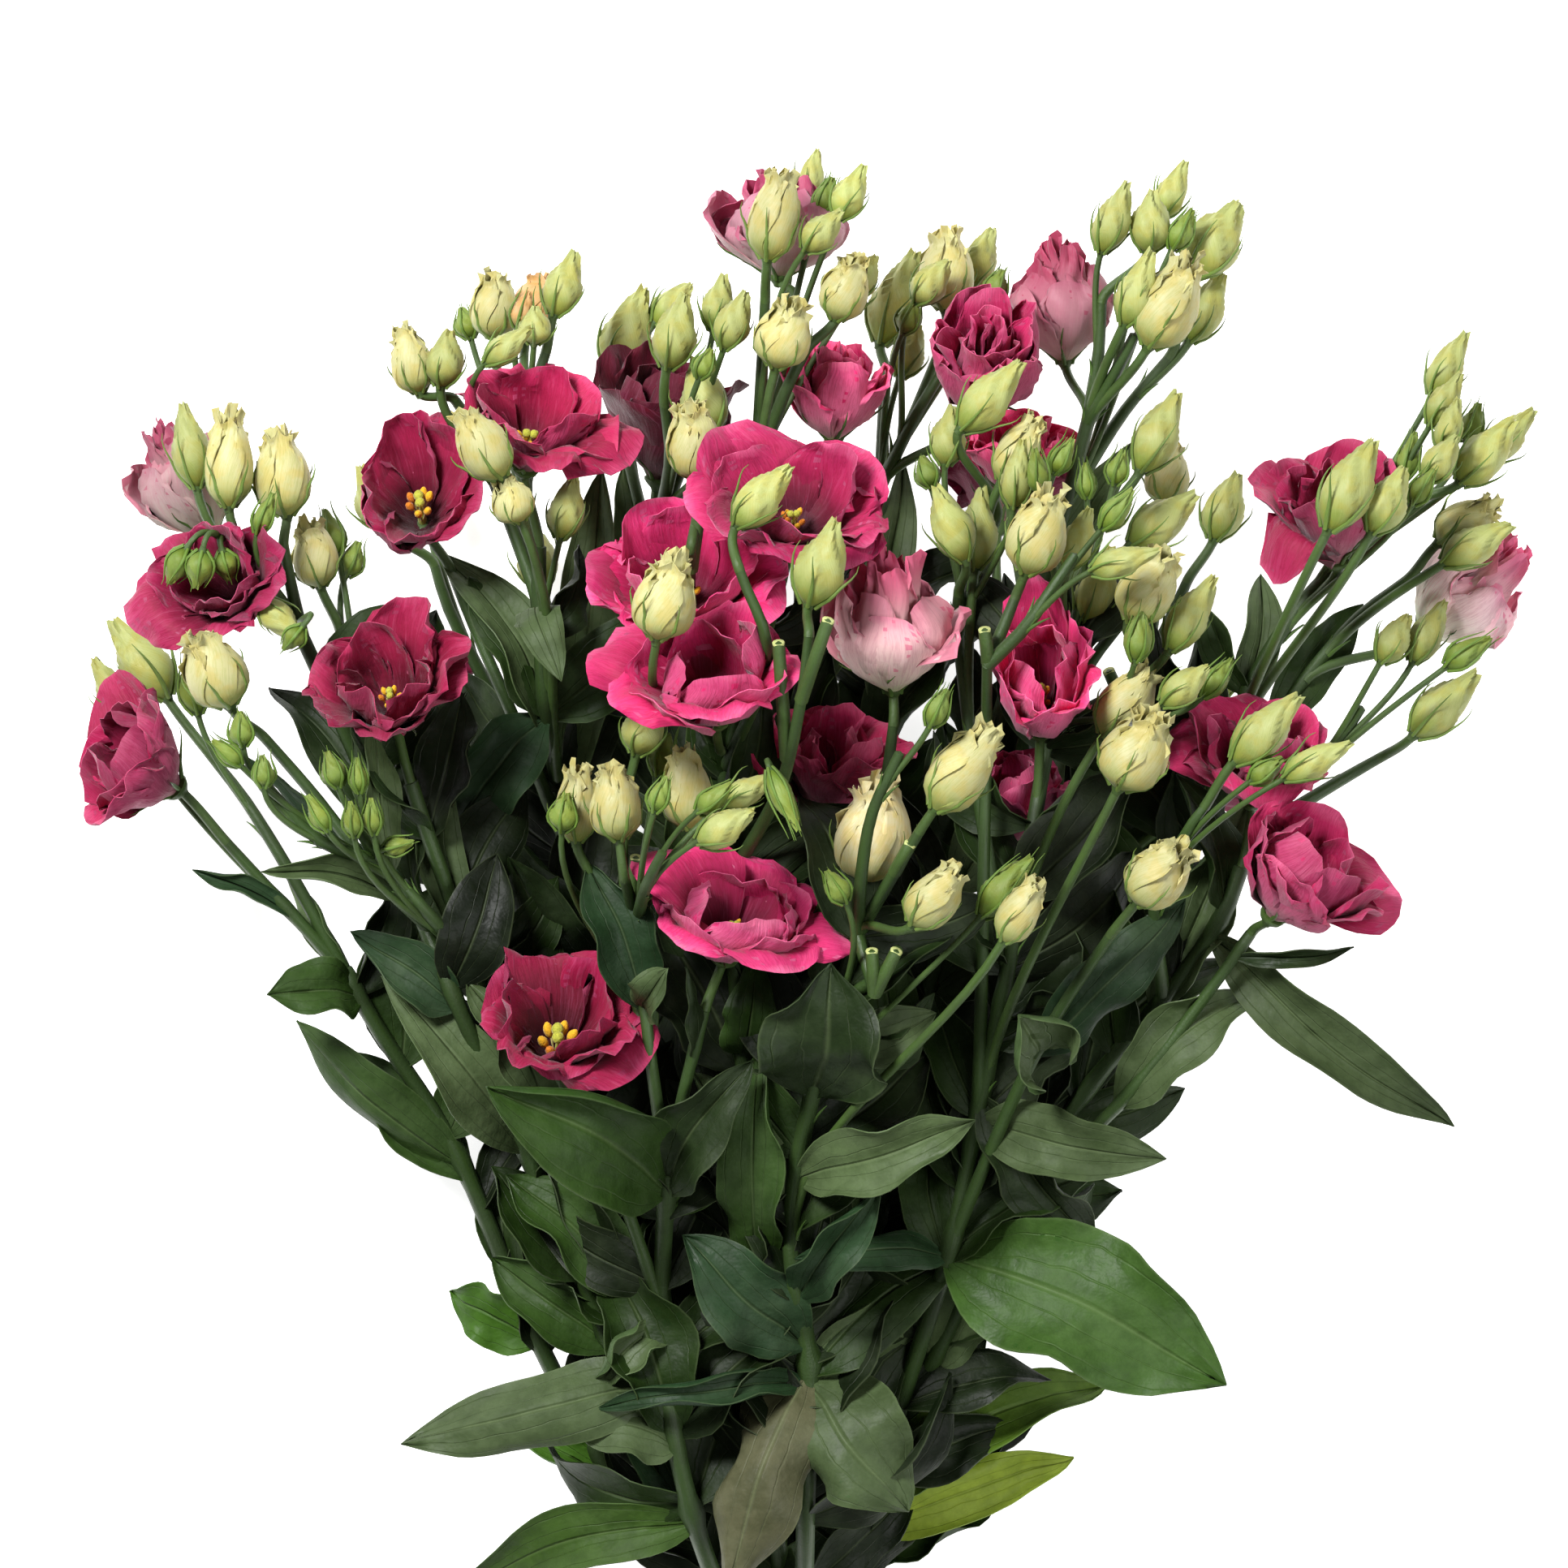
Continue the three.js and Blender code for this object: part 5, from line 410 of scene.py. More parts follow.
def turned(v, axis, angle):
    return (
        v * math.cos(angle)
        + np.cross(axis, v) * math.sin(angle)
        + axis * float(np.dot(axis, v)) * (1 - math.cos(angle))
    )


# Placing: everything keeps its place in X and Y, and is lifted or lowered until what
# belongs to different pieces passes clear. A point rides on the lifts of a few free points.

lift_count = 0
lifts = np.zeros(1)


class Point:
    def __init__(self, at, rides=()):
        self.at = np.array(at, dtype=float)
        self.rides = tuple(rides)


def free_point(at):
    global lift_count
    lift_count += 1
    return Point(at, [(lift_count - 1, 1.0)])


def between(a, b, t):
    rides = [(k, w * (1 - t)) for k, w in a.rides] + [(k, w * t) for k, w in b.rides]
    return Point(a.at + (b.at - a.at) * t, rides)


def settled(point):
    place = point.at.copy()
    for index, part in point.rides:
        place[2] += part * lifts[index]
    return place


def point_on_limb(limb, target):
    """The point of a limb that lies nearest to the target as seen from above."""
    best = None
    for k in range(len(limb) - 1):
        a = limb[k].at[:2]
        span = limb[k + 1].at[:2] - a
        to_target = np.array(target[:2]) - a
        t = min(max(float(to_target @ span) / float(span @ span), 0.0), 1.0)
        distance = float(np.linalg.norm(to_target - span * t))
        if best is None or distance < best[2]:
            best = (k, t, distance)
    k, t, distance = best
    return k, distance, between(limb[k], limb[k + 1], t)


def bundle_place(column, row):
    return column * BUNDLE_STEP, TIE_OUTER + row * BUNDLE_RISE


def lay_out_limbs(stem, number):
    x, z = bundle_place(*stem["bundle"])
    end = CUT_END + CUT_END_STEP * ((number * 3) % 5 - 2)
    end_z = STEM_RADIUS_AT_TIE + GAP + (z - TIE_OUTER) * CUT_END_SPREAD
    foot = [[x * CUT_END_SPREAD, end, end_z], [x, -TIE_STRAIGHT, z], [x, TIE_STRAIGHT, z]]
    limbs = [[Point(p) for p in foot] + [free_point(p) for p in stem["limbs"][0]]]
    for route in stem["limbs"][1:]:
        found = sorted((point_on_limb(limb, route[0]) for limb in limbs), key=lambda f: f[1])
        limbs.append([found[0][2]] + [free_point(p) for p in route[1:]])
    return limbs


def stalk_from(root, base, direction):
    distance = float(np.linalg.norm(root.at - base.at))
    bend = Point(base.at - STALK_BEND * distance * direction, base.rides)
    return [root, bend, base] if distance > STALK_BENDS_FROM else [root, base]


def lay_out_stalk(limb, base, tip, reach):
    direction = unit(tip.at - base.at)
    root = point_on_limb(limb, base.at - reach * direction)[2]
    return stalk_from(root, base, direction)


def lay_out_bud(limbs, entry, number, placed):
    limb, *numbers, width, kind = entry
    at, tip_at = np.array(numbers[:3], dtype=float), np.array(numbers[3:], dtype=float)
    reach = STALK_REACH + STALK_REACH_STEP * (number % 4)
    if placed:
        base = free_point(at)
    else:
        base = Point(at, point_on_limb(limbs[limb], at)[2].rides)
    tip = Point(tip_at, base.rides)
    stalk = lay_out_stalk(limbs[limb], base, tip, reach)
    return {"base": base, "tip": tip, "width": width, "kind": kind, "limb": limbs[limb],
            "stalk": stalk, "placed": placed, "crowns": False}


def crown_limb(limb, heads):
    """The bloom or bud that lies straight ahead of a limb's end grows out of that end."""
    end = limb[-1]
    direction = unit(end.at - limb[-2].at)
    for head in heads:
        way = head["base"].at - end.at
        distance = float(np.linalg.norm(way))
        if distance < CROWN_NEAREST or distance > CROWN_FURTHEST:
            continue
        if float(unit(way) @ direction) <= CROWN_AHEAD:
            continue
        head["stalk"] = stalk_from(end, head["base"], unit(head["tip"].at - head["base"].at))
        head["crowns"] = True
        return True
    return False


def lay_out_leaf(limbs, entry):
    limb, bx, by, tx, ty, tz, width, roll, curl = entry
    k, _, base = point_on_limb(limbs[limb], [bx, by])
    down = unit(limbs[limb][k].at - limbs[limb][k + 1].at) * LEAF_SET_IN
    heel = point_on_limb(limbs[limb], base.at + down)[2]
    tip = free_point([tx, ty, tz])
    span = tip.at - base.at
    length = float(np.linalg.norm(span))
    axis = span / length
    side = unit(np.cross(axis, [0.0, 0.0, 1.0]))
    side = turned(side, axis, math.radians(roll))
    face = np.cross(side, axis)
    rows = [[heel]]
    for share, breadth, wave in SMALL_LEAF_ROWS if width < SMALL_LEAF else LEAF_ROWS:
        middle = between(base, tip, share)
        middle.at = middle.at + face * (curl * length * math.sin(math.pi * share))
        half = 0.5 * breadth * width
        edges = [
            Point(
                middle.at + side * (sign * half * LEAF_EDGE)
                + face * (half * (LEAF_FOLD + LEAF_WAVE * wave * sign)),
                middle.rides,
            )
            for sign in (-1, 1)
        ]
        rows.append([edges[0], middle, edges[1]])
    rows.append([tip])
    return {"rows": rows, "base": base, "tip": tip, "side": side, "face": face,
            "length": length, "width": width, "curl": curl}


def limb_radius(limb_number, point, limb):
    if limb_number == 0:
        rise = min(max(point.at[1] / STEM_TOP, 0.0), 1.0)
        return STEM_RADIUS_AT_TIE + (STEM_RADIUS_AT_TOP - STEM_RADIUS_AT_TIE) * rise
    place = next(k for k, p in enumerate(limb) if p is point)
    return BRANCH_RADIUS + (BRANCH_TIP_RADIUS - BRANCH_RADIUS) * place / (len(limb) - 1)


def bloom_frame(bloom):
    foot = settled(bloom["base"])
    axis = settled(bloom["tip"]) - foot
    length = float(np.linalg.norm(axis))
    axis = axis / length
    side, narrow = sideways(axis), 1.0
    if bloom["oval"]:
        x, y, narrow = bloom["oval"]
        side = np.array([x, y, 0.0])
        side = unit(side - axis * float(side @ axis))
    turn = WHORL_TURN * int(bloom["name"][-2:])
    return foot, axis, length, side, np.cross(axis, side) * narrow, turn


def bloom_rods(bloom):
    foot, axis, length, side, up, turn = bloom_frame(bloom)
    base, width = bloom["base"], bloom["width"]
    profile = PROFILES[bloom["form"]]

    def at(row, angle):
        out, rise = profile[row]
        spoke = side * math.cos(angle) + up * math.sin(angle)
        return Point(foot + axis * (rise * length) + spoke * (0.5 * width * out), base.rides)

    rods = [(base, between(base, bloom["tip"], BLOOM_ROD_END), BLOOM_ROD * width)]
    for k in range(2 * OUTER_PETALS):
        angle = turn + math.pi * k / OUTER_PETALS
        onward = angle + math.pi / OUTER_PETALS
        rods.append((base, at(1, angle), PETAL_THICKNESS))
        rods.append((at(1, angle), at(2, angle), PETAL_THICKNESS))
        rods.append((at(2, angle), at(3, angle), PETAL_THICKNESS))
        rods.append((at(2, angle), at(2, onward), PETAL_THICKNESS))
        rods.append((at(3, angle), at(3, onward), PETAL_THICKNESS))
    return rods


def list_items():
    """What keeps clear of what: items of (node, rods, marks), and a rod is (a, b, radius)."""
    items = []
    for stem in stems:
        for number, limb in enumerate(stem["limbs"]):
            for a, b in zip(limb, limb[1:]):
                items.append((stem["name"], [(a, b, limb_radius(number, a, limb))], {"limb": number}))
        for bud in stem["buds"]:
            if not bud["placed"]:
                continue
            for a, b in zip(bud["stalk"], bud["stalk"][1:]):
                items.append((stem["name"], [(a, b, PEDICEL_RADIUS)], {}))
            items.append((stem["name"], [(bud["base"], bud["tip"], BUD_ROD * bud["width"])], {}))
        for leaf in stem["leaves"]:
            rods = []
            rows = leaf["rows"]
            for near, far in zip(rows, rows[1:]):
                for i, point in enumerate(near):
                    rods.append((point, far[min(i, len(far) - 1)], LEAF_THICKNESS))
                    if i > 0:
                        rods.append((near[i - 1], point, LEAF_THICKNESS))
            for edge in (rows[1][0], rows[1][2]):
                rods.append((rows[0][0], edge, LEAF_THICKNESS))
            items.append((stem["name"], rods, {}))
    for bloom in blooms:
        for a, b in zip(bloom["stalk"], bloom["stalk"][1:]):
            items.append((bloom["stem"], [(a, b, BLOOM_STALK_RADIUS)], {"stalk_of": bloom["name"]}))
        items.append((bloom["name"], bloom_rods(bloom), {"carrier": bloom["stem"], "limb": bloom["limb"]}))
    return items


def excused(one, two):
    node, _, marks = one
    other, _, other_marks = two
    if node == other or marks.get("stalk_of") == other or other_marks.get("stalk_of") == node:
        return True
    same_limb = marks.get("limb") == other_marks.get("limb")
    return same_limb and (marks.get("carrier") == other or other_marks.get("carrier") == node)


def ride_table(points):
    most = max(max(len(p.rides) for p in points), 1)
    index = np.zeros((len(points), most), dtype=int)
    weight = np.zeros((len(points), most))
    for row, point in enumerate(points):
        for place, (k, part) in enumerate(point.rides):
            index[row, place] = k
            weight[row, place] = part
    return index, weight


def settle():
    """The lift of every free point, once all contacts have pushed for the set number of rounds."""
    items = list_items()
    rods = [rod for _, item_rods, _ in items for rod in item_rods]
    owner = np.repeat(np.arange(len(items)), [len(item_rods) for _, item_rods, _ in items])
    start = np.array([rod[0].at for rod in rods])
    stop = np.array([rod[1].at for rod in rods])
    radius = np.array([rod[2] for rod in rods])
    reach = (radius + ROD_GAP)[:, None]
    low = np.minimum(start, stop)[:, :2] - reach
    high = np.maximum(start, stop)[:, :2] + reach
    found = []
    for number, item in enumerate(items):
        mine = np.flatnonzero(owner == number)
        item_low, item_high = low[mine].min(axis=0), high[mine].max(axis=0)
        near = (owner > number) & (low <= item_high).all(axis=1) & (high >= item_low).all(axis=1)
        allowed = {o: not excused(item, items[o]) for o in set(owner[near].tolist())}
        theirs = np.array([r for r in np.flatnonzero(near) if allowed[owner[r]]], dtype=int)
        if len(theirs) == 0:
            continue
        i, j = [grid.ravel() for grid in np.meshgrid(mine, theirs, indexing="ij")]
        u, v, w = (stop[i] - start[i])[:, :2], (stop[j] - start[j])[:, :2], (start[i] - start[j])[:, :2]
        a, b, c = (u * u).sum(1) + 1e-9, (u * v).sum(1), (v * v).sum(1) + 1e-9
        d, e = (u * w).sum(1), (v * w).sum(1)
        spread = a * c - b * b
        crossing = np.clip((b * e - c * d) / np.where(spread > 1e-6, spread, 1), 0, 1)
        share = np.where(spread > 1e-6, crossing, 0.5)
        other = np.clip((b * share + e) / c, 0, 1)
        share = np.clip((b * other - d) / a, 0, 1)
        need = radius[i] + radius[j] + ROD_GAP
        p = start[i] + (stop[i] - start[i]) * share[:, None]
        q = start[j] + (stop[j] - start[j]) * other[:, None]
        flat = np.hypot(p[:, 0] - q[:, 0], p[:, 1] - q[:, 1])
        keep = flat < need
        height = np.sqrt(np.maximum(need * need - flat * flat, 0))
        found.append(np.stack([i, j, share, other, height, p[:, 2] - q[:, 2]], axis=1)[keep])
    found = np.concatenate(found)
    i, j = found[:, 0].astype(int), found[:, 1].astype(int)
    pair = owner[i] * len(items) + owner[j]
    _, group = np.unique(pair, return_inverse=True)
    sign = np.where(np.bincount(group, found[:, 5]) >= 0, 1.0, -1.0)[group]
    start_rides = ride_table([rod[0] for rod in rods])
    stop_rides = ride_table([rod[1] for rod in rods])

    def riding(rod, share):
        index = np.concatenate([start_rides[0][rod], stop_rides[0][rod]], axis=1)
        weight = np.concatenate(
            [start_rides[1][rod] * (1 - share)[:, None], stop_rides[1][rod] * share[:, None]], axis=1)
        return index, weight, start[rod, 2] + (stop[rod, 2] - start[rod, 2]) * share

    every = np.arange(len(rods))
    zeros, ones = np.zeros(len(rods)), np.ones(len(rods))
    ends = [riding(every, zeros), riding(every, ones)]
    a_index, a_weight, a_z = [np.concatenate(parts) for parts in zip(riding(i, found[:, 2]), *ends)]
    b_index, b_weight, b_z = riding(j, found[:, 3])
    floor = 2 * len(rods)
    b_index = np.concatenate([b_index, np.zeros((floor, b_index.shape[1]), dtype=int)])
    b_weight = np.concatenate([b_weight, np.zeros((floor, b_weight.shape[1]))])
    b_z = np.concatenate([b_z, np.zeros(floor)])
    need = np.concatenate([found[:, 4], REST_SHARE * radius, REST_SHARE * radius])
    sign = np.concatenate([sign, np.ones(floor)])
    half = np.where(b_weight.sum(axis=1) > 0, 0.5, 1.0)
    result = np.zeros(lift_count)
    for _ in range(ROUNDS):
        a_height = a_z + (a_weight * result[a_index]).sum(axis=1)
        b_height = b_z + (b_weight * result[b_index]).sum(axis=1)
        missing = need - sign * (a_height - b_height)
        move = half * missing * sign
        bad = missing > 0
        total = np.zeros(lift_count)
        weights = np.zeros(lift_count)
        for index, weight, way in ((a_index[bad], a_weight[bad], 1.0), (b_index[bad], b_weight[bad], -1.0)):
            push = way * move[bad][:, None] * weight
            total += np.bincount(index.ravel(), push.ravel(), lift_count)
            weights += np.bincount(index.ravel(), weight.ravel(), lift_count)
        moved = weights > 0
        result[moved] += total[moved] / np.maximum(weights[moved], LEAST_WEIGHT)
    return result


def thick_leaves(limb, number):
    """The leaves in the thick of the bunch, which a rule spreads over the main stems."""
    rows = []
    for k, start in enumerate(THICK_HEIGHTS):
        share = (GOLDEN * (len(THICK_HEIGHTS) * number + k)) % 1
        height = min(start + THICK_SPREAD * share, limb[-1].at[1] - THICK_BELOW_END)
        following = next(n for n, point in enumerate(limb) if point.at[1] > height)
        a, b = limb[following - 1].at, limb[following].at
        x, y, z = a + (b - a) * (height - a[1]) / (b[1] - a[1])
        hand = 1 if (number + k) % 2 == 0 else -1
        lean = hand * math.radians(THICK_LEAN + THICK_LEAN_SPREAD * share)
        tip_z = max(z - THICK_DROP * THICK_LENGTH * share, THICK_LOWEST)
        rows.append([0, x, y, x + THICK_LENGTH * math.sin(lean), y + THICK_LENGTH * math.cos(lean), tip_z,
                     THICK_WIDTH, THICK_ROLL * (share - 0.5), THICK_CURL])
    return rows


stems = []
for stem_number, entry in enumerate(STEMS):
    limbs = lay_out_limbs(entry, stem_number)
    placed = [bud for bud in entry["buds"] if bud[7] >= SMALLEST_BUD]
    small = [bud for bud in entry["buds"] if bud[7] < SMALLEST_BUD]
    buds = [lay_out_bud(limbs, bud, place, True) for place, bud in enumerate(placed)]
    buds += [lay_out_bud(limbs, bud, place, False) for place, bud in enumerate(small)]
    leaves = [lay_out_leaf(limbs, leaf) for leaf in entry["leaves"] + thick_leaves(limbs[0], stem_number)]
    stems.append({"name": f"stem_{stem_number + 1:02}", "limbs": limbs, "buds": buds, "leaves": leaves})
blooms = []
for bloom_number, (of_stem, limb_number, *entry) in enumerate(BLOOMS):
    foot, mouth, (width, form, look, hearted, *oval) = entry[:3], entry[3:6], entry[6:]
    base = free_point(foot)
    tip = Point(mouth, base.rides)
    stem = stems[of_stem - 1]
    own_limb = stem["limbs"][limb_number]
    blooms.append({
        "name": f"bloom_{bloom_number + 1:02}", "stem": stem["name"], "limb": limb_number, "base": base,
        "tip": tip, "width": width, "form": form, "look": look, "hearted": hearted, "oval": oval,
        "own_limb": own_limb, "crowns": False, "stalk": lay_out_stalk(own_limb, base, tip, STALK_REACH),
    })
for stem in stems:
    for limb in stem["limbs"]:
        if not crown_limb(limb, [bloom for bloom in blooms if bloom["own_limb"] is limb]):
            crown_limb(limb, [bud for bud in stem["buds"] if bud["placed"] and bud["limb"] is limb])
lifts = np.zeros(lift_count)
lifts = settle()

# Meshes

MM_PER_M = 1000
RIBS = 4


class Pile:
    """Closed shells gathered for one piece, with what its material reads at each vertex."""

    def __init__(self):
        self.places, self.flow, self.kind, self.tint = [], [], [], []
        self.quads, self.tris = [], []
        self.count = 0

    def add(self, places, quads, tris, flow, kind, tint):
        total = len(places)
        self.places.append(places)
        self.flow.append(np.broadcast_to(flow, (total, 3)))
        self.kind.append(np.broadcast_to(kind, (total, 3)))
        self.tint.append(np.broadcast_to(tint, (total, 3)))
        if len(quads):
            self.quads.append(np.asarray(quads, dtype=np.int32) + self.count)
        if len(tris):
            self.tris.append(np.asarray(tris, dtype=np.int32) + self.count)
        self.count += total

    def build(self, name, slot, node, crease):
        """The piece that takes the node's place. Edges sharper than the crease in degrees stay sharp."""
        places = np.concatenate(self.places) / MM_PER_M
        quads = np.concatenate(self.quads) if self.quads else np.zeros((0, 4), dtype=np.int32)
        tris = np.concatenate(self.tris) if self.tris else np.zeros((0, 3), dtype=np.int32)
        mesh = bpy.data.meshes.new(name)
        mesh.vertices.add(len(places))
        mesh.vertices.foreach_set("co", places.ravel())
        loops = np.concatenate([quads.ravel(), tris.ravel()])
        starts = np.concatenate([4 * np.arange(len(quads)), 4 * len(quads) + 3 * np.arange(len(tris))])
        mesh.loops.add(len(loops))
        mesh.loops.foreach_set("vertex_index", loops)
        mesh.polygons.add(len(starts))
        mesh.polygons.foreach_set("loop_start", starts.astype(np.int32))
        for label, rows in (("flow", self.flow), ("kind", self.kind), ("tint", self.tint)):
            attribute = mesh.attributes.new(label, "FLOAT_VECTOR", "POINT")
            attribute.data.foreach_set("vector", np.concatenate(rows).astype(np.float32).ravel())
        mesh.update(calc_edges=True)
        mesh.validate()
        mesh.shade_smooth()
        mesh.set_sharp_from_angle(angle=math.radians(crease))
        piece = bpy.data.objects.new(name, mesh)
        bpy.context.scene.collection.objects.link(piece)
        mesh.materials.append(MATERIALS[slot])
        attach(piece, "root")
        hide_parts(node)


def smooth_curve(points, samples):
    """A smooth curve through the rows of points at the samples, each from 0 to 1 along the rows."""
    points = np.asarray(points, dtype=float)
    padded = np.concatenate([[2 * points[0] - points[1]], points, [2 * points[-1] - points[-2]]])
    place = np.asarray(samples, dtype=float) * (len(points) - 1)
    k = np.minimum(place.astype(int), len(points) - 2)
    t = (place - k)[:, None]
    p0, p1, p2, p3 = padded[k], padded[k + 1], padded[k + 2], padded[k + 3]
    return 0.5 * (
        2 * p1 + (p2 - p0) * t + (2 * p0 - 5 * p1 + 4 * p2 - p3) * t**2
        + (3 * p1 - p0 - 3 * p2 + p3) * t**3
    )


def grid_faces(rows, columns):
    i, j = np.meshgrid(np.arange(rows - 1), np.arange(columns - 1), indexing="ij")
    corner = (i * columns + j).ravel()
    return np.stack([corner, corner + columns, corner + columns + 1, corner + 1], axis=1)


def grid_rim(rows, columns):
    near = [i * columns for i in range(rows)]
    far = [(rows - 1) * columns + j for j in range(1, columns)]
    back = [i * columns + columns - 1 for i in range(rows - 2, -1, -1)]
    home = list(range(columns - 2, 0, -1))
    return np.array(near + far + back + home)


def grid_normals(grid):
    du = np.gradient(grid, axis=0)
    dv = np.gradient(grid, axis=1)
    normal = np.cross(du, dv)
    return normal / np.maximum(np.linalg.norm(normal, axis=2, keepdims=True), 1e-9)


def add_sheet(pile, grid, thickness, along, across, kind, tint):
    """A thin closed sheet round the grid of points. Its upper face looks along du x dv."""
    rows, columns, _ = grid.shape
    normal = grid_normals(grid)
    half = 0.5 * np.broadcast_to(thickness, (rows, columns))[:, :, None]
    top = (grid + normal * half).reshape(-1, 3)
    under = (grid - normal * half).reshape(-1, 3)
    size = rows * columns
    faces = grid_faces(rows, columns)
    rim = grid_rim(rows, columns)
    onward = np.roll(rim, -1)
    side = np.stack([onward, rim, rim + size, onward + size], axis=1)
    quads = np.concatenate([faces, faces[:, ::-1] + size, side])
    along = np.broadcast_to(along, (rows, columns)).ravel()
    across = np.broadcast_to(across, (rows, columns)).ravel()
    flow = np.concatenate([
        np.stack([along, across, np.ones(size)], axis=1),
        np.stack([along, across, np.zeros(size)], axis=1),
    ])
    pile.add(np.concatenate([top, under]), quads, [], flow, kind, tint)


def travelling_frames(path):
    """Directions, sides and ups along the path, without twist."""
    direction = np.gradient(path, axis=0)
    direction /= np.maximum(np.linalg.norm(direction, axis=1, keepdims=True), 1e-9)
    sides = np.zeros_like(path)
    side = sideways(direction[0])
    for k in range(len(path)):
        side = unit(side - direction[k] * float(side @ direction[k]))
        sides[k] = side
    return direction, sides, np.cross(direction, sides)


def tube_faces(rows, columns):
    """The faces of a tube whose rings come row by row, before the two points that close it."""
    row = np.arange(rows - 1)[:, None] * columns
    here = np.arange(columns)
    after = (here + 1) % columns
    quads = np.stack([row + here, row + after, row + columns + after, row + columns + here], axis=2)
    tail, first = (rows - 1) * columns, rows * columns
    tris = np.concatenate([
        np.stack([after, here, np.full(columns, first)], axis=1),
        np.stack([here + tail, after + tail, np.full(columns, first + 1)], axis=1),
    ])
    return quads.reshape(-1, 4), tris


def add_tube(pile, path, radii, count, kind, tint, ridge=0.0, caps=(0.3, 0.3)):
    """A closed tube along the path. ridge is the depth of its ribs as a share of the radius."""
    path = np.asarray(path, dtype=float)
    radii = np.asarray(radii, dtype=float)
    direction, sides, ups = travelling_frames(path)
    turn = 2 * math.pi * np.arange(count) / count
    bulge = 1 + ridge * np.cos(RIBS * turn)
    ring = sides[:, None, :] * np.cos(turn)[:, None] + ups[:, None, :] * np.sin(turn)[:, None]
    places = path[:, None, :] + ring * (radii[:, None] * bulge[None, :])[:, :, None]
    rows = len(path)
    quads, tris = tube_faces(rows, count)
    ends = np.stack([
        path[0] - direction[0] * radii[0] * caps[0],
        path[-1] + direction[-1] * radii[-1] * caps[1],
    ])
    along = np.concatenate([np.repeat(np.linspace(0, 1, rows), count), [0, 1]])
    across = np.concatenate([np.tile(np.cos(turn), rows), [0, 0]])
    flow = np.stack([along, across, np.ones(len(along))], axis=1)
    pile.add(np.concatenate([places.reshape(-1, 3), ends]), quads, tris, flow, kind, tint)


def ease(x, low, high):
    t = np.clip((x - low) / (high - low), 0, 1)
    return t * t * (3 - 2 * t)


def waves(draw, x, y, pitch):
    """A smooth random ripple over x and y, about -1 to 1, with its main pitch along x."""
    total = np.zeros(np.broadcast(x, y).shape)
    for strength, rate, slant in ((0.55, 1.0, 0.3), (0.35, 2.1, -0.7), (0.2, 3.9, 1.1)):
        shift = draw.uniform(0, 2 * math.pi)
        slope = slant * draw.uniform(0.5, 1.5)
        total = total + strength * np.sin(2 * math.pi * (pitch * rate * x + slope * y) + shift)
    return total

# Petals, buds, leaves and stems


class Whorl:
    """The place of a ring of petals: its foot, axis, length and radius."""

    def __init__(self, foot, axis, length, radius, side=None, narrow=1.0):
        self.foot, self.axis, self.length, self.radius = foot, unit(axis), length, radius
        self.side = side if side is not None else sideways(self.axis)
        self.up = np.cross(self.axis, self.side) * narrow

    def place(self, out, angle, height):
        spoke = np.cos(angle)[..., None] * self.side + np.sin(angle)[..., None] * self.up
        return self.foot + self.axis * height[..., None] + spoke * out[..., None]


# How a petal narrows towards its foot and its margin
PETAL_TAPER = 0.26
PETAL_SHOULDER = 0.72
PETAL_CLOSE = 0.34
# How near its axis a petal may swing and come, as a share of the radius and in millimetres
SWING_NEAREST = 0.22
LEAST_OUT = 0.4
TILT_FALL = 0.4
FINE_RUFFLE = 0.18


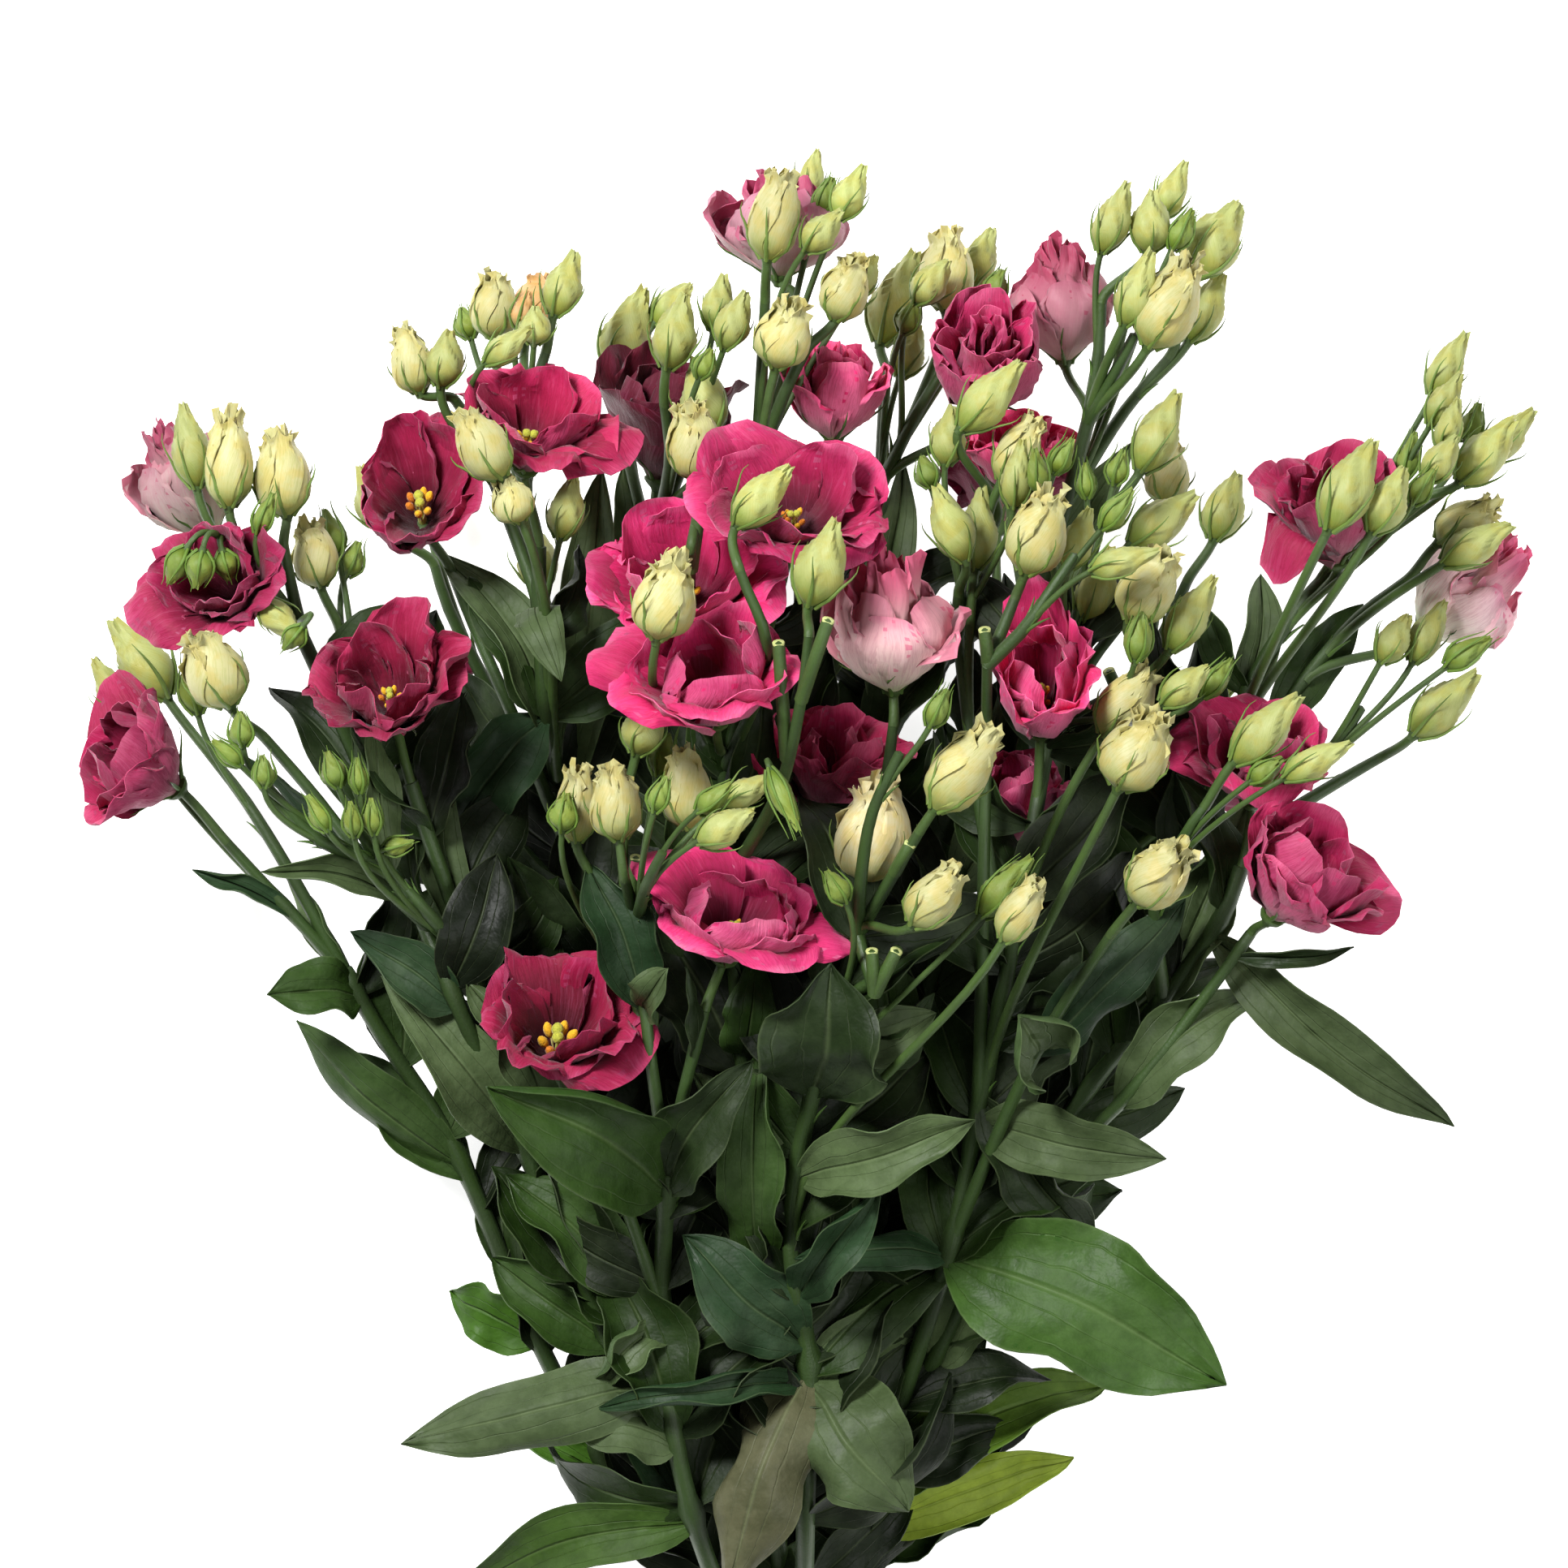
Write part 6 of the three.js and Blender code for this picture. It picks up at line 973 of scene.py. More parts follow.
def add_petal(pile, whorl, profile, angle, draw, tint, *, breadth, reach=1.0, spread=1.0, floor=0.0,
              ruffle, pitch, jag, spiral, droop=0.0, rows=13, columns=13, thickness=0.5,
              narrow=0.2, wrap=1.2, lean=0.0, crown=0.0, tilt=0.0, crumple, calm=0.35,
              taper=PETAL_TAPER):
    """A petal from its foot on the whorl to its margin.

    breadth is its full width over the whorl's radius, and spiral how far one side passes
    outside its neighbour. ruffle, crumple and spiral are in millimetres, lean and wrap are
    angles, and tilt, droop, reach and spread are shares of the whorl's size.
    """
    u = np.linspace(0, 1, rows)[:, None]
    v = np.linspace(-1, 1, columns)[None, :]
    edge = 1 - taper * np.abs(v) ** 2.3 - jag * (0.5 + 0.5 * waves(draw, v, 0 * v, 1.7))
    s = u * edge
    curve = smooth_curve(profile, s.ravel()).reshape(rows, columns, 2)
    out = curve[:, :, 0] * whorl.radius * spread
    height = floor + curve[:, :, 1] * whorl.length * reach
    open_share = np.sin(0.5 * math.pi * np.clip(u / PETAL_SHOULDER, 0, 1))
    close_share = 1 - PETAL_CLOSE * ease(u, 0.68, 1.0)
    half = 0.5 * breadth * whorl.radius * (narrow + (1 - narrow) * open_share) * close_share
    x = v * half
    nearest = np.maximum(out, SWING_NEAREST * whorl.radius)
    swing = wrap * np.tanh(x / (nearest * wrap))
    out = out + spiral * v * ease(u, 0.1, 0.6) + tilt * whorl.radius * u**2
    height = height - TILT_FALL * max(tilt, 0) * whorl.length * ease(u, 0.55, 1.0) * u
    height = height - droop * whorl.length * ease(s, 0.45, 1.0)
    out = np.maximum(out, LEAST_OUT)
    grid = whorl.place(out, angle + swing + lean * ease(u, 0.2, 1.0), height)
    normal = grid_normals(grid)
    envelope = ease(u, calm, 1.0) ** 1.5 + 0.35 * np.abs(v) ** 3 * ease(u, calm - 0.15, 0.8)
    ripple = waves(draw, v * half / max(float(half.max()), 1e-6), u, pitch)
    fine = waves(draw, v, 2 * u, 2.2) * FINE_RUFFLE
    grid = grid + normal * (ruffle * envelope * (ripple + fine))[:, :, None]
    dents = waves(draw, v, 1.9 * u, 0.9) + 0.5 * waves(draw, v + u, 3 * u, 1.7)
    grid = grid + normal * (crumple * dents * ease(u, calm - 0.25, calm + 0.15))[:, :, None]
    shell = thickness * (1 - 0.45 * ease(u, 0.5, 1.0)) * np.ones_like(v)
    kind = (draw.uniform(0, 1), draw.uniform(0, 1), crown)
    add_sheet(pile, grid, shell, s, v * np.ones_like(u), kind, tint)


BUD_GIRTH = [[0.26], [0.74], [0.98], [1.0], [0.88], [0.66], [0.42], [0.2]]
BUD_ROWS = 14
BUD_COLUMNS = 30
# How deep the folds of a closed bud are at its foot, and what its tip adds
BUD_FOLD = 0.09
BUD_TIP_FOLD = 0.5


def add_tight_bud(pile, foot, tip, width, draw, tint):
    """A bud with its petals wound round each other, as one body with sawtooth folds."""
    axis = tip - foot
    length = float(np.linalg.norm(axis))
    whorl = Whorl(foot, axis, length, 0.5 * width)
    rows, columns = BUD_ROWS, BUD_COLUMNS
    t = np.linspace(0, 1, rows)
    girth = smooth_curve(BUD_GIRTH, t)[:, 0] * 0.5 * width
    turn = 2 * math.pi * np.arange(columns) / columns
    twist = draw.uniform(0, 2 * math.pi) + draw.uniform(1.9, 3.0) * t**1.3
    frill = 0.02 * np.sin(26 * t + 5 * draw.uniform(0, 1)) * t
    fold = (5 * (turn[None, :] + (twist + frill)[:, None]) / (2 * math.pi)) % 1.0
    depth = BUD_FOLD + BUD_TIP_FOLD * t[:, None] ** 1.8
    radius = np.maximum(girth[:, None] * (1 + depth * (fold - 0.5)), 0.12)
    bend = draw.uniform(-0.05, 0.05, 2) * length
    teeth = draw.uniform(-0.05, 0.05, columns)[None, :] + 0.06 * (fold - 0.5)
    height = t[:, None] * length * (1 + teeth * t[:, None] ** 5)
    places = whorl.place(radius, np.broadcast_to(turn, radius.shape), height)
    sag = (t**2)[:, None, None] * (whorl.side * bend[0] + whorl.up * bend[1])
    places = (places + sag).reshape(-1, 3)
    quads, tris = tube_faces(rows, columns)
    ends = np.stack([foot - whorl.axis * 0.3, places[-columns:].mean(axis=0) + whorl.axis * 0.4])
    along = np.concatenate([np.repeat(t, columns), [0, 1]])
    across = np.concatenate([fold.ravel() * 2 - 1, [0, 0]])
    flow = np.stack([along, across, np.full(len(along), 0.0)], axis=1)
    kind = (draw.uniform(0, 1), draw.uniform(0, 1), 0.0)
    pile.add(np.concatenate([places, ends]), quads, tris, flow, kind, tint)
    return whorl


FRILL_PROFILE = [[0.24, 0.0], [0.88, 0.16], [1.0, 0.42], [0.8, 0.66], [0.5, 0.84], [0.68, 1.0]]
FRILL_CORE = [[0.2, 0.3], [0.5, 0.5], [0.36, 0.84], [0.36, 1.02]]


def add_frilled_bud(pile, foot, tip, width, draw, tint):
    """A half-open bud: petals wrapped round it with frilled margins at its mouth."""
    axis = tip - foot
    whorl = Whorl(foot, axis, float(np.linalg.norm(axis)), 0.5 * width)
    turn = draw.uniform(0, 2 * math.pi)
    shape = {"thickness": 0.45, "wrap": 1.0, "narrow": 0.4}
    for k in range(5):
        add_petal(pile, whorl, FRILL_PROFILE, turn + 2 * math.pi * k / 5, draw, tint, breadth=2.3,
                  reach=draw.uniform(0.88, 1.04), ruffle=0.12 * width, pitch=1.5, jag=0.12,
                  spiral=0.028 * width, rows=12, columns=11, crumple=0.02 * width,
                  tilt=draw.uniform(-0.05, 0.1), lean=0.6, calm=0.66, **shape)
    for k in range(3):
        add_petal(pile, whorl, FRILL_CORE, turn + 2.1 * k, draw, tint, breadth=1.4,
                  reach=draw.uniform(0.92, 1.08), ruffle=0.1 * width, pitch=1.6, jag=0.14,
                  spiral=0.04 * width, rows=7, columns=7, crumple=0.03 * width, **shape)
    return whorl


SEPALS = 5


def add_sepals(pile, whorl, girth, length, draw, tint, flare, breadth):
    """Lance sepals round the foot of a bud or bloom. girth gives the radius at each height."""
    turn = draw.uniform(0, 2 * math.pi)
    for k in range(SEPALS):
        angle = turn + 2 * math.pi * k / SEPALS + draw.uniform(-0.12, 0.12)
        own = length * draw.uniform(0.85, 1.15)
        t = np.linspace(0, 1, 9)
        height = own * t - 0.6
        out = girth(height) + 0.55 + flare * own * ease(t, 0.4, 1.0) * draw.uniform(0.3, 1.4)
        swing = angle + 0.3 * draw.uniform(-1, 1) * t**2
        path = whorl.place(out, swing, height)
        radii = breadth * (0.75 + 0.25 * ease(t, 0, 0.3)) * (1 - 0.95 * t**1.1) * 0.62 + 0.06
        add_tube(pile, path, radii, 6, (draw.uniform(0, 1), 0.5, 0.0), tint)


def add_receptacle(pile, whorl, radius, stalk_radius, depth, kind, tint):
    """The green cup that joins a stalk to its bud or bloom."""
    t = np.linspace(0, 1, 6)
    path = whorl.foot + whorl.axis * (depth * (t - 0.75))[:, None]
    radii = stalk_radius + (radius - stalk_radius) * ease(t, 0.0, 0.9)
    add_tube(pile, path, radii, 10, kind, tint)


# How far below its place on the solid a stalk leaves its limb, as a share of its length
STALK_FALL = 1.4
STALK_SAMPLES = 13


def bezier(p0, p1, p2, p3):
    t = np.linspace(0, 1, STALK_SAMPLES)[:, None]
    return (1 - t) ** 3 * p0 + 3 * (1 - t) ** 2 * t * p1 + 3 * (1 - t) * t**2 * p2 + t**3 * p3


def stalk_path(head):
    """The stalk's curve. It leaves its limb well below the head and runs into the head's axis."""
    base = settled(head["base"])
    axis = unit(settled(head["tip"]) - base)
    limb = head.get("own_limb", head["limb"])
    if head["crowns"]:
        root = settled(head["stalk"][0])
        lead = unit(settled(limb[-1]) - settled(limb[-2]))
    else:
        near = settled(head["stalk"][0])
        fall = STALK_FALL * float(np.linalg.norm(base - near))
        k, _, point = point_on_limb(limb, near - unit(settled(limb[-1]) - settled(limb[0])) * fall)
        root = settled(point)
        lead = unit(settled(limb[k + 1]) - settled(limb[k]))
    distance = float(np.linalg.norm(base - root))
    return bezier(root, root + lead * 0.28 * distance, base - axis * 0.3 * distance, base)


FLOOR_EASE = 4
# How closely a leaf's midrib follows that of the solid, in place of a plain arch
KNOT_SHARE = 0.35
CREASE_DEPTH = 0.45
CREASE_WIDTH = 0.09
BLISTER = 0.034
TWIST = 0.6
# The folds of a leaf that has none of its own, in degrees: at the midrib, then at each margin
COMMON_FOLD = (-6, 30)
COMMON_ROLL = (-70, 105)
LEAF_BREADTH = np.array([
    [0.0, 0.14], [0.05, 0.4], [0.12, 0.7], [0.2, 0.9], [0.3, 1.01], [0.42, 1.04], [0.55, 1.0],
    [0.68, 0.88], [0.8, 0.67], [0.9, 0.4], [0.96, 0.19], [1.0, 0.01],
])


def blade_section(rows, columns, t, draw, bend):
    """How far each point of a leaf lies out from the midrib and above it, for a half width of one.

    bend gives the fold at the midrib and the roll of each margin, in degrees.
    """
    fold, *rolls = np.radians(bend)
    v = np.linspace(-1, 1, columns)
    share = np.abs(0.5 * (v[1:] + v[:-1]))[None, :]
    right = (v[1:] > 0.5 / columns)[None, :]
    phases = draw.uniform(0, 2 * math.pi, 2)
    phase = np.where(right, phases[1], phases[0])
    roll = np.where(right, rolls[1], rolls[0])
    swell = 1 + 0.45 * np.sin(2 * math.pi * 0.8 * t + phase)
    ripple = math.radians(draw.uniform(14, 36)) * np.sin(2 * math.pi * draw.uniform(1.3, 2.4) * t + phase)
    slope = fold + roll * share**2 * swell * ease(t, 0.0, 0.3) + ripple * share
    run, rise = np.cos(slope) * 2 / (columns - 1), np.sin(slope) * 2 / (columns - 1)
    centre = columns // 2
    x, z = np.zeros((rows, columns)), np.zeros((rows, columns))
    x[:, centre + 1:] = np.cumsum(run[:, centre:], axis=1)
    z[:, centre + 1:] = np.cumsum(rise[:, centre:], axis=1)
    x[:, :centre] = -np.cumsum(run[:, :centre][:, ::-1], axis=1)[:, ::-1]
    z[:, :centre] = np.cumsum(rise[:, :centre][:, ::-1], axis=1)[:, ::-1]
    return x, z


def above_floor(height):
    """Heights eased off towards the floor, so that nothing sinks into it."""
    eased = FLOOR_EASE * np.exp(np.minimum(height, FLOOR_EASE) / FLOOR_EASE - 1)
    return np.where(height < FLOOR_EASE, eased, height)


def add_leaf(pile, leaf, draw, tint, rows=22, columns=11, bend=None):
    base, tip = settled(leaf["rows"][0][0]), settled(leaf["tip"])
    knots = [settled(row[len(row) // 2]) for row in leaf["rows"]]
    shares = [0.0, 0.28, 0.68, 1.0] if len(knots) == 4 else [0.0, 0.2, 0.5, 0.78, 1.0]
    t = np.linspace(0, 1, rows)
    middle = np.stack([np.interp(t, shares, [knot[axis] for knot in knots]) for axis in range(3)], axis=1)
    straight = base + (tip - base) * t[:, None]
    arch = np.sin(math.pi * t)[:, None] * leaf["face"] * leaf["curl"] * leaf["length"]
    middle = KNOT_SHARE * middle + (1 - KNOT_SHARE) * (straight + arch)
    sway = draw.uniform(-0.05, 0.05) * leaf["length"] * np.sin(math.pi * t) ** 2
    middle = middle + leaf["side"] * sway[:, None]
    half = (np.interp(t, LEAF_BREADTH[:, 0], LEAF_BREADTH[:, 1]) * 0.5 * leaf["width"])[:, None]
    v = np.linspace(-1, 1, columns)[None, :]
    if bend is None:
        bend = (draw.uniform(*COMMON_FOLD), draw.uniform(*COMMON_ROLL), draw.uniform(*COMMON_ROLL))
    x, z = blade_section(rows, columns, t[:, None], draw, bend)
    twist = draw.uniform(-TWIST, TWIST) * ease(t[:, None], 0.25, 1.0)
    x, z = x * np.cos(twist) - z * np.sin(twist), x * np.sin(twist) + z * np.cos(twist)
    crease = -CREASE_DEPTH * np.exp(-((v / CREASE_WIDTH) ** 2)) * np.ones_like(half)
    blister = BLISTER * leaf["width"] * waves(draw, 1.1 * v, 2.6 * t[:, None], 0.9) * (1 - 0.6 * v**2)
    tip_curl = draw.uniform(-0.1, 0.1) * leaf["length"] * ease(t, 0.75, 1.0)
    grid = (
        middle[:, None, :]
        + leaf["side"] * (x * half)[:, :, None]
        + leaf["face"] * (z * half + crease + blister + tip_curl[:, None])[:, :, None]
    )
    grid[:, :, 2] = above_floor(grid[:, :, 2])
    thickness = (0.7 - 0.25 * np.abs(v)) * (0.5 + 0.5 * np.minimum(1, 4 * (1 - t)))[:, None]
    kind = (draw.uniform(0, 1), draw.uniform(0, 1), 0.0)
    add_sheet(pile, grid[:, ::-1], thickness, t[:, None], v[:, ::-1] * np.ones_like(half), kind, tint)


LIMB_STEP = 7
# How much a limb swells at a leaf, and how far along it the swelling reaches
JOINT_SWELL = 0.22
JOINT_REACH = 5
JOINT_NEAR = 6


def add_limb(pile, stem, number, limb, draw):
    """A limb as a ribbed tube, swollen a little where a leaf sits."""
    points = np.array([settled(p) for p in limb])
    radii = np.array([limb_radius(number, p, limb) for p in limb])
    length = float(np.linalg.norm(np.diff(points, axis=0), axis=1).sum())
    samples = np.linspace(0, 1, max(int(length / LIMB_STEP), 6))
    chord = np.concatenate([[0], np.cumsum(np.linalg.norm(np.diff(points, axis=0), axis=1))])
    place = np.interp(samples * chord[-1], chord, np.linspace(0, 1, len(points)))
    path = smooth_curve(points, place)
    girth = np.interp(samples * chord[-1], chord, radii)
    for leaf in stem["leaves"]:
        joint = settled(leaf["base"])
        gap = np.linalg.norm(path - joint, axis=1)
        swell = JOINT_SWELL * np.exp(-((gap / JOINT_REACH) ** 2)) * (gap.min() < JOINT_NEAR)
        girth = girth * (1 + swell)
    add_tube(pile, path, girth, 10, (draw.uniform(0, 1), float(number > 0), 0.0), STEM_TINT,
             ridge=0.07, caps=(0.1, 0.5))
# Materials


def colour(red, green, blue):
    """A colour from 0 to 255 as the eye sees it, in linear light."""
    parts = [part / 255 for part in (red, green, blue)]
    return [part / 12.92 if part <= 0.04045 else ((part + 0.055) / 1.055) ** 2.4 for part in parts]


class Signal:
    """A number that varies over a surface. Sums and products of signals become Math nodes."""

    def __init__(self, paint, socket):
        self.paint, self.socket = paint, socket

    def __add__(self, other):
        return self.paint.math("ADD", self, other)

    def __radd__(self, other):
        return self.paint.math("ADD", other, self)

    def __sub__(self, other):
        return self.paint.math("SUBTRACT", self, other)

    def __mul__(self, other):
        return self.paint.math("MULTIPLY", self, other)

    def __abs__(self):
        return self.paint.math("ABSOLUTE", self)


class Paint:
    """A material and short ways to add and link its nodes."""

    def __init__(self, name):
        self.material = bpy.data.materials.new(name)
        self.material.use_nodes = True
        self.tree = self.material.node_tree
        self.tree.nodes.clear()

    def node(self, kind, **settings):
        made = self.tree.nodes.new(kind)
        for key, value in settings.items():
            setattr(made, key, value)
        return made

    def feed(self, socket, value):
        if isinstance(value, Signal):
            value = value.socket
        if isinstance(value, bpy.types.NodeSocket):
            self.tree.links.new(value, socket)
        elif isinstance(value, (list, tuple)) and len(socket.default_value) == 4:
            socket.default_value = [*value, 1.0]
        else:
            socket.default_value = value

    def fed(self, made, *values):
        """The node's first output, with the values on its first sockets."""
        for socket, value in zip(made.inputs, values):
            self.feed(socket, value)
        return made.outputs[0]

    def math(self, operation, *values):
        return Signal(self, self.fed(self.node("ShaderNodeMath", operation=operation), *values))

    def read(self, label):
        """The three parts of what the mesh holds under the label."""
        vector = self.node("ShaderNodeAttribute", attribute_name=label).outputs["Vector"]
        split = self.node("ShaderNodeSeparateXYZ")
        self.feed(split.inputs[0], vector)
        return [Signal(self, output) for output in split.outputs]

    def tint(self):
        return self.node("ShaderNodeAttribute", attribute_name="tint").outputs["Vector"]

    def vector(self, x, y, z):
        return self.fed(self.node("ShaderNodeCombineXYZ"), x, y, z)

    def noise(self, scale, detail=3.0, rough=0.55, vector=None):
        """Noise over the vector, or over the object's own place when there is none."""
        made = self.node("ShaderNodeTexNoise")
        self.feed(made.inputs["Vector"], vector or self.node("ShaderNodeTexCoord").outputs["Object"])
        made.inputs["Scale"].default_value = scale
        made.inputs["Detail"].default_value = detail
        made.inputs["Roughness"].default_value = rough
        return Signal(self, made.outputs["Fac"])

    def band(self, value, low, high, to_low=0.0, to_high=1.0):
        made = self.node("ShaderNodeMapRange", interpolation_type="SMOOTHSTEP")
        return Signal(self, self.fed(made, value, low, high, to_low, to_high))

    def line(self, value, width):
        """One where the value is nought, and nought further away than the width."""
        return self.band(value, 0.0, width, 1.0, 0.0)

    def ramp(self, value, stops):
        made = self.node("ShaderNodeValToRGB")
        elements = made.color_ramp.elements
        while len(elements) < len(stops):
            elements.new(0.5)
        for element, (place, *shade) in zip(elements, stops):
            element.position = place
            element.color = [*colour(*shade), 1.0]
        return self.fed(made, value)

    def mix(self, share, a, b, blend="MIX"):
        made = self.node("ShaderNodeMix", data_type="RGBA", blend_type=blend)
        self.feed(made.inputs[0], share)
        self.feed(made.inputs[6], a)
        self.feed(made.inputs[7], b)
        return made.outputs[2]

    def times(self, shade, other):
        return self.mix(1.0, shade, other, "MULTIPLY")

    def dimmed(self, shade, value):
        return self.times(shade, self.vector(value, value, value))

    def bump(self, height, distance, strength=1.0):
        made = self.node("ShaderNodeBump")
        self.feed(made.inputs["Height"], height)
        made.inputs["Distance"].default_value = distance
        made.inputs["Strength"].default_value = strength
        return made.outputs[0]

    def finish(self, shade, roughness, normal, *, through=0.0, sheen=0.0, specular=0.4, glow=0.0):
        """The material itself. through is the share of the light that passes it."""
        surface = self.node("ShaderNodeBsdfPrincipled")
        self.feed(surface.inputs["Base Color"], shade)
        self.feed(surface.inputs["Roughness"], roughness)
        self.feed(surface.inputs["Normal"], normal)
        surface.inputs["Sheen Weight"].default_value = sheen
        surface.inputs["Sheen Roughness"].default_value = 0.4
        surface.inputs["Specular IOR Level"].default_value = specular
        surface.inputs["Emission Color"].default_value = (1, 1, 1, 1)
        surface.inputs["Emission Strength"].default_value = glow
        result = surface.outputs[0]
        if through:
            lit = self.node("ShaderNodeBsdfTranslucent")
            self.feed(lit.inputs["Color"], shade)
            result = self.fed(self.node("ShaderNodeMixShader"), through, result, lit.outputs[0])
        output = self.node("ShaderNodeOutputMaterial")
        self.tree.links.new(result, output.inputs["Surface"])
        return self.material


def petal_material():
    """Pink petals: painted shade in the throat, bright in the middle, paler and dusky outside."""
    paint = Paint("petal")
    along, across, inside = paint.read("flow")
    seed, tone, _ = paint.read("kind")
    streak = paint.noise(1.9, 5.0, 0.6, paint.vector(across * 11.0, along * 1.6, seed * 40.0))
    vein = paint.line(abs(streak - 0.5), 0.05)
    blotch = paint.noise(60.0)
    fleck = paint.noise(700.0, 2.0)
    level = along + (blotch - 0.5) * 0.5
    # The inner face darkens towards the foot: painted shade in the throat, rising to the petal's own pink.
    bright = paint.ramp(level, [
        (0.0, 54, 2, 20), (0.34, 118, 9, 48), (0.62, 184, 30, 86), (0.86, 208, 47, 108), (1.0, 228, 94, 142),
    ])
    outer = paint.ramp(level, [
        (0.0, 180, 180, 136), (0.12, 198, 134, 146), (0.45, 192, 88, 124), (0.85, 192, 64, 112),
        (1.0, 214, 98, 138),
    ])
    shade = paint.times(paint.mix(inside, outer, bright), paint.tint())
    deep = paint.times(shade, colour(206, 130, 158))
    shade = paint.mix(vein * 0.4, shade, deep)
    shade = paint.mix(paint.band(streak, 0.5, 0.8, 0.0, 0.12), shade, colour(240, 150, 190))
    shade = paint.dimmed(shade, 0.78 + tone * 0.3 + (fleck - 0.5) * 0.12)
    relief = paint.bump(streak * 0.8 + fleck * 0.2, 0.0009, 0.7)
    return paint.finish(shade, paint.band(blotch, 0.3, 0.7, 0.56, 0.74), relief,
                        through=0.16, sheen=0.15, specular=0.3)


def pale_material():
    """Half-open blooms: pale dusty pink outside with a greenish foot and deeper pink frills."""
    paint = Paint("pale_petal")
    along, across, inside = paint.read("flow")
    seed, tone, crown = paint.read("kind")
    streak = paint.noise(1.7, 4.0, 0.6, paint.vector(across * 8.0, along * 1.0, seed * 40.0))
    vein = paint.line(abs(streak - 0.5), 0.05)
    blotch = paint.noise(70.0)
    fleck = paint.noise(700.0, 2.0)
    level = along + (blotch - 0.5) * 0.4
    outer = paint.ramp(level, [
        (0.0, 214, 214, 172), (0.2, 234, 210, 204), (0.55, 232, 188, 198), (0.85, 226, 162, 180),
        (1.0, 214, 124, 154),
    ])
    bright = paint.ramp(level, [(0.0, 222, 180, 170), (0.5, 226, 140, 166), (1.0, 216, 104, 140)])
    shade = paint.mix(inside, outer, bright)
    shade = paint.mix(crown * paint.band(along, 0.3, 0.9), shade, colour(212, 84, 128))
    shade = paint.times(shade, paint.tint())
    shade = paint.mix(vein * 0.3, shade, colour(190, 110, 134))
    shade = paint.dimmed(shade, 0.88 + tone * 0.2 + (fleck - 0.5) * 0.1)
    return paint.finish(shade, 0.56, paint.bump(streak * 0.8 + fleck * 0.2, 0.0005, 0.6),
                        through=0.25, sheen=0.2)


def bud_material():
    """Closed buds: pale yellow-green, greener at the foot, with fine veins along the folds."""
    paint = Paint("bud")
    along, across, _ = paint.read("flow")
    seed, tone, _ = paint.read("kind")
    streak = paint.noise(1.9, 4.0, 0.6, paint.vector(across * 5.0, along * 1.3, seed * 40.0))
    vein = paint.line(abs(streak - 0.5), 0.05)
    blotch = paint.noise(160.0)
    foot = paint.line(along + (blotch - 0.5) * 0.3, 0.42)
    shade = paint.mix(foot, paint.tint(), paint.times(paint.tint(), colour(196, 216, 150)))
    warm = paint.times(shade, colour(255, 244, 214))
    shade = paint.mix(paint.band(blotch, 0.4, 0.65), shade, warm)
    dark = paint.times(shade, colour(214, 224, 168))
    shade = paint.mix(vein * 0.4, shade, dark)
    shade = paint.mix(paint.band(abs(across), 0.86, 1.0) * 0.3, shade, dark)
    shade = paint.dimmed(shade, 0.9 + tone * 0.16)
    return paint.finish(shade, 0.5, paint.bump(streak * 0.7 + blotch * 0.3, 0.0004, 0.6),
                        through=0.18, sheen=0.1)


def stem_material():
    """Stems, stalks and sepals: waxy green with paler ribs and fine length-wise streaks."""
    paint = Paint("stem")
    along, across, _ = paint.read("flow")
    seed, tone, _ = paint.read("kind")
    streak = paint.noise(2.4, 4.0, vector=paint.vector(across * 3.0, along * 6.0, seed * 30.0))
    blotch = paint.noise(45.0, 4.0)
    grain = paint.noise(900.0, 2.0)
    pale = paint.times(paint.tint(), colour(250, 255, 215))
    dull = paint.times(paint.tint(), colour(200, 196, 180))
    shade = paint.mix(paint.band(streak, 0.35, 0.7), paint.tint(), pale)
    shade = paint.mix(paint.band(blotch, 0.45, 0.7, 0.0, 0.7), shade, dull)
    shade = paint.dimmed(shade, 0.86 + tone * 0.2 + (grain - 0.5) * 0.2)
    return paint.finish(shade, paint.band(blotch, 0.3, 0.7, 0.42, 0.6),
                        paint.bump(streak + grain, 0.0003, 0.5), specular=0.35)


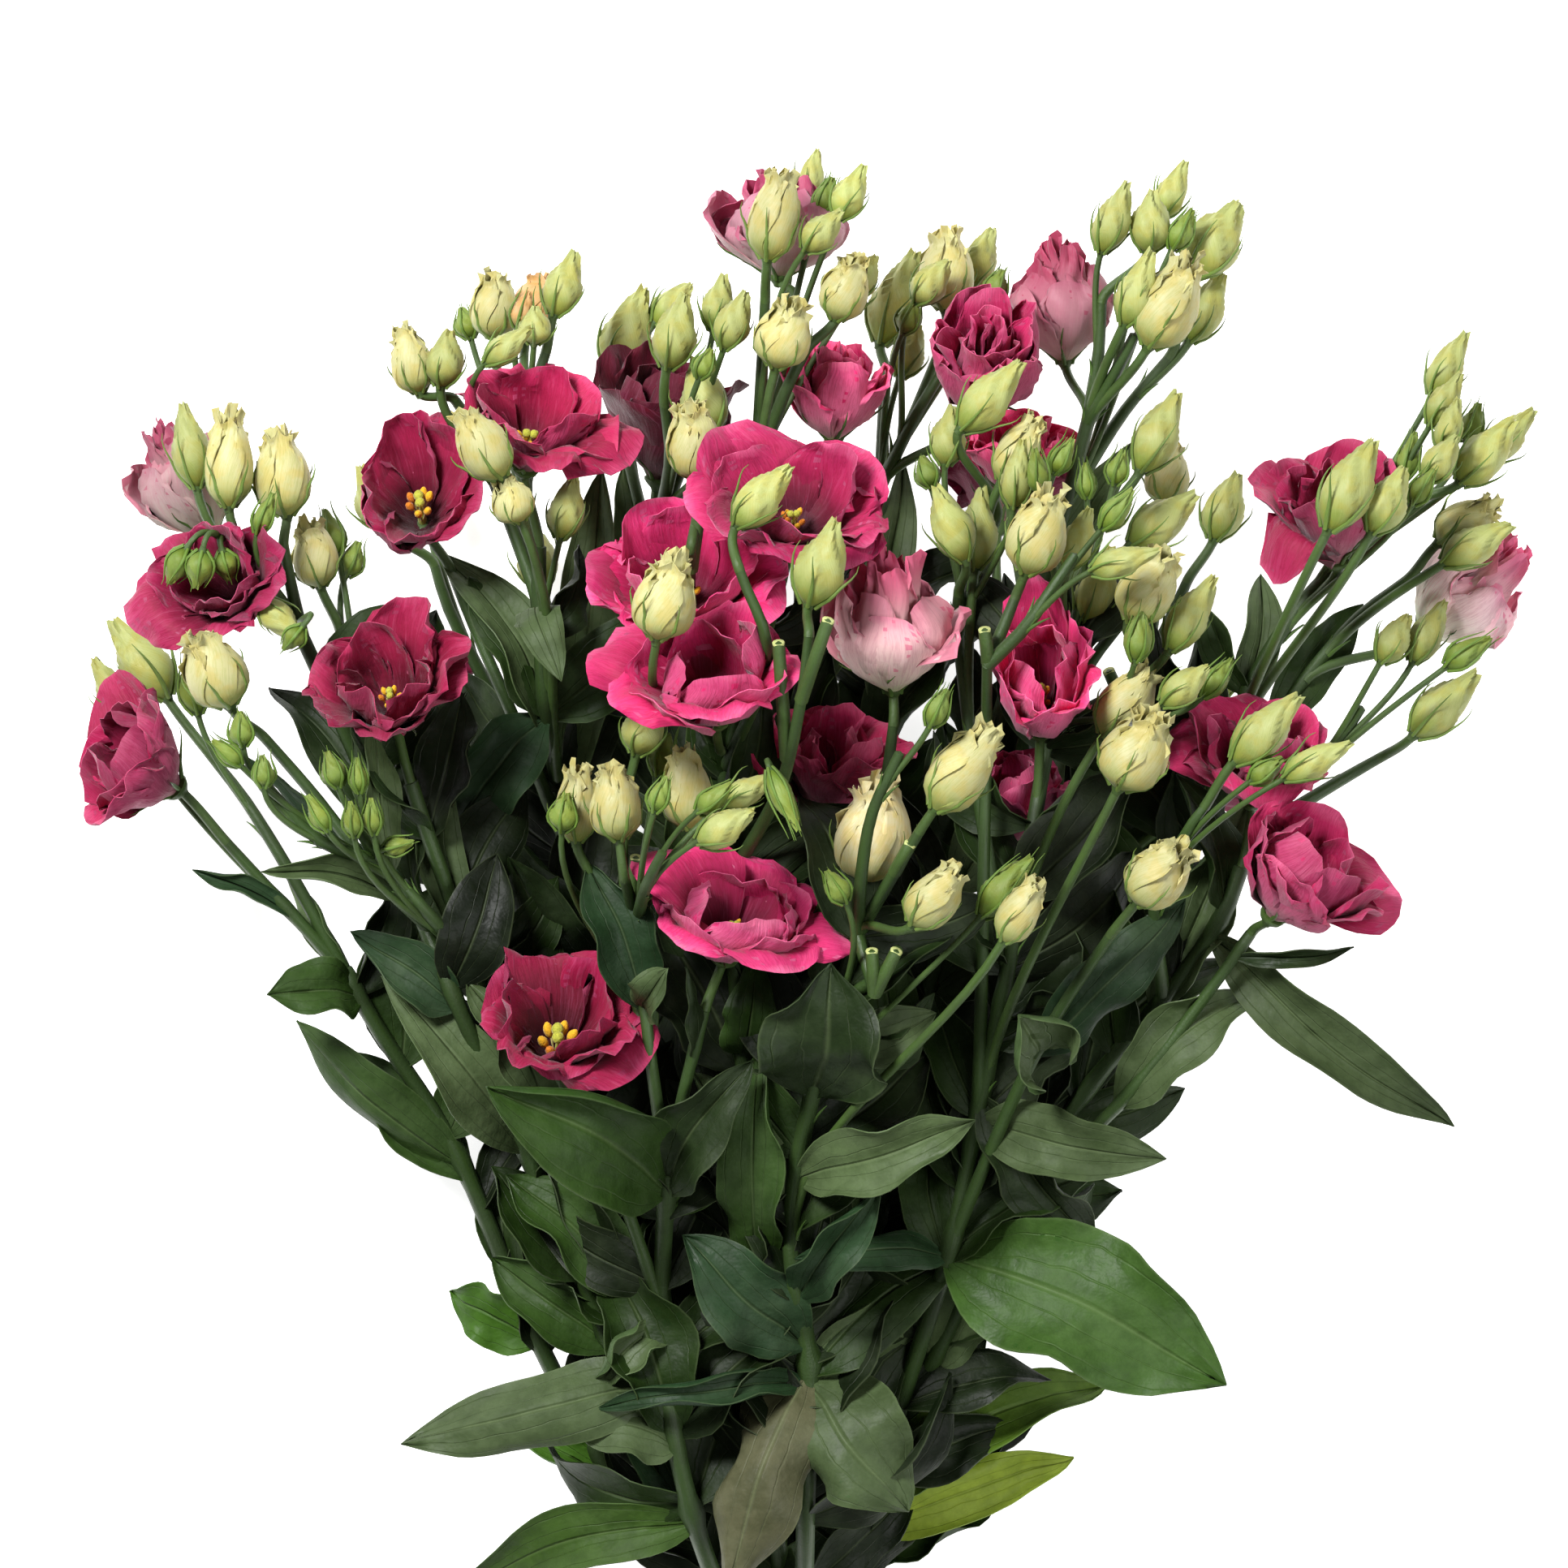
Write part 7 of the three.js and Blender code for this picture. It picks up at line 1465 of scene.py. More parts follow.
def leaf_material():
    """Leaves: waxy grey-green with a pale midrib, long side veins and mottled bloom."""
    paint = Paint("leaf")
    along, across, inside = paint.read("flow")
    seed, tone, _ = paint.read("kind")
    side = abs(across)
    rib = paint.line(side, 0.075)
    drift = paint.noise(1.3, 2.0, vector=paint.vector(across * 1.5, along * 4.0, seed * 30.0))
    course = side * 2.3 + (drift - 0.5) * 0.5 - along * 0.55
    vein = paint.line(abs(paint.math("FRACT", course + 2.0) - 0.5), 0.05)
    net = paint.node("ShaderNodeTexVoronoi", feature="DISTANCE_TO_EDGE")
    paint.feed(net.inputs["Vector"], paint.vector(across * 5.0, along * 16.0, seed * 30.0))
    net.inputs["Scale"].default_value = 1.2
    mesh = paint.line(net.outputs["Distance"], 0.09)
    blotch = paint.noise(34.0, 5.0, 0.62)
    fine = paint.noise(420.0)
    pucker = paint.noise(120.0)
    under = paint.times(paint.tint(), colour(235, 248, 238))
    base = paint.mix(inside, under, paint.tint())
    bloom = paint.mix(0.25, base, colour(112, 126, 92))
    deep = paint.times(base, colour(170, 180, 158))
    pale = paint.mix(0.35, base, colour(140, 158, 110))
    shade = base
    for share, other in (
        (paint.band(blotch, 0.4, 0.75, 0.0, 0.45), bloom), (paint.band(blotch, 0.25, 0.45, 0.65, 0.0), deep),
        (mesh * 0.1, deep), (paint.band(pucker, 0.3, 0.65, 0.45, 0.0), deep), (vein * 0.12, pale),
        (rib * 0.32, pale), (paint.band(side, 0.95, 1.0, 0.0, 0.3), pale),
    ):
        shade = paint.mix(share, shade, other)
    shade = paint.dimmed(shade, 0.84 + tone * 0.28 + (fine - 0.5) * 0.16)
    relief = blotch * 0.9 + fine * 0.04 + pucker * 0.35 - vein * 0.12 - rib * 0.4
    return paint.finish(shade, paint.band(blotch, 0.3, 0.7, 0.44, 0.62), paint.bump(relief, 0.0018, 0.9),
                        through=0.1, specular=0.18)


def heart_material():
    """Anthers, filaments and stigma: the colour comes with each part, with a mealy grain."""
    paint = Paint("stamen")
    grain = paint.noise(1500.0)
    shade = paint.dimmed(paint.tint(), paint.band(grain, 0.3, 0.7, 0.72, 1.12))
    return paint.finish(shade, 0.8, paint.bump(grain, 0.0004), sheen=0.2)


def tie_material():
    """A plain natural rubber band with fine dull streaks."""
    paint = Paint("tie")
    grain = paint.noise(500.0)
    streak = paint.noise(90.0, 4.0)
    shade = paint.mix(paint.band(streak, 0.35, 0.7), colour(196, 160, 104), colour(168, 130, 80))
    shade = paint.dimmed(shade, paint.band(grain, 0.3, 0.7, 0.86, 1.06))
    return paint.finish(shade, 0.62, paint.bump(grain, 0.0002))


def floor_material():
    """A white table that is lit softly from below."""
    paint = Paint("surface")
    grain = paint.noise(3.0, 2.0)
    shade = paint.mix(grain, colour(250, 250, 250), colour(252, 252, 252))
    return paint.finish(shade, 0.9, paint.bump(grain, 0.0001), specular=0.1, glow=0.82)

# Colours of the leaves

LEAF_TINTS = {
    "grey": colour(74, 90, 56), "dark": colour(29, 43, 18), "teal": colour(38, 61, 36),
    "green": colour(46, 70, 25), "bright": colour(64, 102, 28), "lime": colour(146, 166, 54),
    "mid": colour(84, 112, 36), "shade": colour(58, 84, 30), "brown": colour(84, 84, 60),
    "big": colour(62, 92, 37),
}
COMMON_LEAF_TINTS = ("grey", "grey", "dark", "teal", "green")
# Leaves with a colour of their own, by the place of their tip
TINT_PLACES = [
    (-185, 306, "grey"), (-126, 145, "bright"), (-118, 100, "bright"), (164, 112, "big"),
    (121, 113, "mid"), (106, 86, "lime"), (140, 212, "bright"), (-180, 248, "green"),
    (-159, 278, "teal"), (148, 290, "teal"), (-148, 259, "grey"), (-141, 89, "grey"),
    (-120, 34, "shade"), (-104, 180, "green"), (-124, 420, "grey"), (72, 214, "grey"),
    (141, 196, "grey"), (173, 262, "grey"), (-100, 308, "dark"), (-110, 360, "dark"),
    (-185, 370, "dark"), (110, 295, "dark"), (114, 164, "dark"), (154, 391, "dark"),
    (-20, 36, "brown"), (46, 66, "grey"), (246, 208, "grey"), (5, 158, "teal"), (-112, 235, "green"),
]
# Leaves whose folds show clearly: tip x, y, fold at the midrib, roll of each margin in degrees
LEAF_BENDS = [
    (164, 112, 6, 10, 24), (-20, 36, -20, -30, -60), (46, 66, -10, 30, -60), (-120, 34, 10, 20, 40),
    (-112, 235, 8, 20, 130), (246, 208, 24, 10, 40), (5, 158, -8, -60, -30), (-69, 107, 10, 90, 120),
    (-219, 303, 24, 60, 90), (-180, 248, -14, -30, -40), (-148, 259, 4, 20, 60),
    (-141, 89, -20, -40, 30), (-124, 420, 18, 40, 30), (72, 214, 10, 30, 60), (141, 196, 8, -30, 70),
    (173, 262, 14, 50, 20), (-159, 278, 16, 60, 20), (-126, 145, 8, 20, 20),
]


def nearest_entry(table, place, reach):
    """What a table of (x, y, ...) holds for the place, or nothing when its nearest row is out of reach."""
    x, y = place.at[:2]
    distance, entry = min((math.hypot(x - a, y - b), entry) for a, b, *entry in table)
    return entry if distance < reach else None


def leaf_tint(leaf, draw):
    own = nearest_entry(TINT_PLACES, leaf["tip"], 14)
    name = own[0] if own else COMMON_LEAF_TINTS[draw.randint(len(COMMON_LEAF_TINTS))]
    shift = draw.uniform(0.85, 1.15)
    return [part * shift for part in LEAF_TINTS[name]]


STEM_TINT = colour(50, 70, 35)
STALK_TINT = colour(64, 86, 43)
SEPAL_TINTS = {
    "tight": colour(104, 128, 62), "frilled": colour(104, 128, 62), "green": colour(96, 124, 50),
    "bloom": colour(72, 100, 44),
}
BUD_TINTS = {
    "tight": colour(174, 180, 112), "frilled": colour(194, 190, 136), "green": colour(126, 148, 66),
}
# Buds with a colour of their own, by the place of their foot
BUD_PLACES = [
    (-187, 408, colour(206, 150, 70)), (-98, 504, colour(212, 170, 120)), (126, 417, colour(198, 184, 140)),
    (28, 297, colour(214, 204, 162)), (-210, 420, colour(204, 198, 146)), (22, 541, colour(176, 184, 112)),
]
BLOOM_SEPAL = 15.0
PLAIN = (1.0, 1.0, 1.0)
# How much each bloom's colour differs from the material's own: partly its own colour, partly painted light
# and shade for how brightly each bloom is lit, such as the painted shadow that darkens bloom_07
BLOOM_TINTS_AND_PAINTED_SHADE = {
    "bloom_01": (0.77, 0.66, 0.7), "bloom_02": (0.66, 0.64, 0.64), "bloom_03": (0.62, 0.7, 0.6),
    "bloom_04": (0.62, 0.46, 0.5), "bloom_05": (0.76, 0.64, 0.68), "bloom_06": (0.76, 0.48, 0.6),
    "bloom_07": (0.2, 0.08, 0.12), "bloom_08": (0.96, 0.96, 0.98), "bloom_09": (1.24, 1.28, 1.34),
    "bloom_10": (1.16, 1.1, 1.16), "bloom_11": (1.42, 1.6, 1.45), "bloom_12": (0.76, 0.68, 0.72),
    "bloom_13": (1.04, 1.18, 1.02), "bloom_15": (0.66, 0.5, 0.52), "bloom_16": (1.3, 1.0, 1.1),
    "bloom_17": (1.4, 1.5, 1.5), "bloom_18": (0.95, 0.8, 0.8), "bloom_19": (0.76, 0.64, 0.68),
    "bloom_20": (1.24, 1.6, 1.4), "bloom_21": (0.96, 0.84, 0.9), "bloom_22": (0.86, 0.78, 0.82),
    "bloom_23": (1.2, 1.5, 1.35), "bloom_24": (0.6, 0.32, 0.46), "bloom_26": (0.5, 0.4, 0.45),
    "bloom_27": (0.5, 0.4, 0.45), "bloom_28": (0.5, 0.4, 0.45), "bloom_29": (0.5, 0.4, 0.45),
}


def head_draw(name, number):
    """The random draws of a piece, seeded from its name."""
    seed = sum(ord(letter) * 31 ** k for k, letter in enumerate(name)) + 7919 * number
    return np.random.RandomState(seed % 2**31)


def plain_kind(draw):
    """What the green material reads: a random seed, then a middling tone."""
    return draw.uniform(0, 1), 0.5, 0.0


def add_head_green(pile, whorl, girth, width, stalk, draw, sepal_length, sepal_tint, flare, base_share=0.24):
    """The stalk, receptacle and sepals of a bud or bloom."""
    radius = PEDICEL_RADIUS * (1.08 if width > 13 else 0.72)
    add_tube(pile, stalk, np.linspace(radius * 1.15, radius, len(stalk)), 8, plain_kind(draw), STALK_TINT,
             ridge=0.05)
    add_receptacle(pile, whorl, base_share * 0.5 * width + 0.5, radius, 0.12 * width + 1.5,
                   plain_kind(draw), STALK_TINT)
    add_sepals(pile, whorl, girth, sepal_length, draw, sepal_tint, flare, 1.7 if width > 16 else 1.2)


def tight_girth(whorl):
    def girth(height):
        share = np.clip(np.asarray(height) / whorl.length, 0, 1)
        return smooth_curve(BUD_GIRTH, share)[:, 0] * whorl.radius
    return girth


def profile_girth(whorl, profile):
    rows = np.asarray(profile)

    def girth(height):
        share = np.clip(np.asarray(height) / whorl.length, 0, 1)
        return np.interp(share, rows[:, 1], rows[:, 0]) * whorl.radius
    return girth


def add_bracts(pile, path, draw):
    """A pair of narrow leaves where a stalk leaves its limb."""
    way = unit(path[2] - path[0])
    for side in (-1, 1):
        across = turned(sideways(way), way, draw.uniform(-1, 1)) * side
        length = draw.uniform(6, 12)
        t = np.linspace(0, 1, 7)[:, None]
        bract = path[0] + way * (length * t) + across * (PEDICEL_RADIUS + 0.3 * length * t**1.6)
        radii = 0.95 * (0.7 + 0.3 * ease(t[:, 0], 0, 0.3)) * (1 - 0.93 * t[:, 0]) + 0.08
        add_tube(pile, bract, radii, 6, plain_kind(draw), SEPAL_TINTS["bloom"])


def bud_tint(bud):
    own = nearest_entry(BUD_PLACES, bud["base"], 5)
    return own[0] if own else BUD_TINTS[bud["kind"]]


def build_buds(stem, wood, buds, draw):
    for bud in stem["buds"]:
        foot, tip = settled(bud["base"]), settled(bud["tip"])
        width, kind = bud["width"], bud["kind"]
        shift = draw.uniform(0.94, 1.06)
        tint = [part * shift for part in bud_tint(bud)]
        if kind == "frilled":
            whorl = add_frilled_bud(buds, foot, tip, width, draw, tint)
            girth = profile_girth(whorl, FRILL_PROFILE)
        else:
            whorl = add_tight_bud(buds, foot, tip, width, draw, tint)
            girth = tight_girth(whorl)
        share = {"tight": 0.6, "frilled": 0.5, "green": 1.08}[kind]
        if not bud["crowns"]:
            add_bracts(wood, stalk_path(bud), draw)
        add_head_green(wood, whorl, girth, width, stalk_path(bud), draw, share * whorl.length + 1,
                       SEPAL_TINTS[kind], 0.08 if kind == "green" else 0.2)


# How far the thick of the foliage reaches to the left and right at each height
FOLIAGE_EDGE = np.array([
    [0, -40, 40], [45, -80, 70], [100, -96, 96], [150, -92, 112], [200, -118, 140], [250, -142, 160],
    [300, -158, 182], [350, -172, 196], [400, -150, 170], [440, -120, 140],
])
FOLIAGE_TOP = 430
FOLIAGE_LOWEST = 4
JOINTS_FROM = 34
JOINT_STEP = 27
JOINTS_END = 400
# The inner leaves: their lean from the stem and roll in degrees, their length, their breadth
# and sink as shares of it, their curl, and the share of their colour left under painted shade
INNER_LEAN = (14, 62)
INNER_ROLL = (-50, 50)
INNER_LENGTH = (52, 84)
INNER_BREADTH = (0.4, 0.56)
INNER_SINK = (-0.05, 0.4)
INNER_CURL = (0.02, 0.2)
INNER_PAINTED_SHADE = (0.3, 0.75)


def inner_leaves(stem, draw):
    """Pairs of leaves at the joints of the main stem, in the thick of the bunch."""
    limb = stem["limbs"][0]
    heights = [p.at[1] for p in limb]
    leaves = []
    for height in np.arange(JOINTS_FROM + draw.uniform(0, 20), min(heights[-1], JOINTS_END), JOINT_STEP):
        spot = next(k for k in range(len(limb) - 1) if heights[k + 1] > height)
        share = (height - heights[spot]) / (heights[spot + 1] - heights[spot])
        base = between(limb[spot], limb[spot + 1], share)
        course = limb[spot + 1].at - limb[spot].at
        heading = math.atan2(course[1], course[0])
        for side in (-1, 1):
            way = heading + side * math.radians(draw.uniform(*INNER_LEAN))
            length = draw.uniform(*INNER_LENGTH) * (1 - 0.3 * height / 450)
            width = length * draw.uniform(*INNER_BREADTH)
            sink = -draw.uniform(*INNER_SINK) * length
            tip = base.at + np.array([length * math.cos(way), length * math.sin(way), sink])
            left, right = [np.interp(tip[1], FOLIAGE_EDGE[:, 0], FOLIAGE_EDGE[:, k]) for k in (1, 2)]
            if not left < tip[0] < right or tip[1] > FOLIAGE_TOP:
                continue
            if settled(base)[2] + sink < FOLIAGE_LOWEST:
                tip[2] = base.at[2] - settled(base)[2] + FOLIAGE_LOWEST
            span = tip - base.at
            axis = unit(span)
            across = unit(np.cross(axis, [0.0, 0.0, 1.0]))
            across = turned(across, axis, math.radians(draw.uniform(*INNER_ROLL)))
            end = Point(tip, base.rides)
            curl = draw.uniform(*INNER_CURL)
            face = np.cross(across, axis)
            reach = float(np.linalg.norm(span))
            rows = [[base]]
            for part in (0.28, 0.68):
                middle = between(base, end, part)
                middle.at = middle.at + face * (curl * reach * math.sin(math.pi * part))
                rows.append([middle])
            rows.append([end])
            leaves.append({"rows": rows, "base": base, "tip": end, "side": across, "face": face,
                           "length": reach, "width": width, "curl": curl})
    return leaves


# Side shoots that were cut off: where each one leaves its limb and where it ends
STUBS = [
    (-33, 413, -31, 433), (5, 365, 16, 394), (-4, 345, -2, 386), (-54, 290, -54, 308), (31, 320, 32, 335),
    (44, 300, 46, 313), (32, 255, 32, 274), (37, 250, 41, 274), (72, 380, 73, 391), (119, 366, 121, 377),
]
STUB_RADIUS = 2.2
STUB_RISE = 0.5
STUB_BOW = 0.12
CUT_TINT = colour(186, 192, 132)


def nearest_limb(x, y):
    """The stem and the point on it that lie nearest to a place as seen from above."""
    found = []
    for stem in stems:
        for limb in stem["limbs"]:
            _, distance, point = point_on_limb(limb, [x, y])
            found.append((distance, stem["name"], point))
    return min(found, key=lambda entry: entry[0])


def add_stubs(wood, stem, draw):
    for x, y, end_x, end_y in STUBS:
        _, name, point = nearest_limb(x, y)
        if name != stem["name"]:
            continue
        root = settled(point)
        span = np.array([end_x, end_y, 0.0]) - [*root[:2], 0.0]
        length = float(np.linalg.norm(span))
        end = root + span + [0, 0, STUB_RISE * length]
        t = np.linspace(0, 1, 8)[:, None]
        bow = np.array([0.0, 0.0, STUB_BOW]) * length * np.sin(math.pi * t)
        path = root + (end - root) * t + bow
        add_tube(wood, path, np.linspace(STUB_RADIUS * 1.1, STUB_RADIUS, 8), 10, plain_kind(draw),
                 STALK_TINT, ridge=0.06)
        way = unit(end - root)
        add_tube(wood, np.stack([end - way * 0.6, end + way * 0.25, end + way * 0.5]),
                 [STUB_RADIUS * 1.06, STUB_RADIUS * 1.06, STUB_RADIUS * 0.9], 10, (0.5, 0.9, 0.0),
                 CUT_TINT, caps=(0.1, 0.02))


# Small buds that hang from a limb: where it leaves the limb, its rise, its foot, its tip, its width
HANGERS = [
    (-209, 430, 84, -219, 421, -226, 409, 10), (-209, 430, 88, -213, 420, -215, 407, 10),
    (-209, 430, 80, -206, 420, -203, 410, 9), (-171, 396, 50, -176, 392, -183, 384, 8),
]


def add_hangers(wood, buds, stem, draw):
    for x, y, rise, foot_x, foot_y, tip_x, tip_y, width in HANGERS:
        _, name, point = nearest_limb(x, y)
        if name != stem["name"]:
            continue
        root = settled(point)
        foot = np.array([foot_x, foot_y, root[2] + rise])
        tip = np.array([tip_x, tip_y, foot[2] - 3.0])
        over = np.array([0.3 * (foot_x - root[0]), 0.3 * (foot_y - root[1]), 0.9 * rise])
        stalk = bezier(root, root + over, foot - 1.2 * (tip - foot), foot)
        whorl = add_tight_bud(buds, foot, tip, width, draw, BUD_TINTS["green"])
        add_head_green(wood, whorl, tight_girth(whorl), width, stalk, draw, 1.08 * whorl.length,
                       SEPAL_TINTS["green"], 0.08)


def build_stem(stem):
    draw = head_draw(stem["name"], 1)
    wood, foliage, buds = Pile(), Pile(), Pile()
    for place, limb in enumerate(stem["limbs"]):
        add_limb(wood, stem, place, limb, draw)
    for leaf in stem["leaves"]:
        add_leaf(foliage, leaf, draw, leaf_tint(leaf, draw), bend=nearest_entry(LEAF_BENDS, leaf["tip"], 12))
    for leaf in inner_leaves(stem, draw):
        tint = LEAF_TINTS["dark" if draw.uniform(0, 1) < 0.5 else "green"]
        # A random share darkens each inner leaf: painted shade for the thick of the bunch.
        share = draw.uniform(*INNER_PAINTED_SHADE)
        add_leaf(foliage, leaf, draw, [part * share for part in tint], rows=15, columns=7)
    build_buds(stem, wood, buds, draw)
    add_stubs(wood, stem, draw)
    add_hangers(wood, buds, stem, draw)
    for bloom in blooms:
        if bloom["stem"] != stem["name"]:
            continue
        foot, tip = settled(bloom["base"]), settled(bloom["tip"])
        whorl = Whorl(foot, tip - foot, float(np.linalg.norm(tip - foot)), 0.5 * bloom["width"])
        girth = profile_girth(whorl, PROFILES[bloom["form"]])
        add_head_green(wood, whorl, girth, bloom["width"] * 0.5, stalk_path(bloom), draw, BLOOM_SEPAL,
                       SEPAL_TINTS["bloom"], 0.25, base_share=0.3)
    wood.build(stem["name"] + "_green", "stem", stem["name"], crease=60)
    foliage.build(stem["name"] + "_leaves", "leaf", stem["name"], crease=70)
    if buds.count:
        buds.build(stem["name"] + "_buds", "bud", stem["name"], crease=65)


# Petal profiles for the inner whorls, from wide to folded over the throat
FOLDS = {
    "flare": [[0.08, 0.02], [0.5, 0.3], [0.85, 0.7], [1.1, 0.9]],
    "stand": [[0.1, 0.02], [0.6, 0.28], [0.88, 0.66], [0.92, 1.0]],
    "close": [[0.1, 0.02], [0.68, 0.28], [0.92, 0.62], [0.58, 1.0]],
    "wrap": [[0.12, 0.02], [0.8, 0.28], [1.0, 0.6], [0.5, 1.0]],
    "curl": [[0.12, 0.02], [0.74, 0.3], [0.84, 0.68], [1.08, 0.98]],
    "spike": [[0.1, 0.1], [0.7, 0.45], [0.8, 0.8], [0.75, 1.1]],
}
# A whorl is its petals' count, spread, reach, floor, breadth, ruffle, crown tone, profile,
# lean and wrap round the axis. The first one follows the form that the solid has.
LOOKS = {
    "throat": [
        (5, 1.0, 1.0, 0.0, 2.0, 2.2, 0.0, "", 0.1, 1.2),
        (3, 0.82, 0.98, 1.5, 2.1, 2.4, 0.2, "stand", 0.2, 1.3),
    ],
    "loose": [
        (5, 1.0, 1.0, 0.0, 2.0, 3.6, 0.0, "", 0.1, 1.2),
        (4, 0.84, 1.04, 1.5, 1.8, 3.4, 0.2, "flare", 0.15, 1.2),
        (3, 0.62, 1.06, 3.0, 1.8, 3.0, 0.4, "stand", 0.25, 1.4),
        (2, 0.42, 0.98, 4.0, 1.6, 2.4, 0.6, "close", 0.3, 1.4),
    ],
    "swirl": [
        (5, 1.0, 1.0, 0.0, 2.0, 2.8, 0.0, "", 0.15, 1.2),
        (4, 0.82, 1.02, 1.5, 1.9, 2.6, 0.2, "stand", 0.3, 1.4),
        (4, 0.6, 1.04, 3.0, 1.9, 2.2, 0.5, "close", 0.45, 1.7),
        (3, 0.36, 1.0, 4.0, 1.9, 1.6, 0.8, "close", 0.6, 2.0),
    ],
    "open": [
        (5, 1.0, 1.0, 0.0, 2.0, 3.8, 0.0, "", 0.1, 1.2),
        (4, 0.86, 1.1, 1.5, 1.8, 3.6, 0.2, "flare", 0.15, 1.2),
        (3, 0.64, 1.1, 3.0, 1.9, 3.2, 0.4, "stand", 0.2, 1.4),
    ],
    "rose": [
        (5, 1.0, 1.0, 0.0, 2.1, 2.6, 0.0, "", 0.2, 1.2),
        (4, 0.84, 1.04, 1.0, 2.0, 2.2, 0.2, "curl", 0.4, 1.4),
        (3, 0.64, 1.06, 2.5, 2.3, 1.8, 0.5, "curl", 0.6, 1.7),
        (3, 0.44, 1.04, 3.5, 2.2, 1.4, 0.8, "curl", 0.8, 2.0),
        (2, 0.26, 1.0, 4.0, 2.4, 1.0, 1.0, "close", 0.9, 2.4),
    ],
    "slit": [
        (5, 1.0, 1.0, 0.0, 2.1, 3.0, 0.0, "", 0.1, 1.2),
        (4, 0.8, 1.04, 1.5, 2.2, 2.4, 0.2, "stand", 0.3, 1.4),
        (3, 0.56, 1.02, 3.0, 2.4, 1.8, 0.5, "close", 0.4, 1.8),
    ],
    "crown": [
        (5, 1.0, 1.0, 0.0, 2.2, 1.6, 0.0, "", 0.2, 1.3),
        (4, 0.84, 1.0, 2.0, 2.0, 2.0, 0.3, "wrap", 0.35, 1.5),
        (5, 0.56, 1.1, 3.0, 1.2, 2.4, 0.9, "spike", 0.4, 1.4),
        (4, 0.3, 1.12, 4.0, 1.2, 2.2, 1.0, "spike", 0.5, 1.6),
    ],
}
# Outer petals that stand out from the others: the way they point in the picture, reach, tilt
# and, where a petal hangs down, its droop
LOBES = {
    "bloom_01": [(-0.5, 1, 1.12, 0.1)],
    "bloom_02": [(-1, 0.3, 1.14, 0.3), (0.5, 1, 1.25, -0.2)],
    "bloom_04": [(-0.2, 1, 1.16, -0.1), (1, 0.5, 1.12, 0.0)],
    "bloom_05": [(0.1, 1, 1.16, -0.2)],
    "bloom_06": [(1, -1, 1.02, 0.25)],
    "bloom_10": [(-1, 0.6, 0.96, 0.42)],
    "bloom_12": [(-1, 0.3, 1.08, 0.2)],
    "bloom_13": [(1, 0.2, 0.84, 0.5)],
    "bloom_17": [(0.1, 1, 1.3, -0.1), (0.2, -1, 1.1, 0.1)],
    "bloom_19": [(-0.5, -1, 1.0, 0.1, 0.75), (-1, 0.3, 1.05, 0.15)],
    "bloom_22": [(1, -0.7, 0.9, 0.4)],
    "bloom_23": [(1, -0.4, 0.92, 0.35), (-1, 0.6, 1.3, 0.2)],
    "bloom_24": [(-0.3, 1, 1.2, -0.1), (1, -0.6, 0.96, 0.2)],
}


# A hanging petal is wider and more pointed than the others
HANGING_WIDTH = 1.15
HANGING_TAPER = 0.55
FRILLED_CROWN = 0.8
# How far one petal may differ from the others of its ring
TURN_SPREAD = 0.24
REACH_SPREAD = (0.86, 1.06)
TILT_SPREAD = (-0.2, 0.14)
WIDTH_SPREAD = (0.86, 1.1)
OUT_SPREAD = (0.92, 1.04)
RUFFLE_SPREAD = (0.7, 1.7)
PITCH_SPREAD = (0.4, 0.85)
LEAN_SPREAD = (0.4, 1.4)
# Rings narrower than this leave their place to the stamens
HEART_ROOM = 0.5


def petal_lobes(name, whorl, turn):
    """The reach, tilt and droop of each outer petal that stands out, by its number."""
    lobes = {}
    for x, y, reach, tilt, *droop in LOBES.get(name, []):
        way = unit(np.array([x, y]))
        angles = turn + 2 * math.pi * np.arange(OUTER_PETALS) / OUTER_PETALS
        spokes = np.cos(angles)[:, None] * whorl.side[:2] + np.sin(angles)[:, None] * whorl.up[:2]
        lobes[int(np.argmax(spokes @ way))] = (reach, tilt, sum(droop))
    return lobes


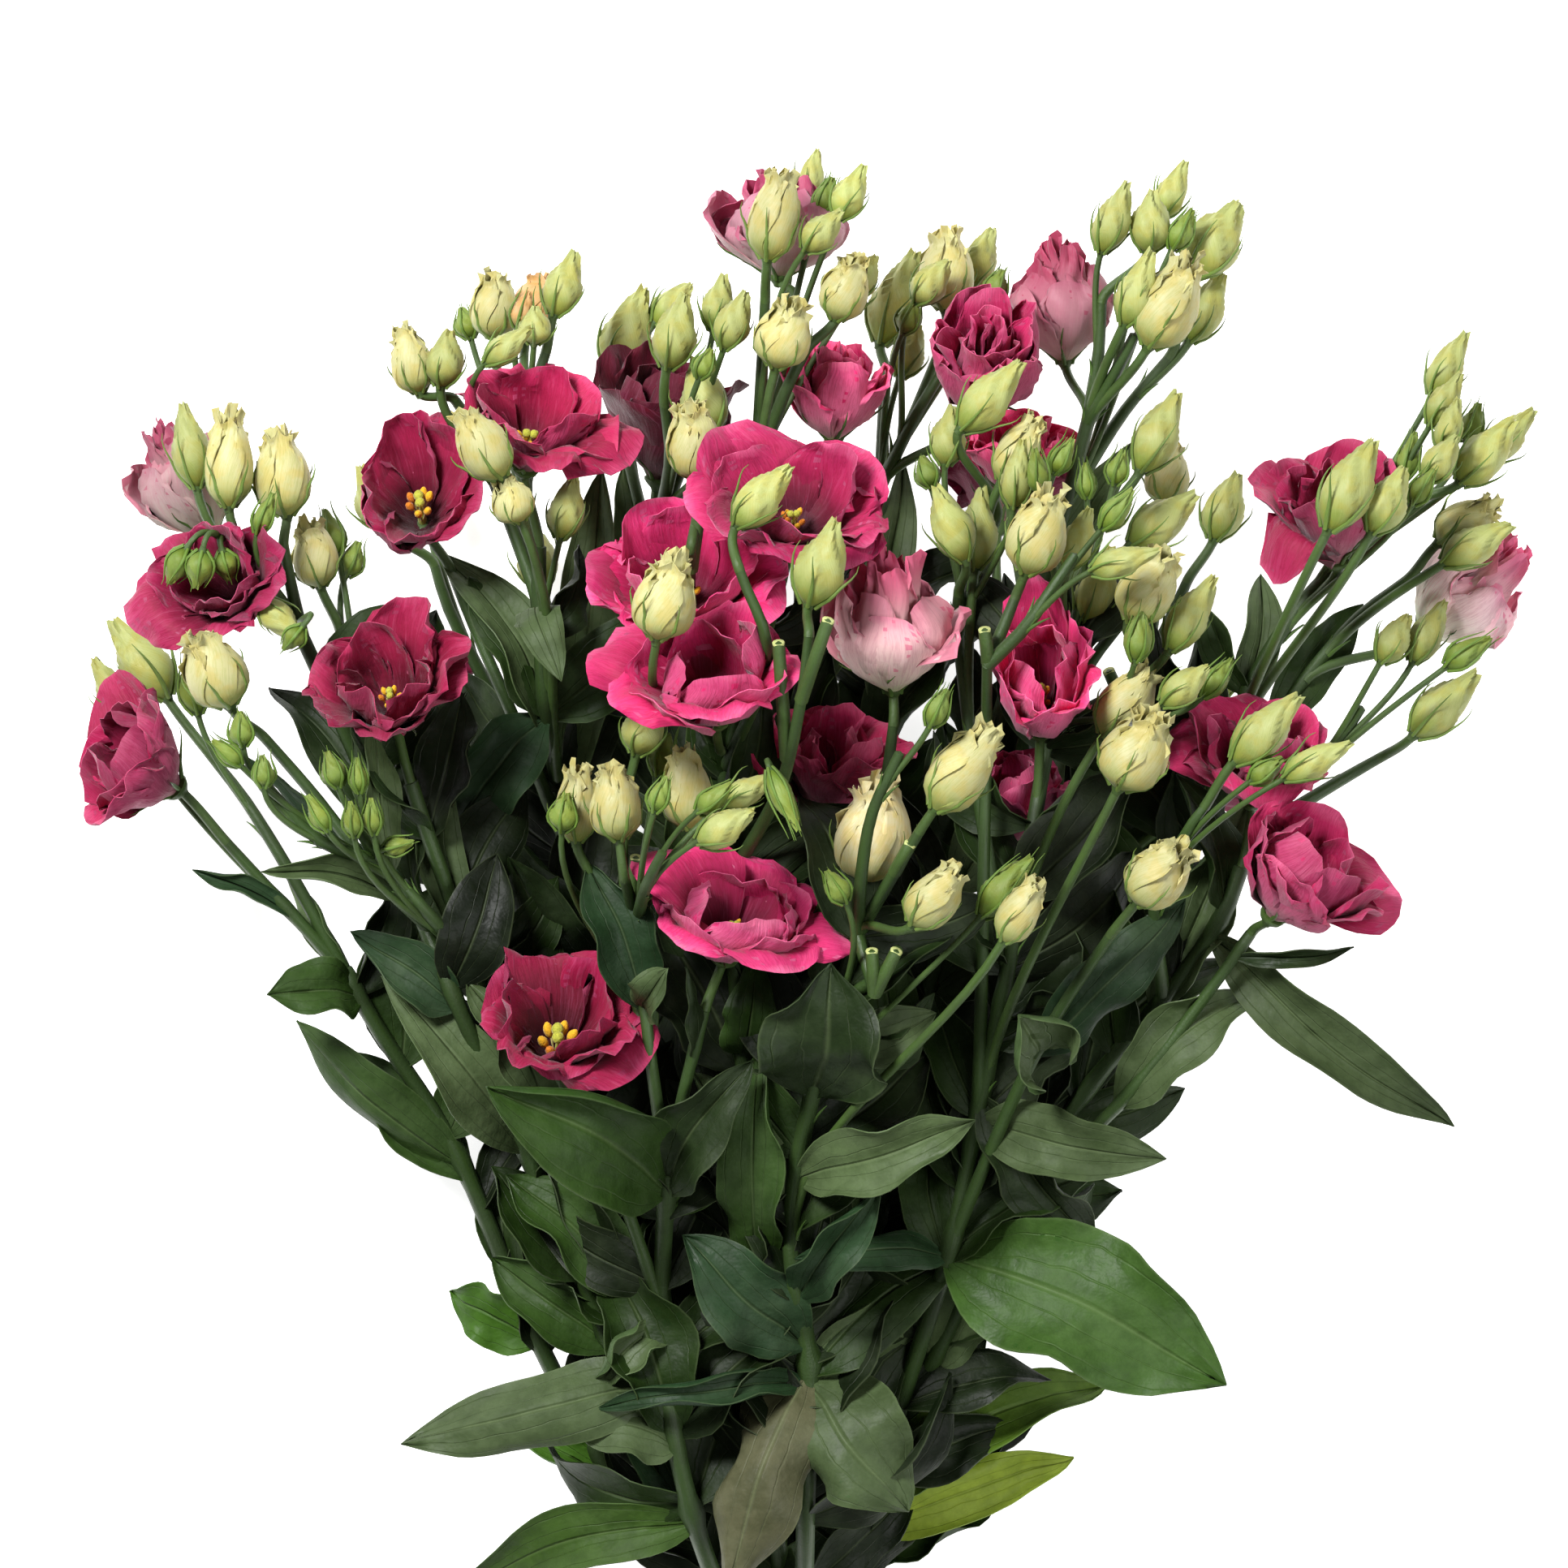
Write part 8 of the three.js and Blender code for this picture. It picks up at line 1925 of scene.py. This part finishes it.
def build_bloom(bloom):
    draw = head_draw(bloom["name"], 2)
    foot, axis, length, side, up, turn = bloom_frame(bloom)
    whorl = Whorl(foot, axis, length, 0.5 * bloom["width"], side, float(np.linalg.norm(up)))
    pile = Pile()
    # The tint holds each bloom's own colour together with painted light and shade.
    tint = BLOOM_TINTS_AND_PAINTED_SHADE.get(bloom["name"], PLAIN)
    hearted = bloom["hearted"]
    rings = LOOKS[bloom["look"]]
    lobes = petal_lobes(bloom["name"], whorl, turn)
    for place, ring in enumerate(rings):
        count, spread, reach, floor, breadth, ruffle, crown, fold, lean, wrap = ring
        if hearted and spread < HEART_ROOM:
            continue
        profile = FOLDS[fold] if fold else PROFILES[bloom["form"]]
        for k in range(count):
            angle = turn + 2 * math.pi * (k + 0.5 * (place % 2)) / count
            angle += draw.uniform(-TURN_SPREAD, TURN_SPREAD)
            own_reach, tilt, droop = reach * draw.uniform(*REACH_SPREAD), draw.uniform(*TILT_SPREAD), 0.0
            if place == 0 and k in lobes:
                own_reach, tilt, droop = lobes[k]
            if hearted and place > 0:
                tilt = abs(tilt)
            width = (HANGING_WIDTH if droop else 1.0) * breadth * draw.uniform(*WIDTH_SPREAD)
            width *= spread ** 0.4
            add_petal(
                pile, whorl, profile, angle, draw, tint, breadth=width, reach=own_reach,
                spread=spread * draw.uniform(*OUT_SPREAD), floor=floor,
                ruffle=ruffle * draw.uniform(*RUFFLE_SPREAD), pitch=draw.uniform(*PITCH_SPREAD),
                jag=0.06 if crown > FRILLED_CROWN else 0.015, spiral=2.2, crown=crown,
                lean=lean * draw.uniform(*LEAN_SPREAD), tilt=tilt, droop=droop, wrap=wrap, crumple=1.4,
                taper=HANGING_TAPER if droop else PETAL_TAPER,
            )
    slot = "pale_petal" if bloom["form"] == "pale" else "petal"
    pile.build(bloom["name"] + "_petals", slot, bloom["name"], crease=75)
    if hearted:
        build_heart(bloom["name"], whorl, draw)


HEART_SIZES = {"bloom_24": 1.7, "bloom_05": 1.4, "bloom_06": 1.2, "bloom_09": 1.2}
HEART_REACH = 0.62
HEART_FLOOR = 3.0
STYLE_REACH = 0.82
PLAIN_KIND = (0.5, 0.5, 0.0)
CREAM, STIGMA_GREEN = colour(226, 214, 130), colour(176, 178, 60)
ANTHER_GOLD, ANTHER_ORANGE = colour(232, 176, 30), colour(206, 120, 24)


def build_heart(name, whorl, draw):
    """A ring of anthers on their filaments round a style with a lobed stigma."""
    pile = Pile()
    size = HEART_SIZES.get(name, 1.0)
    reach = HEART_REACH * whorl.length
    for k in range(6):
        angle = 2 * math.pi * k / 6 + draw.uniform(-0.2, 0.2)
        t = np.linspace(0, 1, 7)
        tall = reach * draw.uniform(0.5, 0.66)
        out = 0.8 + 2.6 * size * t**1.5
        path = whorl.place(out, np.full(7, angle), HEART_FLOOR + tall * t)
        add_tube(pile, path, np.full(7, 0.35), 6, PLAIN_KIND, CREAM)
        anther = whorl.place(size * np.linspace(2.6, 4.2, 6), np.full(6, angle),
                             tall + HEART_FLOOR + size * np.linspace(-1.6, 1.6, 6))
        add_tube(pile, anther, size * np.array([0.5, 0.95, 1.1, 1.1, 0.9, 0.4]), 8, plain_kind(draw),
                 ANTHER_GOLD if draw.uniform(0, 1) < 0.6 else ANTHER_ORANGE)
    style = whorl.place(np.full(8, 0.2), np.zeros(8), np.linspace(2, reach * STYLE_REACH, 8))
    add_tube(pile, style, [1.5, 1.7, 1.4, 0.9, 0.7, 0.65, 0.7, 0.9], 8, PLAIN_KIND, STIGMA_GREEN)
    for k in range(2):
        lobe = whorl.place(size * np.linspace(0.2, 2.2, 6), np.full(6, math.pi * k + 0.4),
                           reach * STYLE_REACH + size * np.linspace(-0.4, 1.5, 6))
        add_tube(pile, lobe, size * np.array([0.8, 1.2, 1.4, 1.4, 1.1, 0.5]), 8, PLAIN_KIND, STIGMA_GREEN)
    pile.build(name + "_heart", "stamen", name + "_stamens", crease=60)


# The stems at the corners of the tied bundle, by column and row
TIE_CORNERS = [(-3, 0), (3, 0), (4, 1), (3, 2), (2, 3), (-2, 3), (-3, 2), (-4, 1)]
TIE_TURNS = 3
TIE_SECTION = 12
TIE_SLIP = 0.075


def build_tie():
    """Turns of a flat band round the hull of the stems."""
    corners = np.array([bundle_place(*spot) for spot in TIE_CORNERS])
    middle = 0.5 * (TIE_INNER + TIE_OUTER)
    loop = []
    for k, corner in enumerate(corners):
        before, after = corners[k - 1], corners[(k + 1) % len(corners)]
        angles = [math.atan2(a[0] - b[0], b[1] - a[1]) for a, b in ((before, corner), (corner, after))]
        if angles[1] < angles[0] - 1e-9:
            angles[1] += 2 * math.pi
        for share in np.linspace(0, 1, 7):
            angle = angles[0] + (angles[1] - angles[0]) * share
            loop.append(corner + middle * np.array([math.cos(angle), math.sin(angle)]))
    loop = np.array(loop)
    loop = loop[np.linalg.norm(loop - np.roll(loop, 1, axis=0), axis=1) > 1e-6]
    count = len(loop)
    thickness = 0.5 * (TIE_OUTER - TIE_INNER)
    pile = Pile()
    outward = loop - loop.mean(axis=0)
    edge = np.roll(loop, -1, axis=0) - np.roll(loop, 1, axis=0)
    normal = np.stack([edge[:, 1], -edge[:, 0]], axis=1)
    normal /= np.linalg.norm(normal, axis=1, keepdims=True)
    normal *= np.sign((normal * outward).sum(axis=1))[:, None]
    section = 2 * math.pi * np.arange(TIE_SECTION) / TIE_SECTION
    across = np.sign(np.cos(section)) * np.abs(np.cos(section)) ** 0.6
    rise = np.sign(np.sin(section)) * np.abs(np.sin(section)) ** 0.6
    width = TIE_WIDTH / TIE_TURNS
    for band in range(TIE_TURNS):
        centre_y = (band - 1) * width
        ring = np.zeros((count, TIE_SECTION, 3))
        slip = TIE_SLIP * np.sin(np.arange(count) * 2 * math.pi / count + band)
        ring[:, :, 0] = loop[:, None, 0] + normal[:, None, 0] * rise[None, :] * thickness
        ring[:, :, 2] = loop[:, None, 1] + normal[:, None, 1] * rise[None, :] * thickness
        ring[:, :, 1] = centre_y + 0.48 * width * across[None, :] + slip[:, None]
        places = ring.reshape(-1, 3)
        row, i = np.arange(count)[:, None] * TIE_SECTION, np.arange(TIE_SECTION)[None, :]
        onward, j = (row + TIE_SECTION) % len(places), (i + 1) % TIE_SECTION
        quads = np.stack([row + i, row + j, onward + j, onward + i], axis=2).reshape(-1, 4)
        corner = places[quads]
        cross = np.cross(corner[:, 1] - corner[:, 0], corner[:, 2] - corner[:, 0])
        volume = float((corner[:, 0] * cross).sum())
        if volume < 0:
            quads = quads[:, ::-1]
        pile.add(places, quads, [], (0.5, 0.0, 1.0), PLAIN_KIND, PLAIN)
    pile.build("tie_band", "tie", "tie", crease=50)


MATERIALS = {
    "petal": petal_material(), "pale_petal": pale_material(), "bud": bud_material(),
    "stem": stem_material(), "leaf": leaf_material(), "stamen": heart_material(),
    "tie": tie_material(), "surface": floor_material(),
}
for stem in stems:
    build_stem(stem)
for bloom in blooms:
    build_bloom(bloom)
build_tie()

# The floor, light and camera


FLOOR_LEVEL = -0.0004


def build_floor():
    mesh = bpy.data.meshes.new("floor")
    corners = [(x, y, FLOOR_LEVEL) for x, y in ((-4, -4), (4, -4), (4, 4.6), (-4, 4.6))]
    mesh.from_pydata(corners, [], [(0, 1, 2, 3)])
    mesh.materials.append(MATERIALS["surface"])
    floor = bpy.data.objects.new("floor", mesh)
    bpy.context.scene.collection.objects.link(floor)


def build_light(name, place, size, power):
    data = bpy.data.lights.new(name, "AREA")
    data.shape = "DISK"
    data.size = size
    data.energy = power
    light = bpy.data.objects.new(name, data)
    light.location = place
    light.rotation_mode = "QUATERNION"
    light.rotation_quaternion = (Vector(LIT_SPOT) - Vector(place)).to_track_quat("-Z", "Y")
    bpy.context.scene.collection.objects.link(light)


LIT_SPOT = (0, 0.3, 0.1)
WORLD_STRENGTH = 0.2
# The photograph's frame: its middle and width on the surface, and the camera's height over it
VIEW_CENTRE = (0.0, 0.3348, 0.1)
VIEW_WIDTH = 0.5796
VIEW_DISTANCE = 6.0
SENSOR_WIDTH = 36

build_floor()
build_light("key", (-1.1, 1.5, 2.2), 0.8, 118)
build_light("fill", (1.4, -0.2, 2.0), 1.4, 30)
world = bpy.data.worlds.new("studio")
world.use_nodes = True
background = world.node_tree.nodes["Background"]
background.inputs["Color"].default_value = (1, 1, 1, 1)
background.inputs["Strength"].default_value = WORLD_STRENGTH
bpy.context.scene.world = world
bpy.context.scene.view_settings.view_transform = "Standard"

camera_data = bpy.data.cameras.new("camera")
camera_data.sensor_width = SENSOR_WIDTH
camera_data.lens = SENSOR_WIDTH * VIEW_DISTANCE / VIEW_WIDTH
camera_data.clip_start = 0.1
camera_data.clip_end = 50
camera_data.dof.use_dof = False
camera = bpy.data.objects.new("camera", camera_data)
camera.location = (VIEW_CENTRE[0], VIEW_CENTRE[1], VIEW_CENTRE[2] + VIEW_DISTANCE)
bpy.context.scene.collection.objects.link(camera)
bpy.context.scene.camera = camera
